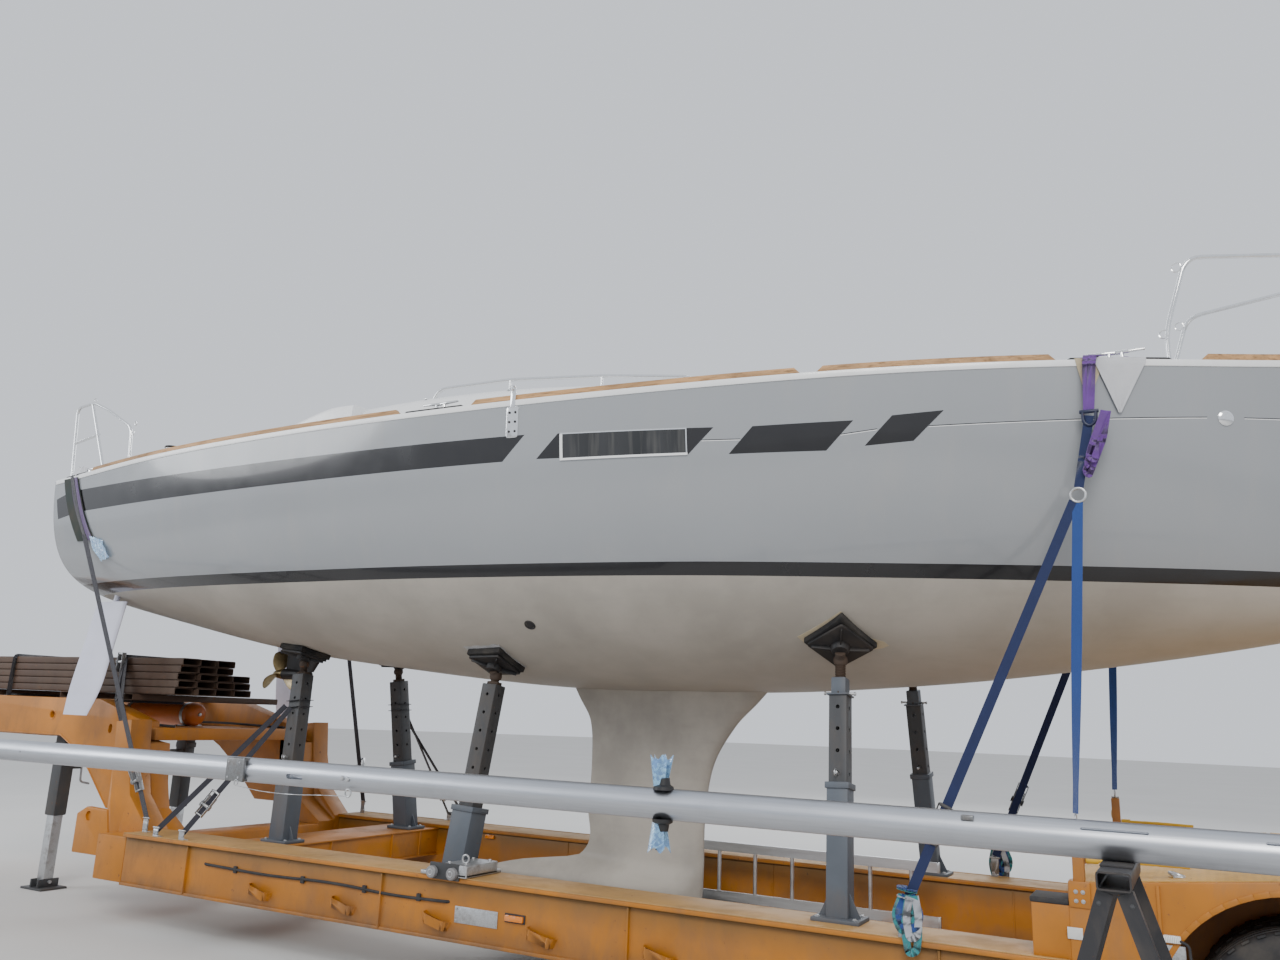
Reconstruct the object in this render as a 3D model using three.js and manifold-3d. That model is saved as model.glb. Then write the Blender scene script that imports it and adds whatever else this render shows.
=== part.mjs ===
// A ten metre sailing yacht, her mast unstepped, standing on the low-bed road trailer that carries her.
// Lengths are in millimetres. X runs from the transom to the stem, Y to port and Z up from the ground.
// The model is written with X = 0 at the transom and Y = 0 on the centreline, and is then moved so
// that its origin lies on the ground at the middle of everything that it covers.
import * as THREE from 'three';
import { mergeVertices } from 'three/addons/utils/BufferGeometryUtils.js';
import Module from 'manifold-3d';

const wasm = await Module();
wasm.setup();

// Driving dimensions
const HULL_LENGTH = 9970;
const SEAT_GAP = 0.3;                 // between pieces that rest on each other
const ORIGIN = { x: 4300, y: -500 };  // middle of the covered ground, from the transom and centreline
const SIDES = [
  { name: 'starboard', hand: -1 },
  { name: 'port', hand: 1 },
];

// Hull sections: place from the transom, deck edge, two handles of the curve from the deck edge to the
// keel line, the keel line, and how far the keel line's end lies aft of the deck edge.
// x, edge y, edge z, side y, side z, bilge y, bilge z, keel z, rake
const HULL_SECTIONS = [
  [0, 1467, 3469, 1420, 2550, 1100, 2560, 2400, 0],
  [1500, 1638, 3525, 1620, 2450, 1150, 2240, 2135, 0],
  [3000, 1726, 3542, 1720, 2450, 1150, 1990, 1975, 0],
  [4500, 1732, 3542, 1730, 2430, 1120, 1865, 1865, 0],
  [6000, 1615, 3546, 1600, 2420, 1000, 1865, 1863, 0],
  [7200, 1377, 3568, 1330, 2450, 720, 1945, 1940, 0],
  [8200, 1050, 3585, 1030, 2550, 570, 2070, 2060, 0],
  [9000, 666, 3598, 630, 2650, 430, 2200, 2190, 0],
  [9600, 303, 3631, 260, 2800, 100, 2360, 2310, 60],
  [HULL_LENGTH, 20, 3641, 20, 2900, 12, 2400, 2330, 320],
];
const SIDE_RAKE = 0.18;               // share of the rake that the two handles have
const BILGE_RAKE = 0.35;
const DECK_CAMBER = 0.035;            // rise of the deck's middle as a share of its half width
const HULL_STEPS = 21;                // sections along the hull
const GIRTH_STEPS = 10;               // points from the deck edge to the keel line

// Cockpit, sole to seats
const SOLE_Z = 3020;
const SEAT_Z = 3420;
const WELL_HALF = 430;
const COCKPIT_HALF = 1030;
const SEAT_AFT = 1250;
const BULKHEAD_X = 3000;
const TRANSOM_THICK = 62;

// Coachroof: place, half width at the deck, shoulder half width, shoulder z, flat half width, flat z
const ROOF_SECTIONS = [
  [3000, 1240, 1080, 3900, 380, 3985],
  [3700, 1230, 1060, 3925, 380, 4005],
  [4500, 1190, 1010, 3920, 380, 3990],
  [5300, 1080, 900, 3880, 360, 3945],
  [5900, 940, 770, 3830, 340, 3890],
  [6700, 720, 570, 3750, 320, 3800],
  [7300, 500, 380, 3690, 200, 3725],
  [7900, 300, 200, 3625, 100, 3640],
];
// Coaming beside the cockpit: place, outer half width, inner half width, top z
const COAMING_SECTIONS = [
  [400, 1320, 1160, 3540],
  [1050, 1335, 1125, 3625],
  [1270, 1335, 1115, 3625],
  [1900, 1325, 1090, 3685],
  [2450, 1295, 1065, 3750],
  [2900, 1255, 1045, 3880],
  [3150, 1235, 1040, 3895],
];

// Three.js geometry to solids and back
function solid(geometry) {
  const bare = geometry.clone();
  bare.deleteAttribute('normal');
  bare.deleteAttribute('uv');
  const merged = mergeVertices(bare, 1e-3);
  return new wasm.Manifold(new wasm.Mesh({
    numProp: 3,
    vertProperties: new Float32Array(merged.attributes.position.array),
    triVerts: new Uint32Array(merged.index.array),
  }));
}

function geometryOf(body) {
  const { vertProperties, triVerts } = body.getMesh();
  const geometry = new THREE.BufferGeometry();
  geometry.setAttribute('position', new THREE.BufferAttribute(new Float32Array(vertProperties), 3));
  geometry.setIndex(new THREE.BufferAttribute(new Uint32Array(triVerts), 1));
  geometry.computeVertexNormals();
  return geometry;
}

function join(...bodies) {
  return bodies.reduce((whole, body) => whole.add(body));
}

function cut(body, ...tools) {
  return tools.reduce((rest, tool) => rest.subtract(tool), body);
}

// A box from its lowest to its highest corner
function block(x0, x1, y0, y1, z0, z1) {
  const geometry = new THREE.BoxGeometry(x1 - x0, y1 - y0, z1 - z0);
  geometry.translate((x0 + x1) / 2, (y0 + y1) / 2, (z0 + z1) / 2);
  return solid(geometry);
}

// The same box, given for the port side, on either hand
function sideBlock(hand, x0, x1, y0, y1, z0, z1) {
  return hand > 0 ? block(x0, x1, y0, y1, z0, z1) : block(x0, x1, -y1, -y0, z0, z1);
}

// A round bar between two points, tapered where a second radius is given
function rod(from, to, radius, sides = 10, endRadius = radius) {
  const a = new THREE.Vector3(...from);
  const b = new THREE.Vector3(...to);
  const way = b.clone().sub(a);
  const geometry = new THREE.CylinderGeometry(endRadius, radius, way.length(), sides);
  const turn = new THREE.Quaternion().setFromUnitVectors(new THREE.Vector3(0, 1, 0), way.normalize());
  geometry.applyQuaternion(turn);
  geometry.translate((a.x + b.x) / 2, (a.y + b.y) / 2, (a.z + b.z) / 2);
  return solid(geometry);
}

// A square bar between two points: width lies across the bar and level, height the other way
function bar(from, to, width, height) {
  const a = new THREE.Vector3(...from);
  const b = new THREE.Vector3(...to);
  const along = b.clone().sub(a);
  const length = along.length();
  along.normalize();
  const level = Math.abs(along.z) > 0.98 ? new THREE.Vector3(1, 0, 0) : new THREE.Vector3(0, 0, 1);
  const across = level.clone().cross(along).normalize();
  const up = along.clone().cross(across);
  const geometry = new THREE.BoxGeometry(length, width, height);
  const place = new THREE.Matrix4().makeBasis(along, across, up);
  geometry.applyMatrix4(place);
  geometry.translate((a.x + b.x) / 2, (a.y + b.y) / 2, (a.z + b.z) / 2);
  return solid(geometry);
}

// A path of straight runs whose corners are rounded by short curves
class BentPath extends THREE.Curve {
  constructor(corners, bend, steps = 2) {
    super();
    const at = corners.map((corner) => new THREE.Vector3(...corner));
    this.points = [at[0]];
    for (let i = 1; i < at.length - 1; i += 1) {
      const reach = Math.min(bend, at[i].distanceTo(at[i - 1]) / 2, at[i].distanceTo(at[i + 1]) / 2);
      const start = at[i].clone().add(at[i - 1].clone().sub(at[i]).setLength(reach));
      const end = at[i].clone().add(at[i + 1].clone().sub(at[i]).setLength(reach));
      this.points.push(...new THREE.QuadraticBezierCurve3(start, at[i], end).getPoints(steps));
    }
    this.points.push(at[at.length - 1]);
  }

  get steps() {
    return this.points.length - 1;
  }

  getPointAt(share) {
    return this.points[Math.round(share * this.steps)].clone();
  }

  getTangentAt(share) {
    const i = Math.round(share * this.steps);
    const before = this.points[Math.max(i - 1, 0)];
    const after = this.points[Math.min(i + 1, this.steps)];
    return after.clone().sub(before).normalize();
  }
}

// A section swept along a bent path
function swept(corners, bend, section) {
  const path = new BentPath(corners, bend);
  return solid(new THREE.ExtrudeGeometry(section, { extrudePath: path, steps: path.steps }));
}

function circle(radius, sides = 8) {
  const points = [];
  for (let i = 0; i < sides; i += 1) {
    const turn = (2 * Math.PI * i) / sides;
    points.push(new THREE.Vector2(radius * Math.cos(turn), radius * Math.sin(turn)));
  }
  return new THREE.Shape(points);
}

function tube(corners, radius, bend = 60) {
  return swept(corners, bend, circle(radius, 6));
}

// A flat plate: outline points in X and Z, from one Y to another
function plate(outline, y0, y1) {
  const shape = new THREE.Shape(outline.map(([x, z]) => new THREE.Vector2(x, z)));
  const geometry = new THREE.ExtrudeGeometry(shape, { depth: y1 - y0, bevelEnabled: false });
  geometry.rotateX(Math.PI / 2);
  geometry.translate(0, y1, 0);
  return solid(geometry);
}

function sidePlate(hand, outline, y0, y1) {
  return hand > 0 ? plate(outline, y0, y1) : plate(outline, -y1, -y0);
}

// A skin over rings that have the same number of points, closed at both ends
function loft(rings) {
  const count = rings[0].length;
  const positions = rings.flat(2);
  const triangles = [];
  for (let r = 0; r < rings.length - 1; r += 1) {
    for (let i = 0; i < count; i += 1) {
      const a = r * count + i;
      const b = r * count + ((i + 1) % count);
      triangles.push(a, b, b + count, a, b + count, a + count);
    }
  }
  const last = (rings.length - 1) * count;
  for (let i = 1; i < count - 1; i += 1) {
    triangles.push(0, i + 1, i, last, last + i, last + i + 1);
  }
  const geometry = new THREE.BufferGeometry();
  geometry.setAttribute('position', new THREE.Float32BufferAttribute(positions, 3));
  geometry.setIndex(signedVolume(positions, triangles) < 0 ? triangles.reverse() : triangles);
  return solid(geometry);
}

function signedVolume(positions, triangles) {
  const [a, b, c] = [new THREE.Vector3(), new THREE.Vector3(), new THREE.Vector3()];
  let volume = 0;
  for (let i = 0; i < triangles.length; i += 3) {
    a.fromArray(positions, triangles[i] * 3);
    b.fromArray(positions, triangles[i + 1] * 3);
    c.fromArray(positions, triangles[i + 2] * 3);
    volume += a.dot(b.cross(c));
  }
  return volume;
}

// A profile of radius and place along Y, turned about the Y axis through a centre
function turned(profile, centre, sides) {
  const points = profile.map(([radius, along]) => new THREE.Vector2(radius, along));
  const geometry = new THREE.LatheGeometry(points, sides);
  geometry.translate(...centre);
  return solid(geometry);
}

// A row of a table at any place, from a smooth curve through each of its columns
function smoothRow(table, x) {
  let i = 0;
  while (i < table.length - 2 && x > table[i + 1][0]) {
    i += 1;
  }
  const [before, from, to, after] = [table[Math.max(i - 1, 0)], table[i], table[i + 1],
    table[Math.min(i + 2, table.length - 1)]];
  const span = to[0] - from[0];
  const share = (x - from[0]) / span;
  return from.map((value, column) => {
    const slopeFrom = (to[column] - before[column]) / (to[0] - before[0]);
    const slopeTo = (after[column] - from[column]) / (after[0] - from[0]);
    return value * (1 + 2 * share) * (1 - share) ** 2
      + slopeFrom * span * share * (1 - share) ** 2
      + to[column] * share ** 2 * (3 - 2 * share)
      + slopeTo * span * share ** 2 * (share - 1);
  });
}

// Hull form
// One point of a section: share 0 is the deck edge and 1 the keel line
function girthPoint(row, share, hand) {
  const [x, edgeY, edgeZ, sideY, sideZ, bilgeY, bilgeZ, keelZ, rake] = row;
  const rest = 1 - share;
  const weights = [rest ** 3, 3 * rest ** 2 * share, 3 * rest * share ** 2, share ** 3];
  const blend = (values) => values.reduce((sum, value, i) => sum + value * weights[i], 0);
  return [
    x - rake * blend([0, SIDE_RAKE, BILGE_RAKE, 1]),
    hand * blend([edgeY, sideY, bilgeY, 0]),
    blend([edgeZ, sideZ, bilgeZ, keelZ]),
  ];
}

function hullRing(x) {
  const row = smoothRow(HULL_SECTIONS, x);
  const ring = [];
  for (let i = 0; i <= GIRTH_STEPS; i += 1) {
    ring.push(girthPoint(row, i / GIRTH_STEPS, -1));
  }
  for (let i = GIRTH_STEPS - 1; i >= 0; i -= 1) {
    ring.push(girthPoint(row, i / GIRTH_STEPS, 1));
  }
  ring.push([x, 0, row[2] + DECK_CAMBER * row[1]]);
  return ring;
}

function deckEdge(x) {
  const row = smoothRow(HULL_SECTIONS, x);
  return { y: row[1], z: row[2] };
}

// Height of the hull's skin under the water at a place
function skinZ(x, y) {
  const row = smoothRow(HULL_SECTIONS, x);
  let [low, high] = [0, 1];
  for (let i = 0; i < 40; i += 1) {
    const middle = (low + high) / 2;
    if (girthPoint(row, middle, 1)[1] > Math.abs(y)) {
      low = middle;
    } else {
      high = middle;
    }
  }
  return girthPoint(row, low, 1)[2];
}

const hullPlaces = [];
for (let i = 0; i <= HULL_STEPS; i += 1) {
  hullPlaces.push((HULL_LENGTH * i) / HULL_STEPS);
}
hullPlaces.splice(HULL_STEPS, 0, 9750);
const hullForm = loft(hullPlaces.map(hullRing));
const aboveHull = hullForm.translate([0, 0, SEAT_GAP]);
const belowHull = hullForm.translate([0, 0, -SEAT_GAP]);

// What a piece keeps when the hull's form is taken out of it from above or from below
const onDeck = (body) => body.subtract(aboveHull);
const underHull = (body) => body.subtract(belowHull);

const materials = {
  gelcoat: { color: 0xb4b8bd, roughness: 0.2, metalness: 0 },
  white: { color: 0xeceef0, roughness: 0.3, metalness: 0 },
  keelPaint: { color: 0xb8b2a4, roughness: 0.6, metalness: 0 },
  rudderPaint: { color: 0xc4c8d8, roughness: 0.4, metalness: 0 },
  bronze: { color: 0x9a7440, roughness: 0.35, metalness: 1 },
  steel: { color: 0xd0d4d8, roughness: 0.2, metalness: 1 },
  teak: { color: 0xa87848, roughness: 0.6, metalness: 0 },
  smoked: { color: 0x14181c, roughness: 0.1, metalness: 0 },
  mastMetal: { color: 0xa8acb4, roughness: 0.35, metalness: 1 },
  blackPaint: { color: 0x1c1d20, roughness: 0.5, metalness: 0.3 },
  yellowPaint: { color: 0xc07818, roughness: 0.45, metalness: 0.1 },
  darkSteel: { color: 0x33363a, roughness: 0.6, metalness: 0.5 },
  rubber: { color: 0x18181a, roughness: 0.85, metalness: 0 },
  blueWeb: { color: 0x2a4a8c, roughness: 0.8, metalness: 0 },
  darkWeb: { color: 0x2a2a34, roughness: 0.85, metalness: 0 },
  aluminium: { color: 0xa8aaac, roughness: 0.4, metalness: 1 },
};

const yachtOnTrailer = new THREE.Group();
yachtOnTrailer.position.set(-ORIGIN.x, -ORIGIN.y, 0);

function addNode(name, body, material) {
  const mesh = new THREE.Mesh(geometryOf(body), new THREE.MeshStandardMaterial(materials[material]));
  mesh.name = name;
  yachtOnTrailer.add(mesh);
}

// Rudders: canted blades whose stocks turn in the hull
const STOCK_RADIUS = 24;
const STOCK_BORE = 25;
const STOCK_SIDES = 16;
const STOCK_END = 0.0003;             // clearance over the stock, as a share of its length
const RUDDER_ROOM = 16;               // between the blade and the hull
const RUDDER = {
  head: [430, 990, 2700],             // top of the stock, port side
  foot: [395, 1150, 1560],
};
// Blade sections down the stock: share of the way from head to foot, chord ahead and behind, thickness
const BLADE_SECTIONS = [
  [0.20, 150, 250, 56],
  [0.55, 150, 260, 50],
  [0.84, 145, 270, 40],
  [1.04, 70, 250, 26],
];
function stockPoint(share, hand) {
  return RUDDER.head.map((value, i) => {
    const at = THREE.MathUtils.lerp(value, RUDDER.foot[i], share);
    return i === 1 ? at * hand : at;
  });
}
// An oval, flat at the trailing edge, in the plane across the stock
function bladeRing(share, ahead, behind, thick, hand) {
  const [x, y, z] = stockPoint(share, hand);
  const outline = [[ahead, 0], [ahead * 0.6, thick / 2], [-behind * 0.2, thick / 2], [-behind, thick / 8],
    [-behind, -thick / 8], [-behind * 0.2, -thick / 2], [ahead * 0.6, -thick / 2]];
  return outline.map(([dx, dy]) => [x + dx, y + dy, z]);
}
function stock(hand, radius, lengthen) {
  const tip = stockPoint(-lengthen, hand);
  return rod(stockPoint(0.3, hand), tip, radius, STOCK_SIDES);
}

// Transom door, companionway, hatches and lockers
const DOOR = { half: 600, z0: 2900, z1: 3440, side: 8 };
const COMPANION = { half: 300, fore: 3560, sill: 3430, floor: 2750 };
const ROOF_HATCH = { aft: 6060, fore: 6560, half: 255, thick: 28 };
const LOCKER = {
  aft: 8860, fore: 9360, aftHalf: 300, foreHalf: 150, floor: 3380, seat: 3592, lid: 24, gap: 7, side: 14,
};

function taper(x0, x1, half0, half1, z0, z1) {
  return loft([z0, z1].map((z) => [[x0, -half0, z], [x1, -half1, z], [x1, half1, z], [x0, half0, z]]));
}

// Hull
{
  const well = block(TRANSOM_THICK, BULKHEAD_X, -WELL_HALF, WELL_HALF, SOLE_Z, 4000);
  const helm = block(TRANSOM_THICK, SEAT_AFT, -COCKPIT_HALF, COCKPIT_HALF, SOLE_Z, 4000);
  const seats = block(SEAT_AFT, BULKHEAD_X, -COCKPIT_HALF, COCKPIT_HALF, SEAT_Z, 4000);
  const doorway = block(-50, TRANSOM_THICK + 1, -DOOR.half - DOOR.side, DOOR.half + DOOR.side, DOOR.z0, 4000);
  const stairs = block(BULKHEAD_X + 60, COMPANION.fore, -COMPANION.half, COMPANION.half,
    COMPANION.floor, 4000);
  const entry = block(BULKHEAD_X - 1, BULKHEAD_X + 61, -COMPANION.half, COMPANION.half, COMPANION.sill, 4000);
  const locker = taper(LOCKER.aft + 20, LOCKER.fore - 20, LOCKER.aftHalf - 20, LOCKER.foreHalf - 20,
    LOCKER.floor, 4000);
  const lidSeat = taper(LOCKER.aft, LOCKER.fore, LOCKER.aftHalf, LOCKER.foreHalf, LOCKER.seat, 4000);
  const bores = SIDES.map(({ hand }) => stock(hand, STOCK_BORE, STOCK_END));
  addNode('hull', cut(hullForm, well, helm, seats, doorway, stairs, entry, locker, lidSeat, ...bores),
    'gelcoat');
}

// Deck house, coamings and the mast's step
const SLIDE_TOP = 4005;               // top of the runners that carry the companionway hatch
{
  const below = 3480;
  const roof = loft(ROOF_SECTIONS.map(([x, base, shoulder, shoulderZ, flat, flatZ]) => [
    [x, -base, below], [x, -shoulder, shoulderZ], [x, -flat, flatZ],
    [x, flat, flatZ], [x, shoulder, shoulderZ], [x, base, below]]));
  const coamings = SIDES.map(({ hand }) => loft(COAMING_SECTIONS.map(([x, outer, inner, top]) => [
    [x, hand * outer, below - 100], [x, hand * (outer - 40), top],
    [x, hand * inner, top], [x, hand * inner, below - 100]])));
  const stepPlate = block(5130, 5430, -130, 130, 3900, 3975);
  const runners = SIDES.map(({ hand }) => sideBlock(hand, 3010, 4190, 312, 340, 3900, SLIDE_TOP));
  const entry = block(BULKHEAD_X - 10, COMPANION.fore, -COMPANION.half, COMPANION.half, below, 4100);
  const hatchHole = block(ROOF_HATCH.aft + 40, ROOF_HATCH.fore - 40, 40 - ROOF_HATCH.half, ROOF_HATCH.half - 40,
    3640, 4000);
  const house = cut(join(roof, ...coamings, stepPlate, ...runners), entry, hatchHole);
  addNode('deck_house', onDeck(house), 'white');
}

// Keel: fin with a root fairing and a bulb that reaches aft
// z, leading edge x, trailing edge x, thickness
const KEEL_SECTIONS = [
  [410, 5500, 4150, 130],
  [460, 5550, 3950, 300],
  [540, 5565, 3810, 370],
  [620, 5570, 4100, 280],
  [700, 5575, 4600, 150],
  [1040, 5580, 4655, 140],
  [1380, 5640, 4668, 150],
  [1640, 5800, 4640, 170],
  [1800, 5960, 4540, 220],
  [1990, 6130, 4430, 330],
];
{
  const rings = KEEL_SECTIONS.map(([z, fore, aft, thick]) => {
    const chord = fore - aft;
    const outline = [[0, 0.12], [0.06, 0.6], [0.3, 1], [0.65, 0.75], [1, 0.08]];
    const port = outline.map(([along, width]) => [fore - chord * along, (width * thick) / 2, z]);
    const starboard = outline.toReversed().map(([along, width]) => [fore - chord * along, -(width * thick) / 2, z]);
    return [...port, ...starboard];
  });
  addNode('keel', underHull(loft(rings)), 'keelPaint');
}

// Saildrive leg and its propeller
const SHAFT = { x: 1440, z: 1925, radius: 200 };
{
  const leg = loft([[2200, 520, 120], [2060, 400, 70], [SHAFT.z + 30, 330, 60]].map(([z, chord, thick]) => [
    [SHAFT.x + chord, 0, z], [SHAFT.x + chord * 0.6, thick / 2, z], [SHAFT.x + 20, thick / 3, z],
    [SHAFT.x + 20, -thick / 3, z], [SHAFT.x + chord * 0.6, -thick / 2, z]]));
  const pod = rod([SHAFT.x, 0, SHAFT.z], [SHAFT.x + 340, 0, SHAFT.z], 48, 12, 30);
  addNode('saildrive', underHull(join(leg, pod)), 'darkSteel');
}
{
  const hub = rod([SHAFT.x - 130, 0, SHAFT.z], [SHAFT.x - SEAT_GAP, 0, SHAFT.z], 30, 12, 45);
  const middle = SHAFT.x - 65;
  const blades = [0, 1, 2].map((i) => {
    const blade = loft([[20, 30, 14], [80, 62, 12], [140, 70, 9], [SHAFT.radius, 30, 6]].map(
      ([reach, half, thick]) => [[-half * 0.5, -half, reach], [half * 0.5 - thick, half, reach],
        [half * 0.5, half, reach], [-half * 0.5 + thick, -half, reach]]));
    return blade.rotate([120 * i, 0, 0]).translate([middle, 0, SHAFT.z]);
  });
  addNode('propeller', join(hub, ...blades), 'bronze');
}

for (const { name, hand } of SIDES) {
  const blade = loft(BLADE_SECTIONS.map(([share, ahead, behind, thick]) => (
    bladeRing(share, ahead, behind, thick, hand))));
  const room = hullForm.translate([0, 0, -RUDDER_ROOM]);
  addNode(`rudder_${name}`, join(cut(blade, room), stock(hand, STOCK_RADIUS, 0)), 'rudderPaint');
}

// Tiller and the post that it turns on
const TILLER = { x: 330, postTop: 3440, z: 3490, tip: 1480 };
addNode('tiller_post', join(
  rod([TILLER.x, 0, SOLE_Z + SEAT_GAP], [TILLER.x, 0, TILLER.postTop], 45, 12),
  rod([TILLER.x, 0, SOLE_Z + SEAT_GAP], [TILLER.x, 0, SOLE_Z + 20], 90, 12)), 'steel');
addNode('tiller', join(
  rod([TILLER.x, 0, TILLER.postTop + SEAT_GAP], [TILLER.x, 0, TILLER.z + 30], 42, 12),
  tube([[TILLER.x, 0, TILLER.z], [900, 0, TILLER.z + 20], [TILLER.tip, 0, TILLER.z + 90]], 20, 200)), 'teak');

// Door in the transom, folding down into a bathing step
{
  const panel = block(0, TRANSOM_THICK - 8, -DOOR.half, DOOR.half, DOOR.z0 + SEAT_GAP, DOOR.z1);
  addNode('transom_door', panel, 'gelcoat');
}

// Companionway: door in the bulkhead and hatch on the roof
const WASH = { thick: 20, z0: 3445, z1: 3955, half: 320 };
addNode('companionway_door', block(BULKHEAD_X - WASH.thick - SEAT_GAP, BULKHEAD_X - SEAT_GAP,
  -WASH.half, WASH.half, WASH.z0, WASH.z1), 'smoked');
const SLIDE = { aft: 2985, fore: 3620, half: 345, thick: 30, z: SLIDE_TOP };
addNode('companionway_hatch', block(SLIDE.aft, SLIDE.fore, -SLIDE.half, SLIDE.half,
  SLIDE.z + SEAT_GAP, SLIDE.z + SLIDE.thick), 'smoked');

// Hatch on the sloping fore part of the roof
{
  const slope = (x) => THREE.MathUtils.lerp(3890, 3800, (x - 5900) / 800) + SEAT_GAP;
  const { aft, fore, half, thick } = ROOF_HATCH;
  const ring = (x) => [[x, -half, slope(x)], [x, half, slope(x)],
    [x, half, slope(x) + thick], [x, -half, slope(x) + thick]];
  addNode('roof_hatch', loft([ring(aft), ring(fore)]), 'smoked');
}
{
  const { aft, fore, aftHalf, foreHalf, seat, gap, side, lid } = LOCKER;
  addNode('anchor_locker_lid', taper(aft + gap, fore - gap, aftHalf - side, foreHalf - gap,
    seat + SEAT_GAP, seat + lid), 'white');
}

// Toe rails: a low white strip along the deck edge with raised teak lengths and cleats in the gaps
// start, end of each raised length
const TEAK_LENGTHS = [[540, 4100], [4660, 6780], [6850, 8070], [8730, 9340]];
const CLEATS = [4390, 8340];
const STRIP = { start: 300, end: 9800, inset: 16, width: 40, height: 14, teak: 52 };
function edgePoint(x, hand, inward, up) {
  const edge = deckEdge(x);
  return [x, hand * Math.max(edge.y - inward, 6), edge.z + up];
}
function edgeStrip(hand, x0, x1, inward, width, low, high) {
  const steps = Math.max(2, Math.round((x1 - x0) / 600));
  const rings = [];
  for (let i = 0; i <= steps; i += 1) {
    const x = THREE.MathUtils.lerp(x0, x1, i / steps);
    rings.push([edgePoint(x, hand, inward, low), edgePoint(x, hand, inward + width, low),
      edgePoint(x, hand, inward + width, high), edgePoint(x, hand, inward + 6, high)]);
  }
  return loft(rings);
}
function cleat(x, hand) {
  const [, y, z] = edgePoint(x, hand, STRIP.inset + 52, STRIP.height);
  const feet = [-35, 35].map((dx) => block(x + dx - 10, x + dx + 10, y - 9, y + 9, z - 8, z + 40));
  const horns = rod([x - 125, y, z + 48], [x + 125, y, z + 48], 11, 8);
  const pad = block(x - 60, x + 60, y - 25, y + 25, z - 20, z + 4);
  return join(pad, ...feet, horns);
}
for (const { name, hand } of SIDES) {
  const strip = edgeStrip(hand, STRIP.start, STRIP.end, STRIP.inset, STRIP.width, -20, STRIP.height);
  const raised = TEAK_LENGTHS.map(([x0, x1]) => (
    edgeStrip(hand, x0, x1, STRIP.inset + 4, STRIP.width - 8, 0, STRIP.teak)));
  const cleats = CLEATS.map((x) => cleat(x, hand));
  addNode(`toe_rail_${name}`, onDeck(join(strip, ...raised, ...cleats)), 'teak');
}

// Bow fitting with its anchor roller
{
  const base = 3643.4;
  addNode('bow_fitting', join(
    block(9700, 10060, -55, 55, base, base + 30),
    block(9700, 10060, -55, -45, base + 20, base + 78),
    block(9700, 10060, 45, 55, base + 20, base + 78),
    rod([10030, -50, base + 50], [10030, 50, base + 50], 28, 12)), 'steel');
}

// Guard rails at the bow and stern
const RAIL = 12.5;
const RAIL_FOOT = 24;
const RAIL_INSET = 95;                // from the deck edge to a rail's foot
const deckZ = (x) => deckEdge(x).z;
const base = (x) => deckEdge(x).y - RAIL_INSET;
const BOW_RAIL = { aft: { x: 8590, y: 475 }, lean: { x: 8715, y: 485, z: 3900 }, fore: { x: 9540, y: 180 }, top: 4325 };
for (const { name, hand } of SIDES) {
  const foot = (x, y) => rod([x, hand * y, deckZ(x) - 10], [x, hand * y, deckZ(x) + 45], RAIL_FOOT, 8);
  const { aft, fore, lean, top } = BOW_RAIL;
  const rail = tube([[aft.x, hand * aft.y, deckZ(aft.x)], [aft.x, hand * aft.y, lean.z], [lean.x, hand * lean.y, top],
    [fore.x + 60, hand * (fore.y - 30), top], [fore.x, hand * fore.y, deckZ(fore.x)]], RAIL, 60);
  addNode(`pulpit_${name}`, onDeck(join(rail, foot(aft.x, aft.y), foot(fore.x, fore.y))), 'steel');
}
for (const { name, hand } of SIDES) {
  const foot = (x) => rod([x, hand * base(x), deckZ(x) - 10], [x, hand * base(x), deckZ(x) + 40], RAIL_FOOT, 8);
  const top = tube([[90, hand * base(90), deckZ(90)], [20, hand * 1390, 4160], [300, hand * 1420, 4165],
    [560, hand * 1440, 4060], [980, hand * 1500, 3850], [1010, hand * base(1010), deckZ(1010)]], RAIL, 60);
  const lean = tube([[265, hand * 1415, 4160], [630, hand * base(630), deckZ(630)]], RAIL);
  const middle = tube([[60, hand * 1388, 3830], [460, hand * 1436, 3860]], RAIL);
  addNode(`pushpit_${name}`, onDeck(join(top, lean, middle, foot(90), foot(630), foot(1010))), 'steel');
}

// Hand rails on the roof
for (const { name, hand } of SIDES) {
  const places = [[3720, 1000, 3915], [4420, 970, 3925], [5130, 880, 3890], [5830, 760, 3835]];
  const feet = places.slice(1, 3).map(([x, y, z]) => rod([x, hand * y, z - 20], [x, hand * y, z + 68], 11, 8));
  const rail = tube([[3720, hand * 1000, 3900], [3800, hand * 998, 3990], [4420, hand * 970, 3993],
    [5130, hand * 880, 3958], [5760, hand * 772, 3905], [5840, hand * 760, 3820]], 14, 60);
  const room = loft(ROOF_SECTIONS.map(([x, base, shoulder, shoulderZ, flat, flatZ]) => [
    [x, -base, 3480], [x, -shoulder, shoulderZ], [x, -flat, flatZ],
    [x, flat, flatZ], [x, shoulder, shoulderZ], [x, base, 3480]])).translate([0, 0, SEAT_GAP]);
  addNode(`hand_rail_${name}`, cut(join(rail, ...feet), room), 'steel');
}

// Winches on the coamings
for (const { name, hand } of SIDES) {
  const x = 1160;
  const y = hand * 1225;
  const base = 3625 + SEAT_GAP;
  addNode(`winch_${name}`, join(
    rod([x, y, base], [x, y, base + 30], 78, 16, 62),
    rod([x, y, base + 28], [x, y, base + 92], 52, 16, 46),
    rod([x, y, base + 90], [x, y, base + 112], 66, 16, 60)), 'steel');
}

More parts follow.
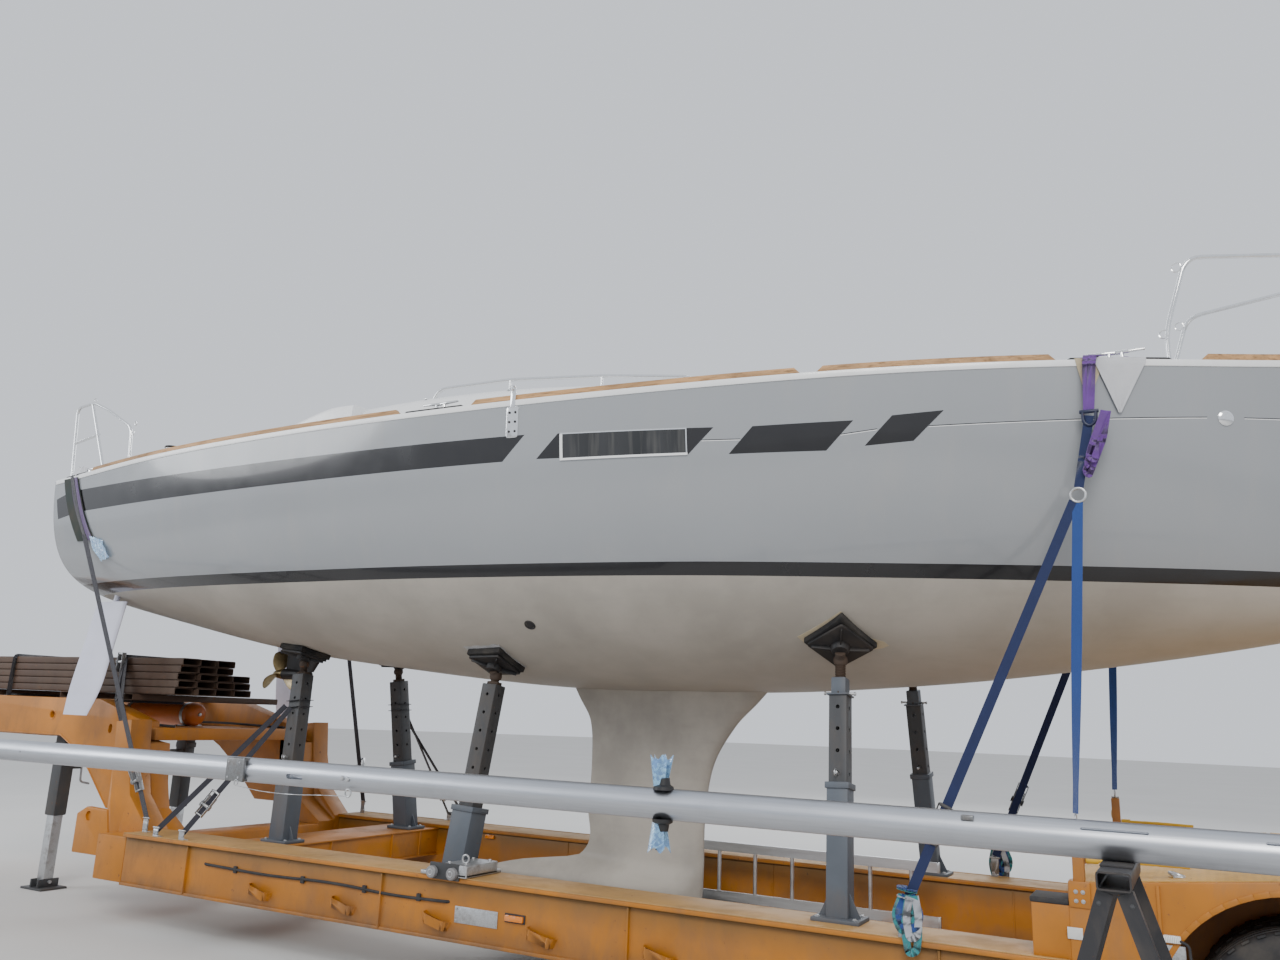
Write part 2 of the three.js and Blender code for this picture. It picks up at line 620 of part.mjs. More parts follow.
// Chain plates on the topsides
for (const { name, hand } of SIDES) {
  const x = 5000;
  const edge = deckEdge(x);
  const platey = join(block(x - 42, x + 42, edge.y - 60, edge.y + 7, edge.z - 230, edge.z - 20),
    block(x - 20, x + 20, edge.y - 6, edge.y + 7, edge.z - 60, edge.z + 70));
  const body = hand > 0 ? platey : platey.mirror([0, 1, 0]);
  const skins = [[0, 0], [0, hand * SEAT_GAP]].map(([dx, dy]) => hullForm.translate([dx, dy, 0]));
  addNode(`chain_plate_${name}`, cut(body, ...skins, aboveHull), 'steel');
}

// The unstepped mast, lying on two trestles
const MAST = { y: -2470, z: 1310, aft: -2450, fore: 11050, wide: 62, high: 66 };
const MAST_SECTION = [[1, 0], [0.9, 0.55], [0.55, 0.9], [0, 1], [-0.55, 0.9], [-0.9, 0.55],
  [-1, 0], [-0.9, -0.55], [-0.55, -0.9], [0, -1], [0.55, -0.9], [0.9, -0.55]];
{
  const ring = (x, scale) => MAST_SECTION.map(([dy, dz]) => (
    [x, MAST.y + dy * MAST.wide * scale, MAST.z + dz * MAST.high * scale]));
  const spar = loft([ring(MAST.aft + 80, 0.8), ring(MAST.aft + 1900, 1), ring(MAST.fore, 1)]);
  const crane = block(MAST.aft, MAST.aft + 200, MAST.y - 20, MAST.y + 20, MAST.z - 60, MAST.z + 90);
  const bracket = block(3790, 3890, MAST.y - 74, MAST.y + 74, MAST.z - 76, MAST.z + 70);
  const spreaderRoots = [-1, 1].map((way) => rod([6500, MAST.y - 20, MAST.z], [6500, MAST.y - 20, MAST.z + way * 190],
    22, 8, 14));
  addNode('mast', join(spar, crane, bracket, ...spreaderRoots), 'mastMetal');
}
const TRESTLES = [{ name: 'aft', x: -250 }, { name: 'fore', x: 8300 }];
for (const { name, x } of TRESTLES) {
  const top = MAST.z - MAST.high - SEAT_GAP;
  const [y0, y1] = [-2742, -2190];
  const beam = block(x - 55, x + 55, y0, y1, top - 90, top);
  const legs = [[-1, y0 + 70], [1, y0 + 70], [-1, y1 - 70], [1, y1 - 70]].map(([way, y]) => (
    bar([x + way * 30, y, top - 60], [x + way * 430, y, -60], 60, 60)));
  const rungs = [y0 + 70, y1 - 70].map((y) => bar([x - 260, y, 500], [x + 260, y, 500], 40, 50));
  const floor = block(x - 900, x + 900, y0 - 100, y1 + 100, -300, 0);
  addNode(`trestle_${name}`, cut(join(beam, ...legs, ...rungs), floor), 'blackPaint');
}

// Trailer: two side beams, a bearer for the keel, a raised neck in front and a deck over the wheels
const BEAM = { inner: 930, outer: 1290, top: 670, bottom: 300, aft: 7995, fore: 1340 };
const lashingEye = (corners) => swept(corners, 30, circle(12, 6));
for (const { name, hand } of SIDES) {
  const web = sideBlock(hand, BEAM.fore, BEAM.aft, BEAM.inner + 20, BEAM.outer - 20, BEAM.bottom, BEAM.top - 10);
  const flange = sideBlock(hand, BEAM.fore, BEAM.aft, BEAM.inner, BEAM.outer + 10, BEAM.top - 25, BEAM.top);
  const rings = [2700, 3700, 4700, 5700, 6700].map((x) => (
    lashingEye([[x, hand * (BEAM.outer - 40), 420], [x, hand * (BEAM.outer + 45), 400],
      [x + 60, hand * (BEAM.outer + 45), 330], [x + 70, hand * (BEAM.outer - 40), 320]])));
  addNode(`side_beam_${name}`, join(web, flange, ...rings), 'yellowPaint');
}
const between = BEAM.inner + 20 - SEAT_GAP;
const BEARER_TOP = BEAM.top - 25 - SEAT_GAP;
const LADDER_FOOT = 398;              // underside of the ladder that lies across the bearers
addNode('keel_bearer', join(
  block(4100, 5400, -between, between, 300, LADDER_FOOT - SEAT_GAP),
  block(4150, 5500, -200, 200, 340, 410 - SEAT_GAP)), 'darkSteel');
addNode('fore_bearer', block(6600, 6900, -between, between, 300, LADDER_FOOT - SEAT_GAP), 'darkSteel');
addNode('post_bearer', block(2050, 2550, -between, between, 420, BEARER_TOP), 'yellowPaint');

// Neck: narrow between the rudders, with a riser at each side down to the bed
const NECK = { half: 860, cheek: 160, top: 1650, bottom: 1310, front: -2300, cross: 1330 };
const TANK = { x0: -600, x1: 400, z: 1540, radius: 106 };
{
  const outline = [[NECK.front, NECK.bottom + 60], [NECK.front, NECK.top], [170, NECK.top], [760, 1490],
    [760, 1180], [200, NECK.bottom], [-1900, NECK.bottom]];
  const cheeks = SIDES.map(({ hand }) => sidePlate(hand, outline, NECK.half - NECK.cheek, NECK.half));
  const risers = SIDES.map(({ hand }) => sidePlate(hand, [[620, 1500], [1130, 1550], [1200, 900],
    [BEAM.fore - SEAT_GAP, 660], [BEAM.fore - SEAT_GAP, 300], [900, 300], [700, 640], [560, 820], [620, 1180]],
    NECK.half - NECK.cheek, 1090));
  const cross = [[-2300, -1900], [-640, -440], [220, 380], [560, 900]].map(([x0, x1]) => (
    block(x0, x1, -NECK.half + 50, NECK.half - 50, NECK.cross, TANK.z - TANK.radius - SEAT_GAP)));
  const lowCross = block(1000, BEAM.fore - SEAT_GAP, -1000, 1000, 320, 600);
  const bedEnds = SIDES.map(({ hand }) => sideBlock(hand, 1000, BEAM.fore - SEAT_GAP, 900, BEAM.outer - 20, 310, 640));
  const pin = join(block(-2000, -1000, -500, 500, 1290, 1330), rod([-1500, 0, 1300], [-1500, 0, 1210], 45, 12),
    block(-2000, -1900, -500, 500, 1300, 1400));
  addNode('neck', join(...cheeks, ...risers, ...cross, lowCross, ...bedEnds, pin), 'yellowPaint');
}
for (const { name, hand } of SIDES) {
  const [y0, y1] = [NECK.half - NECK.cheek - 122, NECK.half - NECK.cheek - SEAT_GAP];
  addNode(`landing_leg_${name}`, join(
    sideBlock(hand, -610, -470, y0, y1, 620, NECK.cross - SEAT_GAP),
    sideBlock(hand, -590, -490, y0 + 15, y1 - 15, 30, 700),
    sideBlock(hand, -690, -390, y0 - 60, y1 + 60, 0, 35)), 'darkSteel');
}

// Air tank in the neck and spare beams stowed on it
addNode('air_tank', rod([TANK.x0, 0, TANK.z], [TANK.x1, 0, TANK.z], TANK.radius, 16), 'yellowPaint');
{
  const base = NECK.top + SEAT_GAP;
  const bunks = [-1700, -500, 400].map((x) => block(x, x + 120, -800, 800, base, base + 60));
  const rows = [[base + 55, 4], [base + 205, 3]].map(([z, count]) => {
    const pieces = [];
    for (let i = 0; i < count; i += 1) {
      const y = -760 + i * 190;
      pieces.push(block(-1900 + i * 60, 1050 - i * 130, y, y + 200, z, z + 155));
    }
    return join(...pieces);
  });
  addNode('spare_beams', join(...bunks, ...rows), 'darkSteel');
}

// Rear deck over the wheels
const AXLES = [{ name: 'first', x: 8920 }, { name: 'second', x: 10230 }];
const HUB_Z = 450;
const ARCH_RADIUS = 590;
const DECK = { frontTop: 1005, level: 8900, top: 1100, aft: 11000, half: 1275 };
const TYRE = { radius: 450, inner: 700, outer: 1262 };
{
  const front = BEAM.aft + SEAT_GAP;
  const deck = plate([[front, 300], [8330, 300], [8330, 560], [DECK.aft, 560], [DECK.aft, DECK.top],
    [DECK.level, DECK.top], [front, DECK.frontTop]], -DECK.half, DECK.half);
  const arches = AXLES.flatMap(({ x }) => SIDES.map(({ hand }) => (
    rod([x, hand * (TYRE.inner - 75), HUB_Z], [x, hand * 1400, HUB_Z], ARCH_RADIUS, 24))));
  const hangers = AXLES.flatMap(({ x }) => SIDES.map(({ hand }) => (
    sideBlock(hand, x - 90, x + 90, 420, 560, HUB_Z + 70 + SEAT_GAP, 600))));
  const stakes = SIDES.map(({ hand }) => sideBlock(hand, 8020, 8070, 1225, DECK.half, 990, 1260));
  addNode('rear_deck', join(cut(deck, ...arches), ...hangers, ...stakes), 'yellowPaint');
}
for (const { name, x } of AXLES) {
  const reach = TYRE.inner - SEAT_GAP;
  addNode(`axle_${name}`, join(
    block(x - 70, x + 70, -560, 560, HUB_Z - 70, HUB_Z + 70),
    rod([x, -reach, HUB_Z], [x, reach, HUB_Z], 60, 16),
    rod([x, -reach, HUB_Z], [x, 60 - reach, HUB_Z], 130, 16),
    rod([x, reach, HUB_Z], [x, reach - 60, HUB_Z], 130, 16)), 'darkSteel');
  for (const side of SIDES) {
    // radius and place outwards from the inner face, as a closed profile from axis to axis
    const profile = [[0, 0], [140, 0], [160, 60], [265, 60], [275, 15], [420, 8], [450, 45],
      [450, 235], [410, 265], [330, 281], [410, 297], [450, 327], [450, 517],
      [420, 554], [275, 547], [265, 470], [150, 430], [110, 470], [0, 480]];
    const wheel = turned(profile, [0, 0, 0], 24);
    const handed = side.hand > 0 ? wheel : wheel.mirror([0, 1, 0]);
    addNode(`trailer_wheel_${name}_${side.name}`, handed.translate([x, side.hand * TYRE.inner, HUB_Z]), 'rubber');
  }
}

// Props under the hull: a post on the trailer, a screw and a tilted pad
// name, foot x, foot y, pad x, pad y, post width, what it stands on
const PROPS = [
  ['fore', 6850, 1060, 6795, 850, 130, BEAM.top],
  ['middle', 4330, 1050, 4400, 886, 120, BEAM.top],
  ['aft', 2380, 700, 2240, 560, 150, BEARER_TOP],
];
const PAD = { size: 340, thick: 75, sink: 12 };
for (const { name, hand } of SIDES) {
  for (const [place, footX, footY, padX, padY, width, base] of PROPS) {
    const skin = skinZ(padX, padY);
    const rise = (skinZ(padX, padY + 100) - skinZ(padX, padY - 100)) / 200;
    const run = (skinZ(padX + 100, padY) - skinZ(padX - 100, padY)) / 200;
    const normal = new THREE.Vector3(-run, -rise * hand, 1).normalize();
    const turn = new THREE.Quaternion().setFromUnitVectors(new THREE.Vector3(0, 0, 1), normal);
    const slab = new THREE.BoxGeometry(PAD.size, PAD.size, PAD.thick * 2);
    slab.rotateZ(Math.PI / 4);
    slab.applyQuaternion(turn);
    slab.translate(padX, hand * padY, skin - PAD.sink);
    const seat = new THREE.Vector3(padX, hand * padY, skin - PAD.sink).addScaledVector(normal, 5 - PAD.thick);
    const below = [padX, hand * padY, skin - 190];
    const foot = [footX, hand * footY, base + SEAT_GAP];
    const along = (share) => foot.map((value, i) => THREE.MathUtils.lerp(value, below[i], share));
    const reach = below[2] - foot[2];
    const y = hand * footY;
    const parts = [solid(slab), rod(below, seat.toArray(), 34, 10), rod(along(0.7), below, 30, 10),
      bar(foot, along(1 - 180 / reach), width, width),
      block(footX - 130, footX + 130, y - 100, y + 100, base + SEAT_GAP, base + 30)];
    const floor = block(footX - 400, footX + 400, y - 400, y + 400, 0, base + SEAT_GAP);
    addNode(`prop_${place}_${name}`, underHull(cut(join(...parts), floor)), 'darkSteel');
  }
}

// Lashings: slings over the deck edge at the bow cleats and at the stern, with webbing to the trailer
const WEB = { width: 50, thick: 6 };
function webbing(points, hand) {
  const side = points.map(([x, y, z]) => new THREE.Vector3(x, hand * y, z));
  const rings = side.map((point, i) => {
    const back = side[Math.max(i - 1, 0)];
    const ahead = side[Math.min(i + 1, side.length - 1)];
    const along = ahead.clone().sub(back).normalize();
    const across = new THREE.Vector3(1, 0, 0).addScaledVector(along, -along.x).normalize();
    const through = along.clone().cross(across);
    const corner = (a, b) => point.clone().addScaledVector(across, a * WEB.width / 2)
      .addScaledVector(through, b * WEB.thick / 2).toArray();
    return [corner(-1, -1), corner(1, -1), corner(1, 1), corner(-1, 1)];
  });
  return loft(rings);
}
for (const { name, hand } of SIDES) {
  const sling = webbing([[8240, 890, 3627], [8215, 1085, 3592], [8130, 1110, 2850]], hand);
  const ring = rod([8130, hand * 1094, 2855], [8130, hand * 1126, 2855], 42, 12);
  const forward = webbing([[8128, 1110, 2850], [8045, 1250, 1264]], hand);
  const aft = webbing([[8122, 1110, 2845], [7240, 1275, 700]], hand);
  const hook = sideBlock(hand, 7205, 7275, 1240, 1300, BEAM.top + SEAT_GAP, 800);
  const eye = sideBlock(hand, 8015, 8075, 1220, 1280, 1260 + SEAT_GAP, 1310);
  addNode(`bow_lashing_${name}`, onDeck(join(sling, ring, forward, aft, hook, eye)), 'blueWeb');
}
for (const { name, hand } of SIDES) {
  const strap = webbing([[240, 1380, 3512], [235, 1525, 3488], [300, 1475, 2830], [410, 1262, 2600],
    [1060, 1200, 690]], hand);
  const hook = sideBlock(hand, 1030, 1090, 1180, 1240, 640 + SEAT_GAP, 730);
  addNode(`stern_lashing_${name}`, onDeck(join(strap, hook)), 'darkWeb');
}

// Ladder lying on its side along the bed
{
  const [x0, x1, y] = [4700, 7000, 640];
  const rails = [LADDER_FOOT + 32, LADDER_FOOT + 372].map((z) => block(x0, x1, y - 14, y + 14, z - 32, z + 32));
  const rungs = [];
  for (let x = x0 + 150; x < x1; x += 280) {
    rungs.push(rod([x, y, 430], [x, y, 770], 14, 8));
  }
  addNode('ladder', join(...rails, ...rungs), 'aluminium');
}

export default yachtOnTrailer;
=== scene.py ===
"""The looks of a ten metre sailing yacht on the road trailer that carries her.

Lengths are in metres. The script thinks in the yacht's own frame, X = 0 at the transom and growing towards
the stem, Y = 0 on her centreline and growing to port, Z up from the ground. A finished piece is moved
from there into the shared frame, whose origin lies on the ground under the middle of the whole.
"""
import math
import random

import bmesh
import bpy
from mathutils import Matrix, Vector


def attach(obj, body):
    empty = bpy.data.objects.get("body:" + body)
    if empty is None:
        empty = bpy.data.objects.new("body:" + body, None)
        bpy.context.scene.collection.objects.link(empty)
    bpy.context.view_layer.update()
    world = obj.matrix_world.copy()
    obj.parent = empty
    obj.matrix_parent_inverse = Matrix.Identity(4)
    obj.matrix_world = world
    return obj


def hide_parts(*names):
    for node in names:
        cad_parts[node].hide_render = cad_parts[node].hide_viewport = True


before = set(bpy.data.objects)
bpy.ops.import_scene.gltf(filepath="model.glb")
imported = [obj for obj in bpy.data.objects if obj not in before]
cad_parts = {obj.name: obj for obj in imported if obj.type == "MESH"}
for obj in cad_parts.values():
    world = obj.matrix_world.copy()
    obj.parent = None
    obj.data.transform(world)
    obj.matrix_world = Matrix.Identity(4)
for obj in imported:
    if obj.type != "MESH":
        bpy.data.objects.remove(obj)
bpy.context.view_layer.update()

bl_info = {
    "name": "Sailing yacht on a road trailer",
    "version": (1, 0, 0),
    "blender": (4, 5, 0),
    "location": "3D View > Sidebar > Yacht",
    "description": "Dresses the packed frame of a sailing yacht on her trailer",
    "category": "Object",
}

ORIGIN = Vector((4.3, -0.5, 0.0))     # of the shared frame, in the yacht's own
ROOT = "yacht_on_trailer"
SIDES = (("starboard", -1), ("port", 1))
UP = Vector((0, 0, 1))


# Hull form, repeated from the frame's source
HULL_LENGTH = 9.97
# x, edge y, edge z, side y, side z, bilge y, bilge z, keel z, rake
HULL_SECTIONS = (
    (0, 1.467, 3.469, 1.420, 2.550, 1.100, 2.560, 2.400, 0),
    (1.5, 1.638, 3.525, 1.620, 2.450, 1.150, 2.240, 2.135, 0),
    (3.0, 1.726, 3.542, 1.720, 2.450, 1.150, 1.990, 1.975, 0),
    (4.5, 1.732, 3.542, 1.730, 2.430, 1.120, 1.865, 1.865, 0),
    (6.0, 1.615, 3.546, 1.600, 2.420, 1.000, 1.865, 1.863, 0),
    (7.2, 1.377, 3.568, 1.330, 2.450, 0.720, 1.945, 1.940, 0),
    (8.2, 1.050, 3.585, 1.030, 2.550, 0.570, 2.070, 2.060, 0),
    (9.0, 0.666, 3.598, 0.630, 2.650, 0.430, 2.200, 2.190, 0),
    (9.6, 0.303, 3.631, 0.260, 2.800, 0.100, 2.360, 2.310, 0.060),
    (HULL_LENGTH, 0.020, 3.641, 0.020, 2.900, 0.012, 2.400, 2.330, 0.320),
)
SIDE_RAKE = 0.18
BILGE_RAKE = 0.35
DECK_CAMBER = 0.035
STEM_NOSE = 0.012                     # how far the stem stands out past the hull's length


def eased(share):
    """0 to 1 without a corner at either end."""
    share = min(max(share, 0.0), 1.0)
    return share * share * (3 - 2 * share)


def smooth_row(table, x):
    """A row of a table at any x, on a curve through the table's own rows."""
    i = 0
    while i < len(table) - 2 and x > table[i + 1][0]:
        i += 1
    before, start, end, after = (table[j] for j in (max(i - 1, 0), i, i + 1, min(i + 2, len(table) - 1)))
    span = end[0] - start[0]
    s = (x - start[0]) / span
    row = []
    for b, f, t, a in zip(before, start, end, after):
        slope_start = (t - b) / (end[0] - before[0])
        slope_end = (a - f) / (after[0] - start[0])
        row.append(f * (1 + 2 * s) * (1 - s) ** 2 + slope_start * span * s * (1 - s) ** 2
                   + t * s * s * (3 - 2 * s) + slope_end * span * s * s * (s - 1))
    return row


def hull_point(x, share, hand=1, row=None):
    """A point of the hull's skin: share 0 is the deck edge and 1 the keel line."""
    row = row or smooth_row(HULL_SECTIONS, x)
    rest = 1 - share
    weights = (rest ** 3, 3 * rest ** 2 * share, 3 * rest * share ** 2, share ** 3)

    def blend(*values):
        return sum(value * weight for value, weight in zip(values, weights))
    return Vector((
        row[0] - row[8] * blend(0, SIDE_RAKE, BILGE_RAKE, 1),
        hand * blend(row[1], row[3], row[5], 0),
        blend(row[2], row[4], row[6], row[7])))


def skin_at(x, z, hand=1):
    """The place on the hull's skin at a length and a height, and the way out of the hull there."""
    row = smooth_row(HULL_SECTIONS, x)
    low, high = 0.0, 1.0
    for _ in range(30):
        middle = (low + high) / 2
        if hull_point(x, middle, hand, row).z > z:
            low = middle
        else:
            high = middle
    here = hull_point(x, low, hand, row)
    along = hull_point(min(x + 0.02, HULL_LENGTH), low, hand) - hull_point(x - 0.02, low, hand)
    down = hull_point(x, min(low + 0.01, 1), hand, row) - hull_point(x, max(low - 0.01, 0), hand, row)
    out = along.cross(down).normalized()
    if out.y * hand < 0:
        out.negate()
    return here, out


def deck_edge(x):
    row = smooth_row(HULL_SECTIONS, x)
    return row[1], row[2]


def deck_z(x, y):
    """Height of the deck, which is straight from each edge to its raised middle."""
    half, edge = deck_edge(x)
    return edge + DECK_CAMBER * (half - min(abs(y), half))


# Mesh words
def edges_of(verts):
    return list({edge for vert in verts for edge in vert.link_edges})


def soften(bm, verts, width, segments=2, rims=False):
    """Bevels the edges round some vertices, or only the rims of their many-sided faces."""
    if width > 0:
        edges = edges_of(verts)
        if rims:
            edges = [edge for edge in edges if any(len(face.verts) > 4 for face in edge.link_faces)]
        bmesh.ops.bevel(bm, geom=edges, offset=width, offset_type="OFFSET", segments=segments,
                        profile=0.5, affect="EDGES", clamp_overlap=True, material=-1)


def axes_along(along, side=UP):
    """Three axes with X along a line and Z as near as can be to a wanted side."""
    along = along.normalized()
    if abs(along.dot(Vector(side))) > 0.98:
        side = Vector((1, 0, 0))
    across = Vector(side).cross(along).normalized()
    return Matrix((along, across, along.cross(across))).transposed()


def add_box(bm, low, high, edge=0.004, segments=2):
    low, high = Vector(low), Vector(high)
    place = Matrix.LocRotScale((low + high) / 2, None, high - low)
    verts = bmesh.ops.create_cube(bm, size=1, matrix=place)["verts"]
    soften(bm, verts, edge, segments)


def add_side_box(bm, hand, x0, x1, y0, y1, z0, z1, edge=0.004):
    near, far = sorted((hand * y0, hand * y1))
    add_box(bm, (x0, near, z0), (x1, far, z1), edge)


def add_bar(bm, start, end, width, height, edge=0.003, side=UP):
    start, end = Vector(start), Vector(end)
    turn = axes_along(end - start, side).to_quaternion()
    place = Matrix.LocRotScale((start + end) / 2, turn, Vector(((end - start).length, width, height)))
    verts = bmesh.ops.create_cube(bm, size=1, matrix=place)["verts"]
    soften(bm, verts, edge)


def add_rod(bm, start, end, radius, end_radius=None, sides=16, edge=0.0):
    start, end = Vector(start), Vector(end)
    turn = UP.rotation_difference(end - start)
    place = Matrix.LocRotScale((start + end) / 2, turn, None)
    verts = bmesh.ops.create_cone(bm, cap_ends=True, segments=sides, radius1=radius,
                                  radius2=radius if end_radius is None else end_radius,
                                  depth=(end - start).length, matrix=place)["verts"]
    soften(bm, verts, edge, rims=True)


def rounded(corners, bend, steps=5):
    """The points of a path whose corners are rounded to a bend."""
    corners = [Vector(corner) for corner in corners]
    path = [corners[0]]
    for before, corner, after in zip(corners, corners[1:], corners[2:]):
        back, ahead = before - corner, after - corner
        reach = min(bend, back.length * 0.45, ahead.length * 0.45)
        a = corner + back.normalized() * reach
        b = corner + ahead.normalized() * reach
        for step in range(steps + 1):
            t = step / steps
            path.append(a * (1 - t) ** 2 + corner * 2 * t * (1 - t) + b * t ** 2)
    path.append(corners[-1])
    return path


def rounded_ring(corners, bend, steps=3):
    """The points of a closed outline whose corners are rounded to a bend."""
    corners = [Vector(corner) for corner in corners]
    ring = []
    for i, corner in enumerate(corners):
        back, ahead = corners[i - 1] - corner, corners[(i + 1) % len(corners)] - corner
        reach = min(bend, back.length * 0.45, ahead.length * 0.45)
        a, b = corner + back.normalized() * reach, corner + ahead.normalized() * reach
        for step in range(steps + 1):
            t = step / steps
            ring.append(a * (1 - t) ** 2 + corner * 2 * t * (1 - t) + b * t ** 2)
    return ring


def add_swept(bm, path, ring, side=UP):
    """A closed bar along a path: ring holds the (across, up) corners of its section."""
    path = [Vector(point) for point in path]
    turn = axes_along(path[1] - path[0], side)
    verts = [bm.verts.new(path[0] + turn @ Vector((0, across, up))) for across, up in ring]
    face = bm.faces.new(verts)
    ways = [(b - a).normalized() for a, b in zip(path, path[1:])]
    last = path[0], ways[0]
    for i in range(1, len(path)):
        way = (ways[i - 1] + ways[min(i, len(ways) - 1)]).normalized()
        made = bmesh.ops.extrude_face_region(bm, geom=[face])["geom"]
        moved = [item for item in made if isinstance(item, bmesh.types.BMVert)]
        face = next(item for item in made if isinstance(item, bmesh.types.BMFace))
        spin = last[1].rotation_difference(way).to_matrix().to_4x4()
        place = Matrix.Translation(path[i]) @ spin @ Matrix.Translation(-last[0])
        bmesh.ops.transform(bm, matrix=place, verts=moved)
        last = path[i], way


def circle(radius, sides=12):
    return [(radius * math.cos(math.tau * i / sides), radius * math.sin(math.tau * i / sides))
            for i in range(sides)]


def add_tube(bm, corners, radius, bend=0.06, sides=12):
    add_swept(bm, rounded(corners, bend), circle(radius, sides))


def add_strap(bm, corners, width, thick, side, bend=0.03):
    w, t = width / 2, thick / 2
    add_swept(bm, rounded(corners, bend, 4), [(-w, -t), (w, -t), (w, t), (-w, t)], side)


def add_lathe(bm, profile, centre, axis, steps=48):
    """Turns a profile of (radius, along) points round an axis; it ends on the axis or closes on itself."""
    axis = Vector(axis)
    turn = UP.rotation_difference(axis).to_matrix()
    verts = [bm.verts.new(Vector(centre) + turn @ Vector((radius, 0, along))) for radius, along in profile]
    edges = [bm.edges.new(pair) for pair in zip(verts, verts[1:])]
    if profile[0][0] > 0.0005:
        edges.append(bm.edges.new((verts[-1], verts[0])))
    bmesh.ops.spin(bm, geom=verts + edges, cent=centre, axis=axis, angle=math.tau, steps=steps,
                   use_merge=True, use_normal_flip=False, use_duplicate=False)
    bmesh.ops.remove_doubles(bm, verts=bm.verts, dist=0.00005)


def add_plate(bm, outline, push, edge=0.0):
    """A flat plate: its outline's corners in order, and the vector of its thickness."""
    face = bm.faces.new([bm.verts.new(corner) for corner in outline])
    made = bmesh.ops.extrude_face_region(bm, geom=[face])["geom"]
    moved = [item for item in made if isinstance(item, bmesh.types.BMVert)]
    bmesh.ops.translate(bm, verts=moved, vec=push)
    soften(bm, face.verts[:] + moved, edge, rims=len(outline) > 8)


def add_patch(bm, columns, rows, place, push=None):
    """A grid whose points are put in place by a function of two shares, made a slab by a push."""
    verts = bmesh.ops.create_grid(bm, x_segments=columns, y_segments=rows, size=0.5)["verts"]
    for vert in verts:
        vert.co = place(vert.co.x + 0.5, vert.co.y + 0.5)
    if push:
        faces = list({face for vert in verts for face in vert.link_faces})
        made = bmesh.ops.extrude_face_region(bm, geom=faces)["geom"]
        bmesh.ops.translate(bm, verts=[item for item in made if isinstance(item, bmesh.types.BMVert)],
                            vec=push)
    return verts


def add_loft(bm, columns, ring_at):
    """A closed skin over rings of as many points; ring_at gives the ring at a share of the length."""
    rings = [ring_at(i / columns) for i in range(columns + 1)]
    rows = len(rings[0])
    verts = add_patch(bm, columns, rows, lambda u, v: rings[round(u * columns)][round(v * rows) % rows])
    bmesh.ops.remove_doubles(bm, verts=verts, dist=0.00002)
    bmesh.ops.holes_fill(bm, edges=[edge for edge in bm.edges if edge.is_boundary], sides=0)


def add_stud(bm, at, out, radius, height):
    """A low round head, standing on a surface whose way out is given."""
    at, out = Vector(at), Vector(out).normalized()
    add_rod(bm, at - out * 0.002, at + out * height, radius, radius * 0.85, 12, min(height, radius) * 0.3)


def add_torus(bm, centre, axis, radius, wire, steps=20):
    add_lathe(bm, [(radius + across, along) for across, along in circle(wire, 8)], centre, axis, steps)


def sided(point, hand):
    return Vector((point[0], hand * point[1], point[2]))


def all_sided(points, hand):
    return [sided(point, hand) for point in points]


# Places on the yacht's skin and deck
def on_skin(x, z, hand, proud=0.0):
    here, out = skin_at(x, z, hand)
    return here + out * proud


def add_skin_panel(bm, hand, corners, columns, rows, proud, thick):
    """A panel on the topsides; corners are (x, z) from the side: low aft, low fore, top fore, top aft."""
    a, b, c, d = (Vector(corner) for corner in corners)
    _, out = skin_at((a.x + c.x) / 2, (a.y + c.y) / 2, hand)

    def place(u, v):
        at = a.lerp(b, u).lerp(d.lerp(c, u), v)
        return on_skin(at.x, at.y, hand, proud)
    add_patch(bm, columns, rows, place, -out * thick)


def add_edge_bar(bm, hand, x0, x1, ring, slant=0.0):
    """A bar along the deck edge; ring holds (inwards, up) corners, and slant leans its ends together."""
    low = min(up for _, up in ring)
    high = max(up for _, up in ring)

    def ring_at(u):
        points = []
        for inwards, up in ring:
            x = x0 + (x1 - x0) * u + slant * (up - low) / (high - low) * (1 - 2 * u)
            half, edge = deck_edge(x)
            points.append(Vector((x, hand * max(half - inwards, 0.004), edge + up)))
        return points
    add_loft(bm, max(4, round((x1 - x0) / 0.12)), ring_at)


def piece(name, bm, *finishes, body=ROOT, stands_for=(), crease=35, closed=True, choose=None):
    """Makes a mesh a finished piece: shaded, placed in the shared frame, painted and carried by a body."""
    if closed:
        bmesh.ops.recalc_face_normals(bm, faces=bm.faces)
    for face in bm.faces:
        face.smooth = True
        if choose:
            face.material_index = choose(face.calc_center_median(), face.normal)
    for edge in bm.edges:
        if len(edge.link_faces) == 2 and edge.calc_face_angle(0) > math.radians(crease):
            edge.smooth = False
    bmesh.ops.translate(bm, verts=bm.verts, vec=-ORIGIN)
    mesh = bpy.data.meshes.new(name)
    bm.to_mesh(mesh)
    bm.free()
    made = bpy.data.objects.new(name, mesh)
    bpy.context.scene.collection.objects.link(made)
    for finish in finishes:
        mesh.materials.append(finish_named(finish))
    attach(made, body)
    if stands_for:
        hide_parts(*stands_for)
    return made


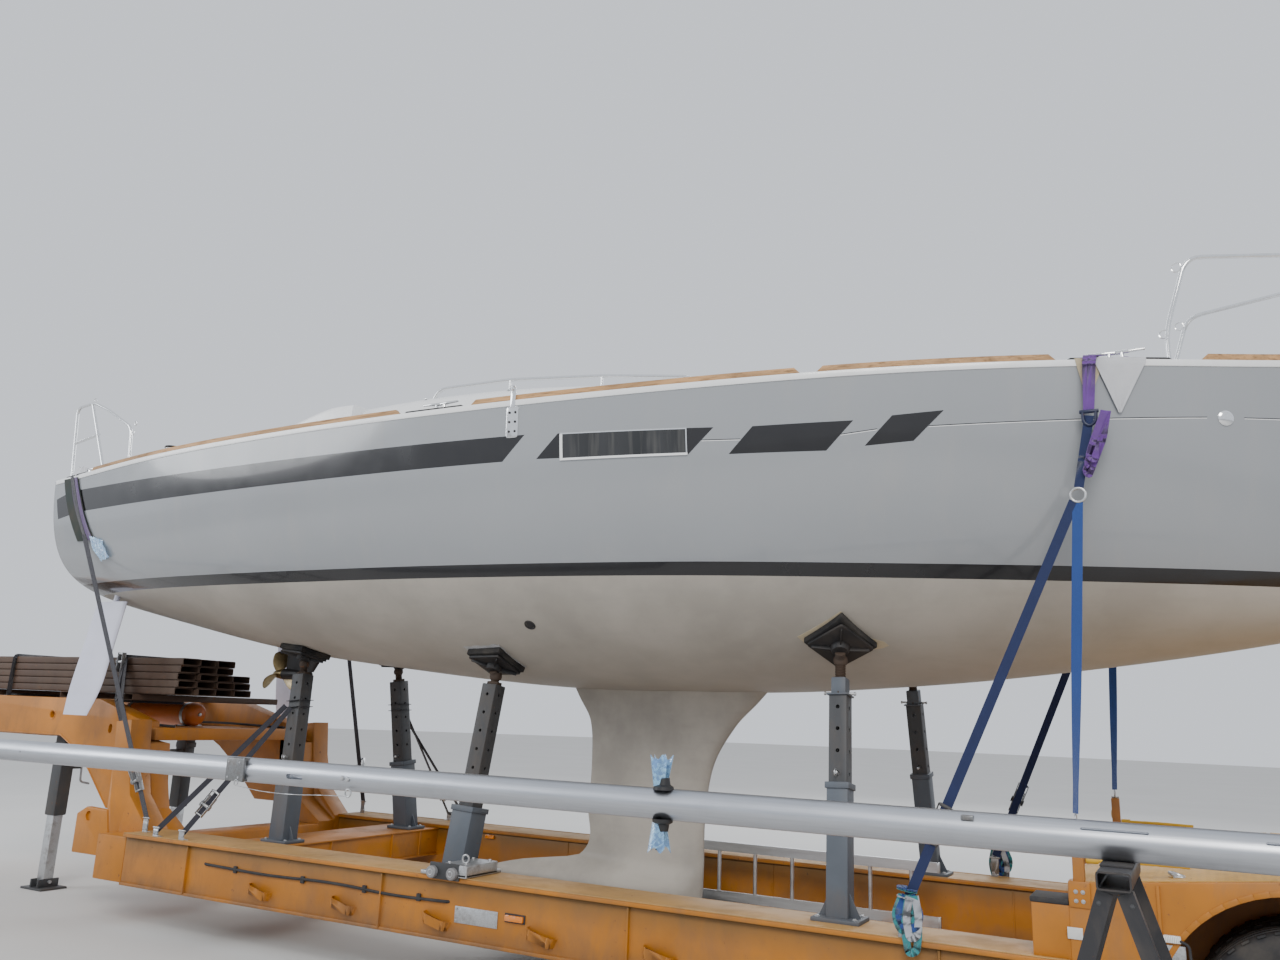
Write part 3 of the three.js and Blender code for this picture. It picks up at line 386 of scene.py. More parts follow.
def cut_out(target, cutters):
    """Takes the cutters' solids out of a finished piece."""
    mesh = bpy.data.meshes.new("cutters")
    bmesh.ops.recalc_face_normals(cutters, faces=cutters.faces)
    bmesh.ops.translate(cutters, verts=cutters.verts, vec=-ORIGIN)
    cutters.to_mesh(mesh)
    cutters.free()
    tool = bpy.data.objects.new("cutters", mesh)
    bpy.context.scene.collection.objects.link(tool)
    change = target.modifiers.new("openings", "BOOLEAN")
    change.operation = "DIFFERENCE"
    change.solver = "EXACT"
    change.use_self = True
    change.object = tool
    bpy.context.view_layer.update()
    graph = bpy.context.evaluated_depsgraph_get()
    result = bpy.data.meshes.new_from_object(target.evaluated_get(graph))
    target.modifiers.remove(change)
    old = target.data
    target.data = result
    bpy.data.meshes.remove(old)
    bpy.data.objects.remove(tool)


# Finishes
class Finish:
    """A material under construction, with short words for the nodes that it is made of."""

    def __init__(self, name, roughness=0.5, metallic=0.0, **sockets):
        self.made = bpy.data.materials.new(name)
        self.made.use_nodes = True
        self.tree = self.made.node_tree
        self.shader = self.tree.nodes["Principled BSDF"]
        self.shader.inputs["Roughness"].default_value = roughness
        self.shader.inputs["Metallic"].default_value = metallic
        for socket, value in sockets.items():
            self.shader.inputs[socket.replace("_", " ")].default_value = value
        self._place = None

    def node(self, kind, values=None, **settings):
        made = self.tree.nodes.new(kind)
        for key, value in settings.items():
            setattr(made, key, value)
        for key, value in (values or {}).items():
            self.put(made.inputs[key], value)
        return made

    def put(self, socket, value):
        if isinstance(value, bpy.types.NodeSocket):
            self.tree.links.new(value, socket)
        elif hasattr(value, "__len__") and socket.type == "RGBA" and len(value) == 3:
            socket.default_value = (*value, 1)
        else:
            socket.default_value = value

    @property
    def place(self):
        """Object coordinates, moved back to the yacht's own frame."""
        if self._place is None:
            where = self.node("ShaderNodeTexCoord").outputs["Object"]
            self._place = self.node("ShaderNodeVectorMath", {0: where, 1: ORIGIN}, operation="ADD").outputs[0]
        return self._place

    def stretched(self, scale):
        return self.node("ShaderNodeMapping", {"Vector": self.place, "Scale": scale}).outputs[0]

    def noise(self, scale, detail=4, rough=0.5, stretch=(1, 1, 1), warp=0.0):
        return self.node("ShaderNodeTexNoise", {"Vector": self.stretched(stretch), "Scale": scale,
                                                "Detail": detail, "Roughness": rough,
                                                "Distortion": warp}).outputs["Fac"]

    def cells(self, scale, stretch=(1, 1, 1), feature="F1"):
        return self.node("ShaderNodeTexVoronoi", {"Vector": self.stretched(stretch), "Scale": scale},
                         feature=feature).outputs["Distance"]

    def math(self, operation, a, b=0.0, c=0.0):
        return self.node("ShaderNodeMath", {0: a, 1: b, 2: c}, operation=operation).outputs[0]

    def times(self, a, b):
        return self.math("MULTIPLY", a, b)

    def spread(self, value, low, high, to_low=0.0, to_high=1.0):
        """A value between low and high, brought smoothly to another range."""
        return self.node("ShaderNodeMapRange", {"Value": value, "From Min": low, "From Max": high,
                                                "To Min": to_low, "To Max": to_high}).outputs[0]

    def mix(self, share, a, b, way="MIX"):
        made = self.node("ShaderNodeMix", data_type="RGBA", blend_type=way)
        self.put(made.inputs[0], share)
        self.put(made.inputs[6], a)
        self.put(made.inputs[7], b)
        return made.outputs[2]

    def axis(self, name):
        return self.node("ShaderNodeSeparateXYZ", {0: self.place}).outputs["XYZ".index(name)]

    def colour(self, value):
        self.put(self.shader.inputs["Base Color"], value)

    def rough(self, value):
        self.put(self.shader.inputs["Roughness"], value)

    def bump(self, height, distance=0.001, strength=1.0):
        made = self.node("ShaderNodeBump", {"Height": height, "Distance": distance, "Strength": strength})
        self.put(self.shader.inputs["Normal"], made.outputs[0])


def shade(colour, factor):
    return tuple(min(max(channel * factor, 0), 1) for channel in colour)


def gelcoat(name, colour, roughness=0.16, dust=0.0):
    made = Finish(name, roughness, Coat_Weight=0.35, Coat_Roughness=0.06, Specular_IOR_Level=0.5)
    drift = made.noise(0.7, 3)
    runs = made.spread(made.noise(2.2, 5, 0.6, (3, 3, 0.35)), 0.52, 0.8)
    tone = made.mix(made.spread(drift, 0.35, 0.65), shade(colour, 0.965), shade(colour, 1.03))
    tone = made.mix(made.times(runs, 0.16 + dust), tone, (0.40, 0.37, 0.33))
    specks = made.spread(made.noise(160, 2), 0.72, 0.80)
    made.colour(made.mix(made.times(specks, 0.12), tone, (0.35, 0.33, 0.30)))
    made.rough(made.spread(made.noise(5, 4), 0.3, 0.8, roughness * 0.75, roughness * 1.6))
    made.bump(made.noise(3.5, 2), 0.0012, 0.25)
    return made


def primer(name, colour, roughness=0.6, patch=0.12):
    """Matt primer put on with a roller: patchy, with fine stipple and scuffs."""
    made = Finish(name, roughness, Specular_IOR_Level=0.35)
    patches = made.spread(made.noise(1.6, 5, 0.6), 0.38, 0.62)
    tone = made.mix(patches, shade(colour, 1 - patch), shade(colour, 1 + patch * 0.6))
    strokes = made.spread(made.noise(4, 6, 0.65, (1, 1, 5)), 0.5, 0.75)
    tone = made.mix(made.times(strokes, 0.25), tone, shade(colour, 0.78))
    scuffs = made.spread(made.noise(14, 6, 0.7, warp=0.6), 0.66, 0.78)
    made.colour(made.mix(made.times(scuffs, 0.4), tone, (0.28, 0.26, 0.24)))
    made.rough(made.spread(patches, 0, 1, roughness * 0.85, roughness * 1.1))
    made.bump(made.math("ADD", made.noise(260, 2), made.times(made.noise(9, 3), 1.5)), 0.0006, 0.5)
    return made


def metal(name, colour, roughness=0.2, brushed=(1, 1, 1), grime=0.1):
    made = Finish(name, roughness, 1.0)
    lines = made.noise(90, 3, 0.6, brushed)
    stains = made.spread(made.noise(6, 5, 0.6), 0.55, 0.75)
    tone = made.mix(made.spread(lines, 0.3, 0.7), shade(colour, 0.93), shade(colour, 1.05))
    made.colour(made.mix(made.times(stains, grime), tone, shade(colour, 0.35)))
    made.rough(made.spread(made.noise(24, 4, 0.6, brushed), 0.3, 0.7, roughness * 0.75, roughness * 1.35))
    made.bump(lines, 0.0002, 0.3)
    return made


def machine_paint(name, colour, roughness=0.42, rust=0.5, dust=0.35):
    """Paint on steel, faded and dusty, with chips down to rust."""
    made = Finish(name, roughness, 0.0, Specular_IOR_Level=0.45)
    fade = made.spread(made.noise(1.3, 5, 0.6), 0.35, 0.65)
    tone = made.mix(fade, shade(colour, 0.72), shade(colour, 1.08))
    grime = made.spread(made.noise(3.2, 7, 0.7, (1, 1, 0.5), 0.4), 0.47, 0.72)
    tone = made.mix(made.times(grime, dust), tone, (0.13, 0.10, 0.075))
    chips = made.spread(made.noise(21, 8, 0.75, warp=0.3), 0.675 - rust * 0.06, 0.70 - rust * 0.06)
    tone = made.mix(chips, tone, made.mix(made.spread(made.noise(60, 4), 0.4, 0.6), (0.10, 0.035, 0.015),
                                          (0.20, 0.085, 0.035)))
    made.colour(tone)
    made.rough(made.math("ADD", made.spread(grime, 0, 1, roughness, roughness + 0.25),
                         made.times(chips, 0.2)))
    made.bump(made.math("SUBTRACT", made.times(made.noise(120, 2), 0.4), chips), 0.0007, 0.5)
    return made


def rubber(name, colour=(0.022, 0.022, 0.024), roughness=0.75):
    made = Finish(name, roughness, Specular_IOR_Level=0.3)
    dust = made.spread(made.noise(7, 6, 0.7), 0.42, 0.7)
    made.colour(made.mix(made.times(dust, 0.55), colour, (0.10, 0.088, 0.075)))
    made.rough(made.spread(dust, 0, 1, roughness * 0.85, 0.95))
    made.bump(made.noise(180, 3), 0.0006, 0.5)
    return made


def weave(name, colour, pitch=0.0022, roughness=0.8, sheen=0.3, fade=0.35):
    """Woven webbing or cloth: ribs both ways, faded in patches."""
    made = Finish(name, roughness, Specular_IOR_Level=0.3, Sheen_Weight=sheen)
    ribs = made.math("SINE", made.times(made.math("ADD", made.axis("Z"), made.axis("Y")), math.tau / pitch))
    rows = made.math("SINE", made.times(made.axis("X"), math.tau / (pitch * 1.6)))
    cloth = made.times(ribs, rows)
    patches = made.spread(made.noise(9, 5, 0.6), 0.4, 0.7)
    tone = made.mix(made.spread(cloth, -1, 1), shade(colour, 0.72), shade(colour, 1.15))
    made.colour(made.mix(made.times(patches, fade), tone, shade(colour, 1.5)))
    made.bump(cloth, 0.0005, 0.7)
    return made


def timber(name, colour, along="X"):
    """Oiled teak: long grain, darker pores and a seam of weathering."""
    made = Finish(name, 0.55, Specular_IOR_Level=0.35)
    stretch = (0.06, 1, 1) if along == "X" else (1, 0.06, 1)
    grain = made.noise(70, 8, 0.6, stretch, 0.3)
    bands = made.spread(made.noise(12, 4, 0.5, stretch, 0.8), 0.35, 0.65)
    tone = made.mix(bands, shade(colour, 0.74), shade(colour, 1.22))
    made.colour(made.mix(made.spread(grain, 0.5, 0.72), tone, shade(colour, 0.42)))
    made.rough(made.spread(grain, 0.3, 0.7, 0.45, 0.7))
    made.bump(grain, 0.0006, 0.5)
    return made


def dark_glass(name, colour=(0.012, 0.014, 0.017), roughness=0.06):
    made = Finish(name, roughness, Coat_Weight=0.4, Coat_Roughness=0.04, Specular_IOR_Level=0.55)
    film = made.spread(made.noise(5, 5, 0.6, (1, 1, 0.6)), 0.45, 0.75)
    made.colour(made.mix(made.times(film, 0.35), colour, shade(colour, 3.2)))
    made.rough(made.spread(film, 0, 1, roughness, roughness + 0.14))
    return made


def curtained_glass(name):
    """Smoked window glass with a drawn curtain behind it, whose folds are painted light and shade over the
    curtain's dark colour.
    """
    made = Finish(name, 0.05, Coat_Weight=0.5, Coat_Roughness=0.03, Specular_IOR_Level=0.5)
    # painted shade in the curtain's fold troughs and painted light on their crests
    wide = made.spread(made.noise(5.5, 2, 0.4, (1, 0.2, 0.10)), 0.40, 0.62)
    fine = made.spread(made.noise(30, 2, 0.5, (1, 0.2, 0.08)), 0.50, 0.72)
    painted_fold_shading = made.mix(wide, (0.006, 0.007, 0.008), (0.022, 0.023, 0.025))
    made.colour(made.mix(made.times(fine, 0.7), painted_fold_shading, (0.065, 0.064, 0.060)))
    made.rough(made.spread(made.noise(4, 4), 0.4, 0.7, 0.04, 0.12))
    return made


def non_slip(name, colour):
    """Moulded grip: rows of small raised diamonds in the gelcoat."""
    made = Finish(name, 0.55, Specular_IOR_Level=0.35)
    studs = made.spread(made.cells(95, (1, 1, 0.01)), 0.18, 0.42, 1, 0)
    wear = made.spread(made.noise(2.4, 5, 0.6), 0.42, 0.68)
    tone = made.mix(studs, shade(colour, 0.82), colour)
    made.colour(made.mix(made.times(wear, 0.35), tone, (0.36, 0.34, 0.31)))
    made.bump(studs, 0.0012, 0.7)
    return made


def chequered(name, colour):
    """Painted steel plate with rows of raised bars, each turned against the next."""
    made = machine_paint(name, colour, 0.60, 0.55, 0.35)
    pitch = 0.036
    across = [made.math("DIVIDE", made.axis(axis), pitch) for axis in "XY"]
    cells = [made.math("FLOOR", value) for value in across]
    a, b = (made.math("SUBTRACT", made.math("FRACT", value), 0.5) for value in across)
    turn = made.math("MODULO", made.math("ADD", made.math("ADD", *cells), 1000), 2)
    sign = made.math("SUBTRACT", made.times(turn, 2), 1)
    over = made.times(b, sign)
    long_way = made.math("ABSOLUTE", made.math("ADD", a, over))
    short_way = made.math("ABSOLUTE", made.math("SUBTRACT", a, over))
    bar = made.times(made.spread(short_way, 0.10, 0.18, 1, 0), made.spread(long_way, 0.42, 0.56, 1, 0))
    painted = made.shader.inputs["Base Color"].links[0].from_socket
    # the raised bars are lighter: painted highlight on their tops
    made.colour(made.mix(made.times(bar, 0.45), painted, shade(colour, 1.5)))
    made.bump(bar, 0.002, 0.9)
    return made


def beam_paint(name, colour):
    """The trailer's paint, darker and greener under the flange where a shadow is painted in, and dirty
    towards the road.
    """
    made = machine_paint(name, colour, 0.42, 0.45, 0.45)
    painted = made.shader.inputs["Base Color"].links[0].from_socket
    height = made.axis("Z")
    # painted shadow: the web is darker and greener just under the flange
    under = made.times(made.spread(height, 0.50, 0.635), made.spread(height, 0.650, 0.644, 0, 1))
    tone = made.mix(made.times(under, 0.70), painted, (0.115, 0.075, 0.022))
    splash = made.times(made.spread(height, 0.42, 0.30),
                        made.spread(made.noise(3, 6, 0.7, (1, 1, 0.4)), 0.4, 0.6))
    made.colour(made.mix(made.times(splash, 0.6), tone, (0.10, 0.078, 0.055)))
    return made


def galvanised(name, colour=(0.46, 0.47, 0.48)):
    """Zinc coated steel with its spangle, dulled and stained."""
    made = Finish(name, 0.45, 0.85)
    spangle = made.cells(140)
    tone = made.mix(made.spread(spangle, 0.1, 0.6), shade(colour, 0.85), shade(colour, 1.15))
    stains = made.spread(made.noise(14, 6, 0.65), 0.5, 0.72)
    made.colour(made.mix(made.times(stains, 0.45), tone, (0.16, 0.12, 0.09)))
    made.rough(made.spread(stains, 0, 1, 0.38, 0.7))
    made.bump(made.math("ADD", spangle, made.noise(90, 3)), 0.0003, 0.35)
    return made


def lens(name, colour):
    """A moulded lamp lens, ribbed behind its smooth face."""
    made = Finish(name, 0.15, Coat_Weight=0.6, Coat_Roughness=0.05, Specular_IOR_Level=0.55)
    ribs = made.math("SINE", made.times(made.math("ADD", made.axis("Y"), made.axis("X")), math.tau / 0.007))
    dust = made.spread(made.noise(30, 5, 0.6), 0.5, 0.75)
    tone = made.mix(made.spread(ribs, -1, 1), shade(colour, 0.65), shade(colour, 1.2))
    made.colour(made.mix(made.times(dust, 0.35), tone, (0.35, 0.31, 0.26)))
    made.rough(made.spread(dust, 0, 1, 0.12, 0.4))
    made.bump(ribs, 0.0004, 0.4)
    return made


def film(name, colour):
    """Thin wrapping film, creased and half clear."""
    made = Finish(name, 0.22, Coat_Weight=0.3, Transmission_Weight=0.35, Specular_IOR_Level=0.5)
    creases = made.spread(made.noise(38, 6, 0.7, warp=1.2), 0.42, 0.62)
    made.colour(made.mix(creases, colour, shade(colour, 2.2)))
    made.rough(made.spread(creases, 0, 1, 0.15, 0.40))
    made.bump(creases, 0.0015, 0.6)
    return made


def felt(name, colour):
    """Torn grey felt: soft, fluffy and stained."""
    made = Finish(name, 0.95, Specular_IOR_Level=0.15, Sheen_Weight=0.5)
    fluff = made.noise(150, 6, 0.8)
    stains = made.spread(made.noise(11, 5, 0.6), 0.42, 0.68)
    tone = made.mix(made.spread(fluff, 0.35, 0.65), shade(colour, 0.7), shade(colour, 1.15))
    made.colour(made.mix(made.times(stains, 0.5), tone, shade(colour, 0.45)))
    made.bump(fluff, 0.0012, 0.8)
    return made


def recipe(slot, maker, *words, **more):
    """A row of the table: the record's slot, which nothing uses, the function that makes the finish, and what
    it is told.
    """
    return slot, maker, words, more


# The first word after the maker is a colour, the name of a user's colour, or such a name with a factor.
FINISHES = {
    "topside_grey": recipe("hull_gelcoat", gelcoat, "topsides"),
    # the bands' black, also used for painted shade in the cove line's groove
    "vinyl_band": recipe("hull_gelcoat", gelcoat, "bands", 0.2, -0.15),
    "boot_band": recipe("hull_gelcoat", gelcoat, "bands", 0.3, -0.15),
    "bottom_primer": recipe("keel_paint", primer, "bottom"),
    "white_gelcoat": recipe("deck_white", gelcoat, "deck", 0.25),
    # white trim, also used for painted light on the window frame and the cove line
    "white_trim": recipe("deck_white", gelcoat, "deck", 0.3),
    "keel_primer": recipe("keel_paint", primer, ("bottom", 0.95), 0.62, 0.2),
    "rudder_primer": recipe("rudder_paint", primer, "rudders", 0.45, 0.05),
    "drive_black": recipe("drive_paint", machine_paint, (0.02, 0.02, 0.022), 0.4, 0.1, 0.2),
    "propeller_bronze": recipe("bronze", metal, (0.30, 0.23, 0.12), 0.38, grime=0.6),
    "bright_steel": recipe("stainless", metal, (0.80, 0.81, 0.82), 0.12),
    "winch_chrome": recipe("chrome", metal, (0.78, 0.79, 0.80), 0.08),
    "teak_wood": recipe("teak", timber, "teak"),
    "smoked_glass": recipe("smoked_acrylic", dark_glass),
    "spar_silver": recipe("anodised_spar", metal, "mast", 0.36, (0.04, 1, 1), 0.12),
    "trestle_black": recipe("black_paint", machine_paint, (0.022, 0.022, 0.025), 0.45, 0.35, 0.45),
    "trailer_paint": recipe("trailer_yellow", machine_paint, "trailer", 0.42, 0.45, 0.5),
    "tank_orange": recipe("trailer_yellow", machine_paint, (0.62, 0.16, 0.02), 0.35, 0.2, 0.3),
    "post_steel": recipe("dark_steel", machine_paint, (0.048, 0.050, 0.054), 0.5, 0.45, 0.45),
    "tyre_rubber": recipe("tyre", rubber),
    "rim_steel": recipe("dark_steel", machine_paint, (0.30, 0.30, 0.31), 0.45, 0.6, 0.7),
    "blue_strap": recipe("blue_webbing", weave, "straps", fade=0.15),
    "dark_strap": recipe("dark_webbing", weave, (0.025, 0.025, 0.035)),
    "ladder_metal": recipe("ladder_aluminium", metal, (0.62, 0.63, 0.64), 0.42, (0.1, 1, 1), 0.3),
    "pad_rubber": recipe("tyre", rubber, (0.03, 0.03, 0.033), 0.85),
    "curtained_glass": recipe("smoked_acrylic", curtained_glass),
    "deck_grip": recipe("deck_white", non_slip, ("deck", 0.80)),
    "beam_paint": recipe("trailer_yellow", beam_paint, "trailer"),
    # a lighter, yellower copy of the trailer's paint on the beams' top: painted light; the webs keep the
    # darker paint
    "beam_top": recipe("trailer_yellow", machine_paint, (0.46, 0.26, 0.085), 0.55, 0.25, 0.35),
    # a lighter, yellower copy of the trailer's paint on the deck's top: painted light
    "chequered": recipe("trailer_yellow", chequered, (0.50, 0.275, 0.055)),
    "hook_yellow": recipe("trailer_yellow", machine_paint, (0.72, 0.42, 0.02), 0.35, 0.2, 0.2),
    "amber_lens": recipe("trailer_yellow", lens, (0.80, 0.23, 0.010)),
    "red_lens": recipe("trailer_yellow", lens, (0.45, 0.008, 0.010)),
    "white_lens": recipe("deck_white", lens, (0.70, 0.70, 0.68)),
    "bare_white": recipe("deck_white", machine_paint, (0.72, 0.72, 0.70), 0.35, 0.05, 0.3),
    "white_cloth": recipe("deck_white", weave, (0.62, 0.63, 0.66), 0.0016, 0.9, 0.4, 0.15),
    "cream_cloth": recipe("deck_white", weave, (0.50, 0.42, 0.28), 0.0016, 0.9, 0.4, 0.2),
    "felt_grey": recipe("dark_webbing", felt, (0.42, 0.42, 0.42)),
    "galvanised": recipe("dark_steel", galvanised),
    "sleeve_steel": recipe("dark_steel", machine_paint, (0.085, 0.100, 0.122), 0.5, 0.4, 0.45),
    "rusty_steel": recipe("dark_steel", machine_paint, (0.055, 0.034, 0.022), 0.7, 0.9, 0.5),
    "navy_paint": recipe("dark_steel", machine_paint, (0.012, 0.018, 0.055), 0.35, 0.3, 0.2),
    "navy_strap": recipe("dark_webbing", weave, (0.012, 0.022, 0.080), fade=0.2),
    "purple_strap": recipe("dark_webbing", weave, (0.13, 0.045, 0.26)),
    "purple_cloth": recipe("dark_webbing", weave, (0.075, 0.035, 0.14), 0.003, 0.9, 0.4, 0.25),
    "mat_green": recipe("dark_webbing", rubber, (0.016, 0.026, 0.022), 0.7),
    "grey_strap": recipe("blue_webbing", weave, (0.40, 0.42, 0.46)),
    "teal_strap": recipe("blue_webbing", weave, (0.03, 0.22, 0.24)),
    "blue_film": recipe("blue_webbing", film, (0.16, 0.32, 0.62)),
    "pad_black": recipe("tyre", rubber, (0.014, 0.014, 0.015), 0.9),
    "pad_steel": recipe("dark_steel", machine_paint, (0.016, 0.016, 0.018), 0.55, 0.25, 0.3),
    "brown_steel": recipe("dark_steel", machine_paint, (0.070, 0.040, 0.026), 0.65, 0.85, 0.5),
    "dull_zinc": recipe("dark_steel", galvanised, (0.20, 0.205, 0.21)),
}
_made = {}


def colour_of(word):
    """A colour as three shares, from a word of the table."""
    if isinstance(word, str):
        return getattr(bpy.context.scene.yacht_colours, word)
    name, *factor = word
    return shade(colour_of(name), *factor) if isinstance(name, str) else word


def finish_named(name):
    """A finish by name, made the first time that it is asked for."""
    if name not in _made:
        _, maker, words, more = FINISHES[name]
        colours = [colour_of(word) for word in words[:1]]
        _made[name] = maker(name, *colours, *words[1:], **more).made
    return _made[name]


# What a user would change
def colour_prop(name, default, words):
    return bpy.props.FloatVectorProperty(name=name, description=words, default=default, subtype="COLOR",
                                         min=0, max=1)


class YachtColours(bpy.types.PropertyGroup):
    topsides: colour_prop("Topsides", (0.285, 0.300, 0.318), "Gelcoat of the hull above the waterline")
    bands: colour_prop("Bands", (0.010, 0.010, 0.012), "Bands along the topsides and at the waterline")
    bottom: colour_prop("Bottom", (0.40, 0.372, 0.330), "Primer on the bottom and keel")
    rudders: colour_prop("Rudders", (0.60, 0.61, 0.72), "Primer on the rudders")
    deck: colour_prop("Deck", (0.80, 0.81, 0.82), "Gelcoat of the deck and deck house")
    teak: colour_prop("Teak", (0.42, 0.24, 0.11), "Toe rails, tiller and benches")
    mast: colour_prop("Mast", (0.50, 0.52, 0.56), "Anodised spar")
    trailer: colour_prop("Trailer", (0.45, 0.165, 0.014), "Machine paint of the trailer")
    straps: colour_prop("Straps", (0.018, 0.060, 0.235), "Webbing of the lashings")


class StageSettings(bpy.types.PropertyGroup):
    camera_height: bpy.props.FloatProperty(name="Camera height",
                                           description="Height of the lens over the ground", default=1.680,
                                           unit="LENGTH")
    lens: bpy.props.FloatProperty(name="Lens", description="Focal length of the camera in millimetres",
                                  default=28.506)
    floor_radius: bpy.props.FloatProperty(name="Floor radius", description="Radius of the plain floor",
                                          default=70.0, unit="LENGTH")
    floor_colour: colour_prop("Floor", (0.62, 0.61, 0.59), "Colour of the plain floor")
    light: bpy.props.FloatProperty(name="Light", description="Strength of the light from all round",
                                   default=1.0)


# Stage
CAMERA = {"x": 8.589, "y": -6.588, "yaw": 28.736, "pitch": 13.083, "roll": 2.148}
SENSOR_WIDTH = 36.0


class YACHT_OT_stage(bpy.types.Operator):
    """Sets up the camera, the floor and the soft light"""
    bl_idname = "yacht.stage"
    bl_label = "Stage"

    def execute(self, context):
        settings = context.scene.yacht_stage
        self.camera(context, settings)
        self.floor(context, settings)
        self.lights(context, settings)
        return {"FINISHED"}

    def camera(self, context, settings):
        yaw, pitch, roll = (math.radians(CAMERA[key]) for key in ("yaw", "pitch", "roll"))
        ahead = Vector((-math.sin(yaw) * math.cos(pitch), math.cos(yaw) * math.cos(pitch), math.sin(pitch)))
        level = Vector((math.cos(yaw), math.sin(yaw), 0))
        above = level.cross(ahead)
        right = level * math.cos(roll) + above * math.sin(roll)
        top = above * math.cos(roll) - level * math.sin(roll)
        data = bpy.data.cameras.new("camera")
        data.lens = settings.lens
        data.sensor_width = SENSOR_WIDTH
        data.clip_end = 300
        camera = bpy.data.objects.new("camera", data)
        context.scene.collection.objects.link(camera)
        turn = Matrix((right, top, -ahead)).transposed().to_4x4()
        place = Vector((CAMERA["x"], CAMERA["y"], settings.camera_height)) - ORIGIN
        camera.matrix_world = Matrix.Translation(place) @ turn
        context.scene.camera = camera

    def floor(self, context, settings):
        bm = bmesh.new()
        bmesh.ops.create_circle(bm, cap_ends=True, radius=settings.floor_radius, segments=96)
        mesh = bpy.data.meshes.new("floor")
        bm.to_mesh(mesh)
        bm.free()
        floor = bpy.data.objects.new("floor", mesh)
        context.scene.collection.objects.link(floor)
        concrete = Finish("floor", 0.8, Specular_IOR_Level=0.2)
        drift = concrete.noise(0.5, 4)
        concrete.colour(concrete.mix(concrete.spread(drift, 0.3, 0.7), shade(settings.floor_colour, 0.97),
                                     shade(settings.floor_colour, 1.02)))
        mesh.materials.append(concrete.made)

    def lights(self, context, settings):
        world = bpy.data.worlds.new("sky")
        world.use_nodes = True
        back = world.node_tree.nodes["Background"]
        back.inputs["Color"].default_value = (0.86, 0.90, 0.97, 1)
        back.inputs["Strength"].default_value = settings.light
        context.scene.world = world
        # name, where it stands, what it points at, size, power, colour
        lamps = (
            ("key", (12, -16, 14), (4, 0, 2), 9, 2600, (1.0, 0.97, 0.92)),
            ("side", (-9, -10, 8), (2, 0, 2), 8, 900, (0.94, 0.97, 1.0)),
            ("rim", (4, 14, 10), (5, 0, 2.5), 10, 900, (0.95, 0.98, 1.0)),
        )
        for name, stand, aim, size, power, colour in lamps:
            data = bpy.data.lights.new(name, "AREA")
            data.shape = "DISK"
            data.size = size
            data.energy = power
            data.color = colour
            lamp = bpy.data.objects.new(name, data)
            context.scene.collection.objects.link(lamp)
            lamp.location = Vector(stand) - ORIGIN
            lamp.rotation_euler = (Vector(aim) - Vector(stand)).to_track_quat("-Z", "Y").to_euler()


# Bands on the hull's shell
# name, lower edge at both ends and upper edge at both ends, as (x, z)
BANDS = (
    ("tail", (0.08, 3.140), (0.42, 3.175), (0.05, 3.312), (0.30, 3.360)),
    ("long", (0.42, 3.175), (4.93, 3.170), (0.30, 3.360), (5.09, 3.325)),
    ("window", (5.17, 3.170), (6.14, 3.140), (5.32, 3.315), (6.29, 3.285)),
    ("third", (6.37, 3.130), (6.90, 3.130), (6.51, 3.280), (7.05, 3.290)),
    ("fourth", (7.10, 3.150), (7.35, 3.170), (7.25, 3.310), (7.51, 3.330)),
)


def waterline(x):
    return 2.394 - 0.011 * (x - 5)


BOOT = (0.098, 0.172)                 # lower and upper edge of the dark band over the waterline
PAINT_LINE = 0.098                    # top of the primer over the waterline
GREY, DARK, PRIMER, WHITE = range(4)  # the shell's finishes, in their order
BAND_HEIGHTS, BOOT_HEIGHTS = (3.05, 3.45), (2.2, 2.8)     # between which the skin is cut for each


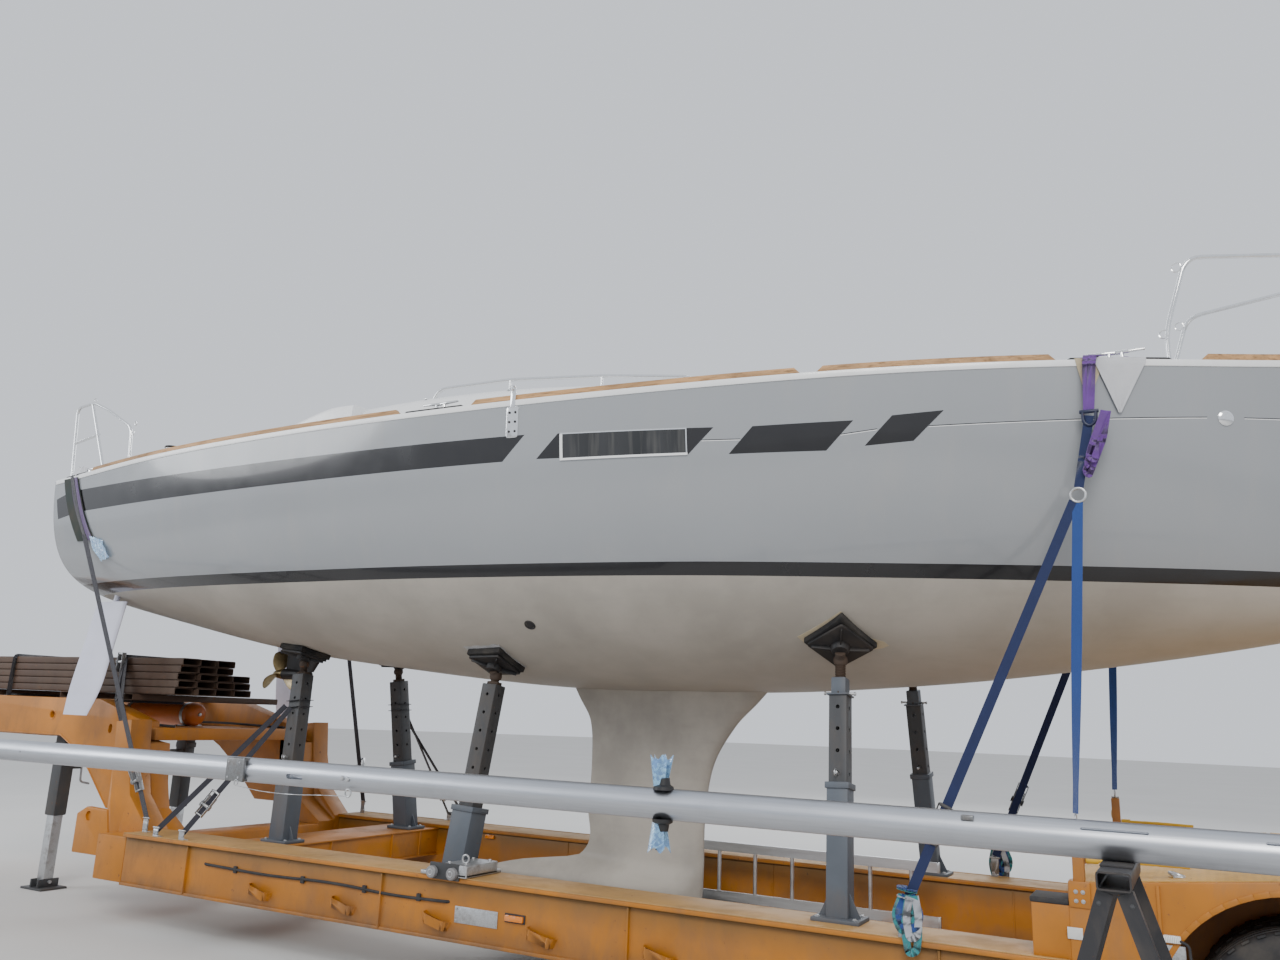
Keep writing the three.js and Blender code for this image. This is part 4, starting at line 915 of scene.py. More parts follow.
class YACHT_OT_hull(bpy.types.Operator):
    """Builds the hull's shell with its bands, waterline and cockpit"""
    bl_idname = "yacht.hull"
    bl_label = "Hull"

    def execute(self, context):
        bm = self.shell()
        self.split_bands(bm)
        shell = piece("hull_shell", bm, "topside_grey", "vinyl_band", "bottom_primer", "white_gelcoat",
                      stands_for=("hull",), choose=self.area)
        cut_out(shell, self.openings())
        self.paint_openings(shell)
        return {"FINISHED"}

    def shell(self):
        bm = bmesh.new()
        columns, rows, strakes = 110, 56, 20

        def length_at(share):
            return HULL_LENGTH * (share + 0.06 * math.sin(math.pi * share) * share)

        at_stem = 0.9999

        def skin(u, v):
            point = hull_point(length_at(u), 1 - abs(2 * v - 1), -1 if v < 0.5 else 1)
            if u > at_stem:
                point.y = 0
                point.x += STEM_NOSE
            return point

        def deck(u, v):
            x = length_at(u)
            half, edge = deck_edge(x)
            y = half * (2 * v - 1)
            if u > at_stem:
                return Vector((x + STEM_NOSE, 0, edge))
            return Vector((x, y, edge + DECK_CAMBER * (half - abs(y))))
        add_patch(bm, columns, rows, skin)
        add_patch(bm, columns, strakes, deck)
        bmesh.ops.remove_doubles(bm, verts=bm.verts, dist=0.0004)
        holes = [edge for edge in bm.edges if len(edge.link_faces) == 1]
        bmesh.ops.holes_fill(bm, edges=holes, sides=0)
        return bm

    def split_bands(self, bm):
        for _, low_aft, low_fore, top_aft, top_fore in BANDS:
            for a, b in ((low_aft, low_fore), (top_aft, top_fore), (low_aft, top_aft), (low_fore, top_fore)):
                self.split(bm, a, b, (low_aft[0] - 0.3, top_fore[0] + 0.3), BAND_HEIGHTS)
        for over in (PAINT_LINE, BOOT[1]):
            self.split(bm, (0, waterline(0) + over), (HULL_LENGTH, waterline(HULL_LENGTH) + over),
                       (-0.1, HULL_LENGTH + 0.2), BOOT_HEIGHTS)

    def split(self, bm, a, b, x_range, z_range):
        """Cuts the skin along a straight line that is seen from the side."""
        faces = [face for face in bm.faces
                 if x_range[0] < face.calc_center_median().x < x_range[1]
                 and z_range[0] < face.calc_center_median().z < z_range[1]
                 and abs(face.normal.y) + abs(face.normal.x) > 0.3]
        edges = {edge for face in faces for edge in face.edges}
        verts = {vert for face in faces for vert in face.verts}
        along = Vector((b[0] - a[0], 0, b[1] - a[1]))
        bmesh.ops.bisect_plane(bm, geom=[*verts, *edges, *faces], dist=0.0002, plane_co=(a[0], 0, a[1]),
                               plane_no=along.cross(Vector((0, 1, 0))))

    def area(self, middle, normal):
        """Which finish a face of the shell has, by its place."""
        _, edge = deck_edge(min(max(middle.x, 0), HULL_LENGTH))
        if middle.z > edge - 0.002 and normal.z > 0.7:
            return WHITE
        over = middle.z - waterline(middle.x)
        if over < PAINT_LINE:
            return PRIMER
        if over < BOOT[1]:
            return DARK
        for _, low_aft, low_fore, top_aft, top_fore in BANDS:
            if self.inside(middle, low_aft, low_fore, top_fore, top_aft) and middle.x > 0.001:
                return DARK
        return GREY

    def inside(self, point, *corners):
        """Whether a place seen from the side lies in a four-cornered band."""
        turns = [(b[0] - a[0]) * (point.z - a[1]) - (b[1] - a[1]) * (point.x - a[0])
                 for a, b in zip(corners, corners[1:] + corners[:1])]
        return all(turn > 0 for turn in turns)

    def openings(self):
        bm = bmesh.new()
        # the cockpit's aft part, its footwell, the room over its benches, the transom and the companionway
        top = 4.2
        add_box(bm, (0.062, -1.03, SOLE_Z), (1.25, 1.03, top), 0.03)
        add_box(bm, (1.2, -0.43, SOLE_Z + 0.0001), (3.0, 0.43, top + 0.01), 0.03)
        add_box(bm, (1.21, -1.0301, BENCH_Z), (3.0001, 1.0301, top + 0.02), 0.03)
        add_box(bm, (-0.2, -0.608, 2.9), (0.1, 0.608, top + 0.03), 0)
        add_box(bm, (3.06, -0.3, 2.75), (3.56, 0.3, top + 0.04), 0)
        add_box(bm, (2.99, -0.3, SILL_Z), (3.1, 0.3, top + 0.05), 0)
        return bm

    def paint_openings(self, shell):
        """The cockpit's own faces are white, whichever way the shell was painted."""
        for face in shell.data.polygons:
            middle = face.center + ORIGIN
            if 0.05 < middle.x < 3.6 and abs(middle.y) < 1.04 and middle.z > 2.7:
                face.material_index = WHITE


# Topsides
TEAK_LENGTHS = ((0.54, 4.10), (4.66, 6.78), (6.85, 8.07), (8.73, 9.75))
CLEATS = (0.39, 4.39, 8.34)
CLEAT_BEDS = ((0.14, 0.52), (4.13, 4.63), (8.10, 8.62))
CLEAT_INSET = 0.068                   # from the deck edge to a cleat's middle


def add_horn_cleat(bm, x, hand):
    half, edge = deck_edge(x)
    y, z = hand * (half - CLEAT_INSET), edge + 0.014
    for way in (-1, 1):
        add_rod(bm, (x + way * 0.036, y, z - 0.008), (x + way * 0.030, y, z + 0.05), 0.014, 0.010, 14)
        add_rod(bm, (x, y, z + 0.052), (x + way * 0.145, y, z + 0.058), 0.0115, 0.007, 14, 0.003)
        add_rod(bm, (x + way * 0.036, y, z), (x + way * 0.036, y, z + 0.006), 0.022, 0.018, 16)


class YACHT_OT_gunwale(bpy.types.Operator):
    """Runs the white gunwale, its teak battens and the cleats round the deck edge"""
    bl_idname = "yacht.gunwale"
    bl_label = "Gunwale"

    def execute(self, context):
        strip = rounded_ring(((-0.005, -0.028), (-0.005, 0.010), (0.058, 0.014), (0.058, -0.020)), 0.005, 2)
        batten = rounded_ring(((0.015, 0.006), (0.019, 0.052), (0.047, 0.052), (0.052, 0.006)), 0.006, 2)
        bed = ((0.008, 0.004), (0.010, 0.024), (0.054, 0.024), (0.056, 0.004))
        for name, hand in SIDES:
            bm = bmesh.new()
            add_edge_bar(bm, hand, 0.02, 9.93, strip)
            piece(f"gunwale_{name}", bm, "white_trim", stands_for=(f"toe_rail_{name}",))
            bm = bmesh.new()
            for x0, x1 in TEAK_LENGTHS:
                add_edge_bar(bm, hand, x0, x1, batten, 0.045)
            piece(f"toe_batten_{name}", bm, "teak_wood")
            bm = bmesh.new()
            for x0, x1 in CLEAT_BEDS:
                add_edge_bar(bm, hand, x0, x1, bed, 0.03)
            piece(f"cleat_bed_{name}", bm, "pad_rubber")
            bm = bmesh.new()
            for x in CLEATS:
                add_horn_cleat(bm, x, hand)
            piece(f"cleat_{name}", bm, "bright_steel")
        return {"FINISHED"}


WINDOW = ((5.335, 3.150), (6.135, 3.136), (6.135, 3.290), (5.335, 3.314))
WINDOW_EDGES = (0.018, 0.013, 0.007, 0.007)     # width of its aft, lower, fore and upper bars
COVE_LINES = (((6.22, 3.213), (6.44, 3.208)), ((6.98, 3.213), (7.17, 3.236)),
              ((7.43, 3.245), (8.74, 3.290)), ((8.91, 3.292), (9.84, 3.300)))
BOW_STUD = (8.825, 3.290)
CHAIN_PLATE = {"x": 5.0, "half": 0.042, "low": 0.230, "high": 0.030}
SKIN_FITTING = (4.875, 2.218)


class YACHT_OT_topside_fittings(bpy.types.Operator):
    """Sets the windows, cove line, chain plates and skin fittings in the topsides"""
    bl_idname = "yacht.topside_fittings"
    bl_label = "Topside fittings"

    def execute(self, context):
        for name, hand in SIDES:
            self.window(name, hand)
            self.lines(name, hand)
            self.plates(name, hand)
            bm = bmesh.new()
            here, out = skin_at(*SKIN_FITTING, hand)
            add_torus(bm, here + out * 0.001, out, 0.034, 0.005)
            add_stud(bm, here, out, 0.030, 0.003)
            piece(f"skin_fitting_{name}", bm, "pad_rubber")
        return {"FINISHED"}

    def window(self, name, hand):
        a, b, c, d = (Vector(corner) for corner in WINDOW)
        aft, low, fore, top = WINDOW_EDGES
        # the aft and lower bars are white: painted light on the frame's lit faces; the fore and upper bars
        # are steel
        bars = (("lit", (a, a + Vector((aft, 0)), d + Vector((aft, 0)), d)),
                ("lit", (a, b, b + Vector((0, low)), a + Vector((0, low)))),
                ("grey", (b - Vector((fore, 0)), b, c, c - Vector((fore, 0)))),
                ("grey", (d - Vector((0, top)), c - Vector((0, top)), c, d)))
        for shade_of, finish in (("lit", "white_trim"), ("grey", "bright_steel")):
            bm = bmesh.new()
            for each, corners in bars:
                if each == shade_of:
                    add_skin_panel(bm, hand, corners, 16, 2, 0.007, 0.010)
            piece(f"window_frame_{shade_of}_{name}", bm, finish)
        bm = bmesh.new()
        inner = (a + Vector((aft, low)), b + Vector((-fore, low)), c - Vector((fore, top)),
                 d + Vector((aft, -top)))
        add_skin_panel(bm, hand, inner, 20, 4, 0.004, 0.008)
        piece(f"window_glass_{name}", bm, "curtained_glass")

    def lines(self, name, hand):
        # name, finish, and lower and upper edge over the line, of its two strips: the dark strip is painted
        # shade on the groove's upper wall, the lit strip painted light on its lower wall
        strips = (("dark", "vinyl_band", 0.000, 0.005), ("lit", "white_trim", -0.004, 0.0))
        for word, finish, low, high in strips:
            bm = bmesh.new()
            for (x0, z0), (x1, z1) in COVE_LINES:
                add_skin_panel(bm, hand, ((x0, z0 + low), (x1, z1 + low), (x1, z1 + high), (x0, z0 + high)),
                               max(2, round((x1 - x0) / 0.1)), 1, 0.0012, 0.003)
            piece(f"cove_line_{word}_{name}", bm, finish)
        bm = bmesh.new()
        here, out = skin_at(*BOW_STUD, hand)
        add_lathe(bm, [(0.040, -0.002), (0.040, 0.004), (0.030, 0.010), (0, 0.013)], here, out, 32)
        bmesh.ops.holes_fill(bm, edges=[edge for edge in bm.edges if edge.is_boundary], sides=0)
        piece(f"bow_stud_{name}", bm, "bright_steel")

    def plates(self, name, hand):
        x, half = CHAIN_PLATE["x"], CHAIN_PLATE["half"]
        _, edge = deck_edge(x)
        low, high = edge - CHAIN_PLATE["low"], edge - CHAIN_PLATE["high"]
        _, out = skin_at(x, (low + high) / 2, hand)
        outline = rounded_ring(((x - half, low), (x + half, low), (x + half, high), (x - half, high)),
                               0.018, 3)
        bm = bmesh.new()
        add_plate(bm, [on_skin(px, pz, hand, -0.003) for px, pz in outline], out * 0.008, 0.0015)
        top = on_skin(x, edge - 0.04, hand, 0.002)
        add_bar(bm, top, top + Vector((0, hand * 0.002, 0.115)), 0.010, 0.036, 0.003)
        add_torus(bm, top + Vector((0, hand * 0.002, 0.105)), (0, 1, 0), 0.014, 0.005)
        add_torus(bm, top + Vector((0, hand * 0.002, 0.125)), (1, 0, 0), 0.016, 0.006)
        piece(f"chain_plate_cover_{name}", bm, "bright_steel", stands_for=(f"chain_plate_{name}",))
        bm = bmesh.new()
        for column in (-1, 1):
            for row in (0.2, 0.5, 0.8):
                at = on_skin(x + column * half * 0.5, low + (high - low) * row, hand, 0.004)
                add_stud(bm, at, out, 0.0085, 0.0045)
        piece(f"chain_plate_bolts_{name}", bm, "pad_rubber")


# Deck
# x, half width at the deck, shoulder half width, shoulder z, flat half width, flat z
ROOF_SECTIONS = (
    (3.0, 1.240, 1.080, 3.900, 0.380, 3.985),
    (3.7, 1.230, 1.060, 3.925, 0.380, 4.005),
    (4.5, 1.190, 1.010, 3.920, 0.380, 3.990),
    (5.3, 1.080, 0.900, 3.880, 0.360, 3.945),
    (5.9, 0.940, 0.770, 3.830, 0.340, 3.890),
    (6.7, 0.720, 0.570, 3.750, 0.320, 3.800),
    (7.3, 0.500, 0.380, 3.690, 0.200, 3.725),
    (7.9, 0.300, 0.200, 3.625, 0.100, 3.640),
)
HOUSE_FOOT, HOUSE_AFT, HOUSE_LONG = 3.48, 3.0, 4.9
# x, outer half width, inner half width, top
COAMING_SECTIONS = (
    (0.40, 1.320, 1.160, 3.540),
    (1.05, 1.335, 1.125, 3.625),
    (1.27, 1.335, 1.115, 3.625),
    (1.90, 1.325, 1.090, 3.685),
    (2.45, 1.295, 1.065, 3.750),
    (2.90, 1.255, 1.045, 3.880),
    (3.15, 1.235, 1.040, 3.895),
)
COAMING_FOOT, COAMING_AFT, COAMING_LONG = 3.38, 0.40, 2.74
SIDE_WINDOWS = ((3.35, 4.55), (4.62, 5.62))
# aft and fore end of each non-slip field, beside the house, before it and on its roof
SIDE_GRIPS = ((3.25, 4.85), (5.15, 6.45), (6.60, 7.75))
FORE_GRIP = (7.98, 8.82)
ROOF_GRIPS = ((3.75, 4.75), (5.50, 5.98))
GRIP_PROUD = 0.003
SOLE_Z, BENCH_Z, SILL_Z = 3.020, 3.420, 3.430   # of the cockpit and its companionway
HATCH = {"aft": 6.06, "fore": 6.56, "half": 0.255, "thick": 0.028}
LID_TOP = 3.6155                      # of the anchor locker


def roof_ring(x):
    _, base, shoulder, shoulder_z, flat, flat_z = smooth_row(ROOF_SECTIONS, x)
    side = ((base, HOUSE_FOOT), (shoulder, shoulder_z), (flat, flat_z))
    corners = [(x, -y, z) for y, z in side] + [(x, y, z) for y, z in reversed(side)]
    return rounded(corners, 0.12, 5)


def house_side(x, share, hand, proud=0.0):
    """A place on the deck house's side, between the deck and its shoulder."""
    _, base, shoulder, shoulder_z, _, _ = smooth_row(ROOF_SECTIONS, x)
    rise = Vector((0, hand * (shoulder - base), shoulder_z - HOUSE_FOOT))
    out = Vector((0, hand * rise.z, abs(rise.y))).normalized()
    return Vector((x, hand * base, HOUSE_FOOT)) + rise * share + out * proud


def hatch_z(x):
    return 3.890 - 0.1125 * (x - 5.9)


class YACHT_OT_deck_house(bpy.types.Operator):
    """Builds the deck house with its windows, the coamings and the cockpit's teak"""
    bl_idname = "yacht.deck_house"
    bl_label = "Deck house"

    def execute(self, context):
        bm = bmesh.new()
        add_loft(bm, 70, lambda u: roof_ring(HOUSE_AFT + HOUSE_LONG * u))
        house = piece("deck_house_shell", bm, "white_gelcoat", stands_for=("deck_house",), crease=50)
        cutters = bmesh.new()
        add_box(cutters, (2.99, -0.30, SILL_Z), (3.56, 0.30, 4.2), 0)
        add_box(cutters, (HATCH["aft"] + 0.03, -0.225, 3.66), (HATCH["fore"] - 0.03, 0.225, 4.1), 0)
        cut_out(house, cutters)
        self.coamings()
        self.windows()
        self.roof_gear()
        self.teak()
        self.non_slip()
        return {"FINISHED"}

    def coamings(self):
        bm = bmesh.new()
        for _, hand in SIDES:
            def ring_at(u):
                x, outer, inner, top = smooth_row(COAMING_SECTIONS, COAMING_AFT + COAMING_LONG * u)
                corners = ((outer, COAMING_FOOT), (outer - 0.04, top), (inner, top), (inner, COAMING_FOOT))
                return [Vector((x, hand * y, z)) for y, z in rounded_ring(corners, 0.03, 4)]
            add_loft(bm, 40, ring_at)
        piece("coamings", bm, "white_gelcoat", crease=50)

    def windows(self):
        bm = bmesh.new()
        for _, hand in SIDES:
            for x0, x1 in SIDE_WINDOWS:
                out = house_side(x0, 0, hand, 1) - house_side(x0, 0, hand)

                def place(u, v):
                    x = x0 + (x1 - x0) * u + 0.10 * (v - 0.5)
                    return house_side(x, 0.40 + 0.30 * v * (1 - 0.25 * (x - 3.3) / 2.4), hand, 0.004)
                add_patch(bm, 20, 3, place, -out * 0.010)
        piece("side_windows", bm, "smoked_glass")

    def roof_gear(self):
        bm = bmesh.new()
        add_box(bm, (5.14, -0.12, 3.92), (5.42, 0.12, 3.962), 0.012, 3)
        for _, hand in SIDES:
            add_side_box(bm, hand, 3.01, 4.19, 0.312, 0.340, 3.93, 4.005, 0.005)
            add_side_box(bm, hand, 3.00, 3.56, 0.296, 0.315, 3.86, 4.004, 0.004)
        add_box(bm, (3.545, -0.34, 3.96), (3.60, 0.34, 4.003), 0.006)
        piece("hatch_runners", bm, "white_trim")
        bm = bmesh.new()
        add_box(bm, (5.17, -0.095, 3.960), (5.39, 0.095, 3.968), 0.003)
        for y in (-0.062, 0.062):
            add_bar(bm, (5.20, y, 3.972), (5.36, y, 3.972), 0.008, 0.012, 0.002)
        for x in (5.19, 5.37):
            for y in (-0.08, 0.08):
                add_stud(bm, (x, y, 3.967), UP, 0.008, 0.005)
        piece("mast_step", bm, "bright_steel")
        bm = bmesh.new()
        for _, hand in SIDES:
            for i in range(3):
                y = hand * (0.42 + 0.055 * i)
                add_bar(bm, (3.34, y, 4.018), (3.50, y, 4.024), 0.034, 0.048, 0.006)
                add_bar(bm, (3.37, y, 4.045), (3.50, y, 4.052), 0.020, 0.012, 0.004)
            add_box(bm, (4.86, hand * 0.30 - 0.11, 3.965), (4.94, hand * 0.30 + 0.11, 3.998), 0.008)
        piece("rope_clutches", bm, "pad_rubber")
        bm = bmesh.new()
        for _, hand in SIDES:
            for i in range(4):
                add_rod(bm, (4.90, hand * 0.30 - 0.075 + 0.05 * i, 3.990),
                        (4.90, hand * 0.30 - 0.075 + 0.05 * i, 4.004), 0.021, 0.019, 20, 0.003)
            for x in (3.70, 5.76):
                add_stud(bm, house_side(x, 1.0, hand, -0.03), (0, 0, 1), 0.012, 0.006)
        piece("deck_organisers", bm, "bright_steel")

    def teak(self):
        plank, seam = 0.046, 0.004
        slabs = [(1.27, 2.985, hand * 0.45, hand * 1.012, BENCH_Z) for _, hand in SIDES]
        slabs += [(0.085, 2.98, -0.414, 0.414, SOLE_Z)]
        slabs += [(0.085, 1.235, hand * 0.432, hand * 1.012, SOLE_Z) for _, hand in SIDES]
        wood, bed = bmesh.new(), bmesh.new()
        for x0, x1, ya, yb, z in slabs:
            low, high = sorted((ya, yb))
            add_box(bed, (x0, low, z - 0.01), (x1, high, z + 0.005), 0.001, 1)
            count = math.floor((high - low) / plank)
            start = (low + high - count * plank) / 2
            for i in range(count):
                y = start + i * plank
                add_box(wood, (x0 + 0.004, y + seam / 2, z), (x1 - 0.004, y + plank - seam / 2, z + 0.008),
                        0.001, 1)
        piece("cockpit_teak", wood, "teak_wood")
        piece("cockpit_caulking", bed, "pad_rubber")

    def non_slip(self):
        into_deck = Vector((0, 0, -2 * GRIP_PROUD))
        bm = bmesh.new()
        for _, hand in SIDES:
            for x0, x1 in SIDE_GRIPS:
                def place(u, v):
                    x = x0 + (x1 - x0) * u
                    inner = smooth_row(ROOF_SECTIONS, x)[1] + 0.05
                    outer = deck_edge(x)[0] - 0.12
                    y = inner + (max(outer, inner + 0.02) - inner) * v
                    return Vector((x, hand * y, deck_z(x, y) + GRIP_PROUD))
                add_patch(bm, 24, 6, place, into_deck)

            def fore(u, v):
                x = x0 + (x1 - x0) * u
                y = 0.03 + (deck_edge(x)[0] - 0.18) * v
                return Vector((x, hand * y, deck_z(x, y) + GRIP_PROUD))
            x0, x1 = FORE_GRIP
            add_patch(bm, 12, 8, fore, into_deck)
            for x0, x1 in ROOF_GRIPS:
                def roof(u, v):
                    x = x0 + (x1 - x0) * u
                    _, _, shoulder, shoulder_z, flat, flat_z = smooth_row(ROOF_SECTIONS, x)
                    share = 0.22 + 0.5 * v
                    y, z = flat + (shoulder - flat) * share, flat_z + (shoulder_z - flat_z) * share
                    return Vector((x, hand * y, z + GRIP_PROUD))
                add_patch(bm, 12, 6, roof, into_deck)
        piece("non_slip_panels", bm, "deck_grip")


class YACHT_OT_hatches(bpy.types.Operator):
    """Fits the doors, hatches and lids on their own bodies"""
    bl_idname = "yacht.hatches"
    bl_label = "Doors and hatches"

    def execute(self, context):
        self.slide()
        self.door()
        self.roof_hatch()
        self.locker()
        self.bathing_door()
        return {"FINISHED"}

    def slab(self, x0, x1, half0, half1, z0, z1, thick, bend):
        """A flat plate lying fore and aft, its corners rounded."""
        outline = rounded_ring(((x0, -half0, z0), (x1, -half1, z1), (x1, half1, z1), (x0, half0, z0)),
                               bend, 4)
        bm = bmesh.new()
        add_plate(bm, outline, Vector((0, 0, thick)), min(0.004, thick * 0.3))
        return bm

    def slide(self):
        bm = self.slab(2.985, 3.62, 0.345, 0.345, 4.0055, 4.0055, 0.0265, 0.05)
        piece("sliding_hatch_pane", bm, "smoked_glass", body="cabin_hatch",
              stands_for=("companionway_hatch",))
        bm = bmesh.new()
        for y in (-0.335, 0.335):
            add_bar(bm, (3.02, y, 4.020), (3.59, y, 4.020), 0.022, 0.028, 0.004)
        add_tube(bm, [(3.03, -0.10, 4.030), (3.03, -0.10, 4.052), (3.03, 0.10, 4.052), (3.03, 0.10, 4.030)],
                 0.006, 0.015)
        piece("sliding_hatch_rails", bm, "bright_steel", body="cabin_hatch")

    def door(self):
        low, high, half, x = 3.447, 3.953, 0.318, 2.9905
        outline = rounded_ring(((x, -half, low), (x, half, low), (x, half, high), (x, -half, high)), 0.04, 4)
        bm = bmesh.new()
        add_plate(bm, outline, Vector((-0.010, 0, 0)), 0.003)
        piece("cabin_door_pane", bm, "smoked_glass", body="cabin_door", stands_for=("companionway_door",))
        bm = bmesh.new()
        for y in (-0.304, 0.304):
            add_bar(bm, (2.989, y, low + 0.01), (2.989, y, high - 0.01), 0.020, 0.028, 0.004)
        for z in (low + 0.012, high - 0.012):
            add_bar(bm, (2.989, -0.30, z), (2.989, 0.30, z), 0.020, 0.022, 0.004)
        add_tube(bm, [(2.982, -0.26, 3.66), (2.962, -0.26, 3.66), (2.962, -0.26, 3.76), (2.982, -0.26, 3.76)],
                 0.006, 0.012)
        for z in (3.53, 3.87):
            add_rod(bm, (2.9797, 0.317, z - 0.025), (2.9797, 0.317, z + 0.025), 0.006)
        add_stud(bm, (2.980, -0.285, 3.71), (-1, 0, 0), 0.018, 0.006)
        piece("cabin_door_frame", bm, "bright_steel", body="cabin_door")

    def hatch_outline(self, inset, over, bend):
        """The roof hatch's outline, drawn in by an inset and over the roof that it slopes with."""
        aft, fore, half = HATCH["aft"] + inset, HATCH["fore"] - inset, HATCH["half"] - inset
        low, high = hatch_z(aft) + over, hatch_z(fore) + over
        return rounded_ring(((aft, -half, low), (fore, -half, high), (fore, half, high), (aft, half, low)),
                            bend, 5)

    def roof_hatch(self):
        aft, fore = HATCH["aft"], HATCH["fore"]
        bm = bmesh.new()
        add_plate(bm, self.hatch_outline(0, 0.001, 0.06), UP * (HATCH["thick"] - 0.006), 0.004)
        piece("roof_hatch_frame", bm, "ladder_metal", body="fore_hatch", stands_for=("roof_hatch",))
        bm = bmesh.new()
        add_plate(bm, self.hatch_outline(0.022, 0.018, 0.045), UP * 0.009, 0.002)
        piece("roof_hatch_pane", bm, "smoked_glass", body="fore_hatch")
        bm = bmesh.new()
        for y in (-0.15, 0.15):
            at = Vector((fore - 0.02, y, hatch_z(fore) + 0.022))
            add_rod(bm, at - Vector((0, 0.03, 0)), at + Vector((0, 0.03, 0)), 0.008)
            up = hatch_z(aft) + 0.026
            add_bar(bm, (aft + 0.035, y, up), (aft + 0.095, y, up), 0.022, 0.008, 0.003)
        piece("roof_hatch_handles", bm, "pad_rubber", body="fore_hatch")
        bm = bmesh.new()
        # the fore strip, at the hinge, lies low so that the open frame swings clear of it
        for a, b, proud in ((aft - 0.03, aft - 0.004, 0.008), (fore + 0.004, fore + 0.03, 0.0015)):
            middle = hatch_z((a + b) / 2)
            add_box(bm, (a, -0.275, middle - 0.02), (b, 0.275, middle + proud), 0.001)
        piece("roof_hatch_base", bm, "ladder_metal")

    def locker(self):
        bm = self.slab(8.867, 9.353, 0.286, 0.143, 3.5925, 3.5925, 0.0235, 0.03)
        piece("locker_lid_panel", bm, "white_gelcoat", body="locker_lid", stands_for=("anchor_locker_lid",))
        bm = self.slab(8.91, 9.31, 0.24, 0.115, LID_TOP, LID_TOP, 0.0025, 0.03)
        piece("locker_lid_grip", bm, "deck_grip", body="locker_lid")
        bm = bmesh.new()
        add_stud(bm, (9.325, 0, LID_TOP), UP, 0.018, 0.004)
        for y in (-0.18, 0.18):
            add_rod(bm, (8.868, y - 0.03, 3.617), (8.868, y + 0.03, 3.617), 0.005)
            add_box(bm, (8.872, y - 0.025, LID_TOP), (8.91, y + 0.025, 3.619), 0.001)
        piece("locker_lid_fittings", bm, "bright_steel", body="locker_lid")

    def bathing_door(self):
        bm = bmesh.new()
        half, low, high = 0.598, 2.902, 3.438
        outline = rounded_ring(((0.054, -half, low), (0.054, half, low), (0.054, half, high),
                                (0.054, -half, high)),
                               0.03, 4)
        add_plate(bm, outline, Vector((-0.052, 0, 0)), 0.005)
        piece("bathing_door_panel", bm, "topside_grey", body="bathing_door", stands_for=("transom_door",))
        bm = bmesh.new()
        for i in range(9):
            z = 2.95 + 0.049 * i
            add_box(bm, (0.052, -0.52, z), (0.0575, 0.52, z + 0.044), 0.001, 1)
        piece("bathing_door_tread", bm, "teak_wood", body="bathing_door")
        bm = bmesh.new()
        for y in (-0.42, 0.42):
            add_rod(bm, (0.004, y - 0.05, 2.900), (0.004, y + 0.05, 2.900), 0.008)
            add_box(bm, (-0.003, y - 0.045, 2.905), (0.003, y + 0.045, 2.955), 0.001)
        for y in (-0.55, 0.55):
            add_box(bm, (-0.003, y - 0.02, 3.35), (0.003, y + 0.02, 3.40), 0.001)
        piece("bathing_door_hinges", bm, "bright_steel", body="bathing_door")


RAIL = 0.0127


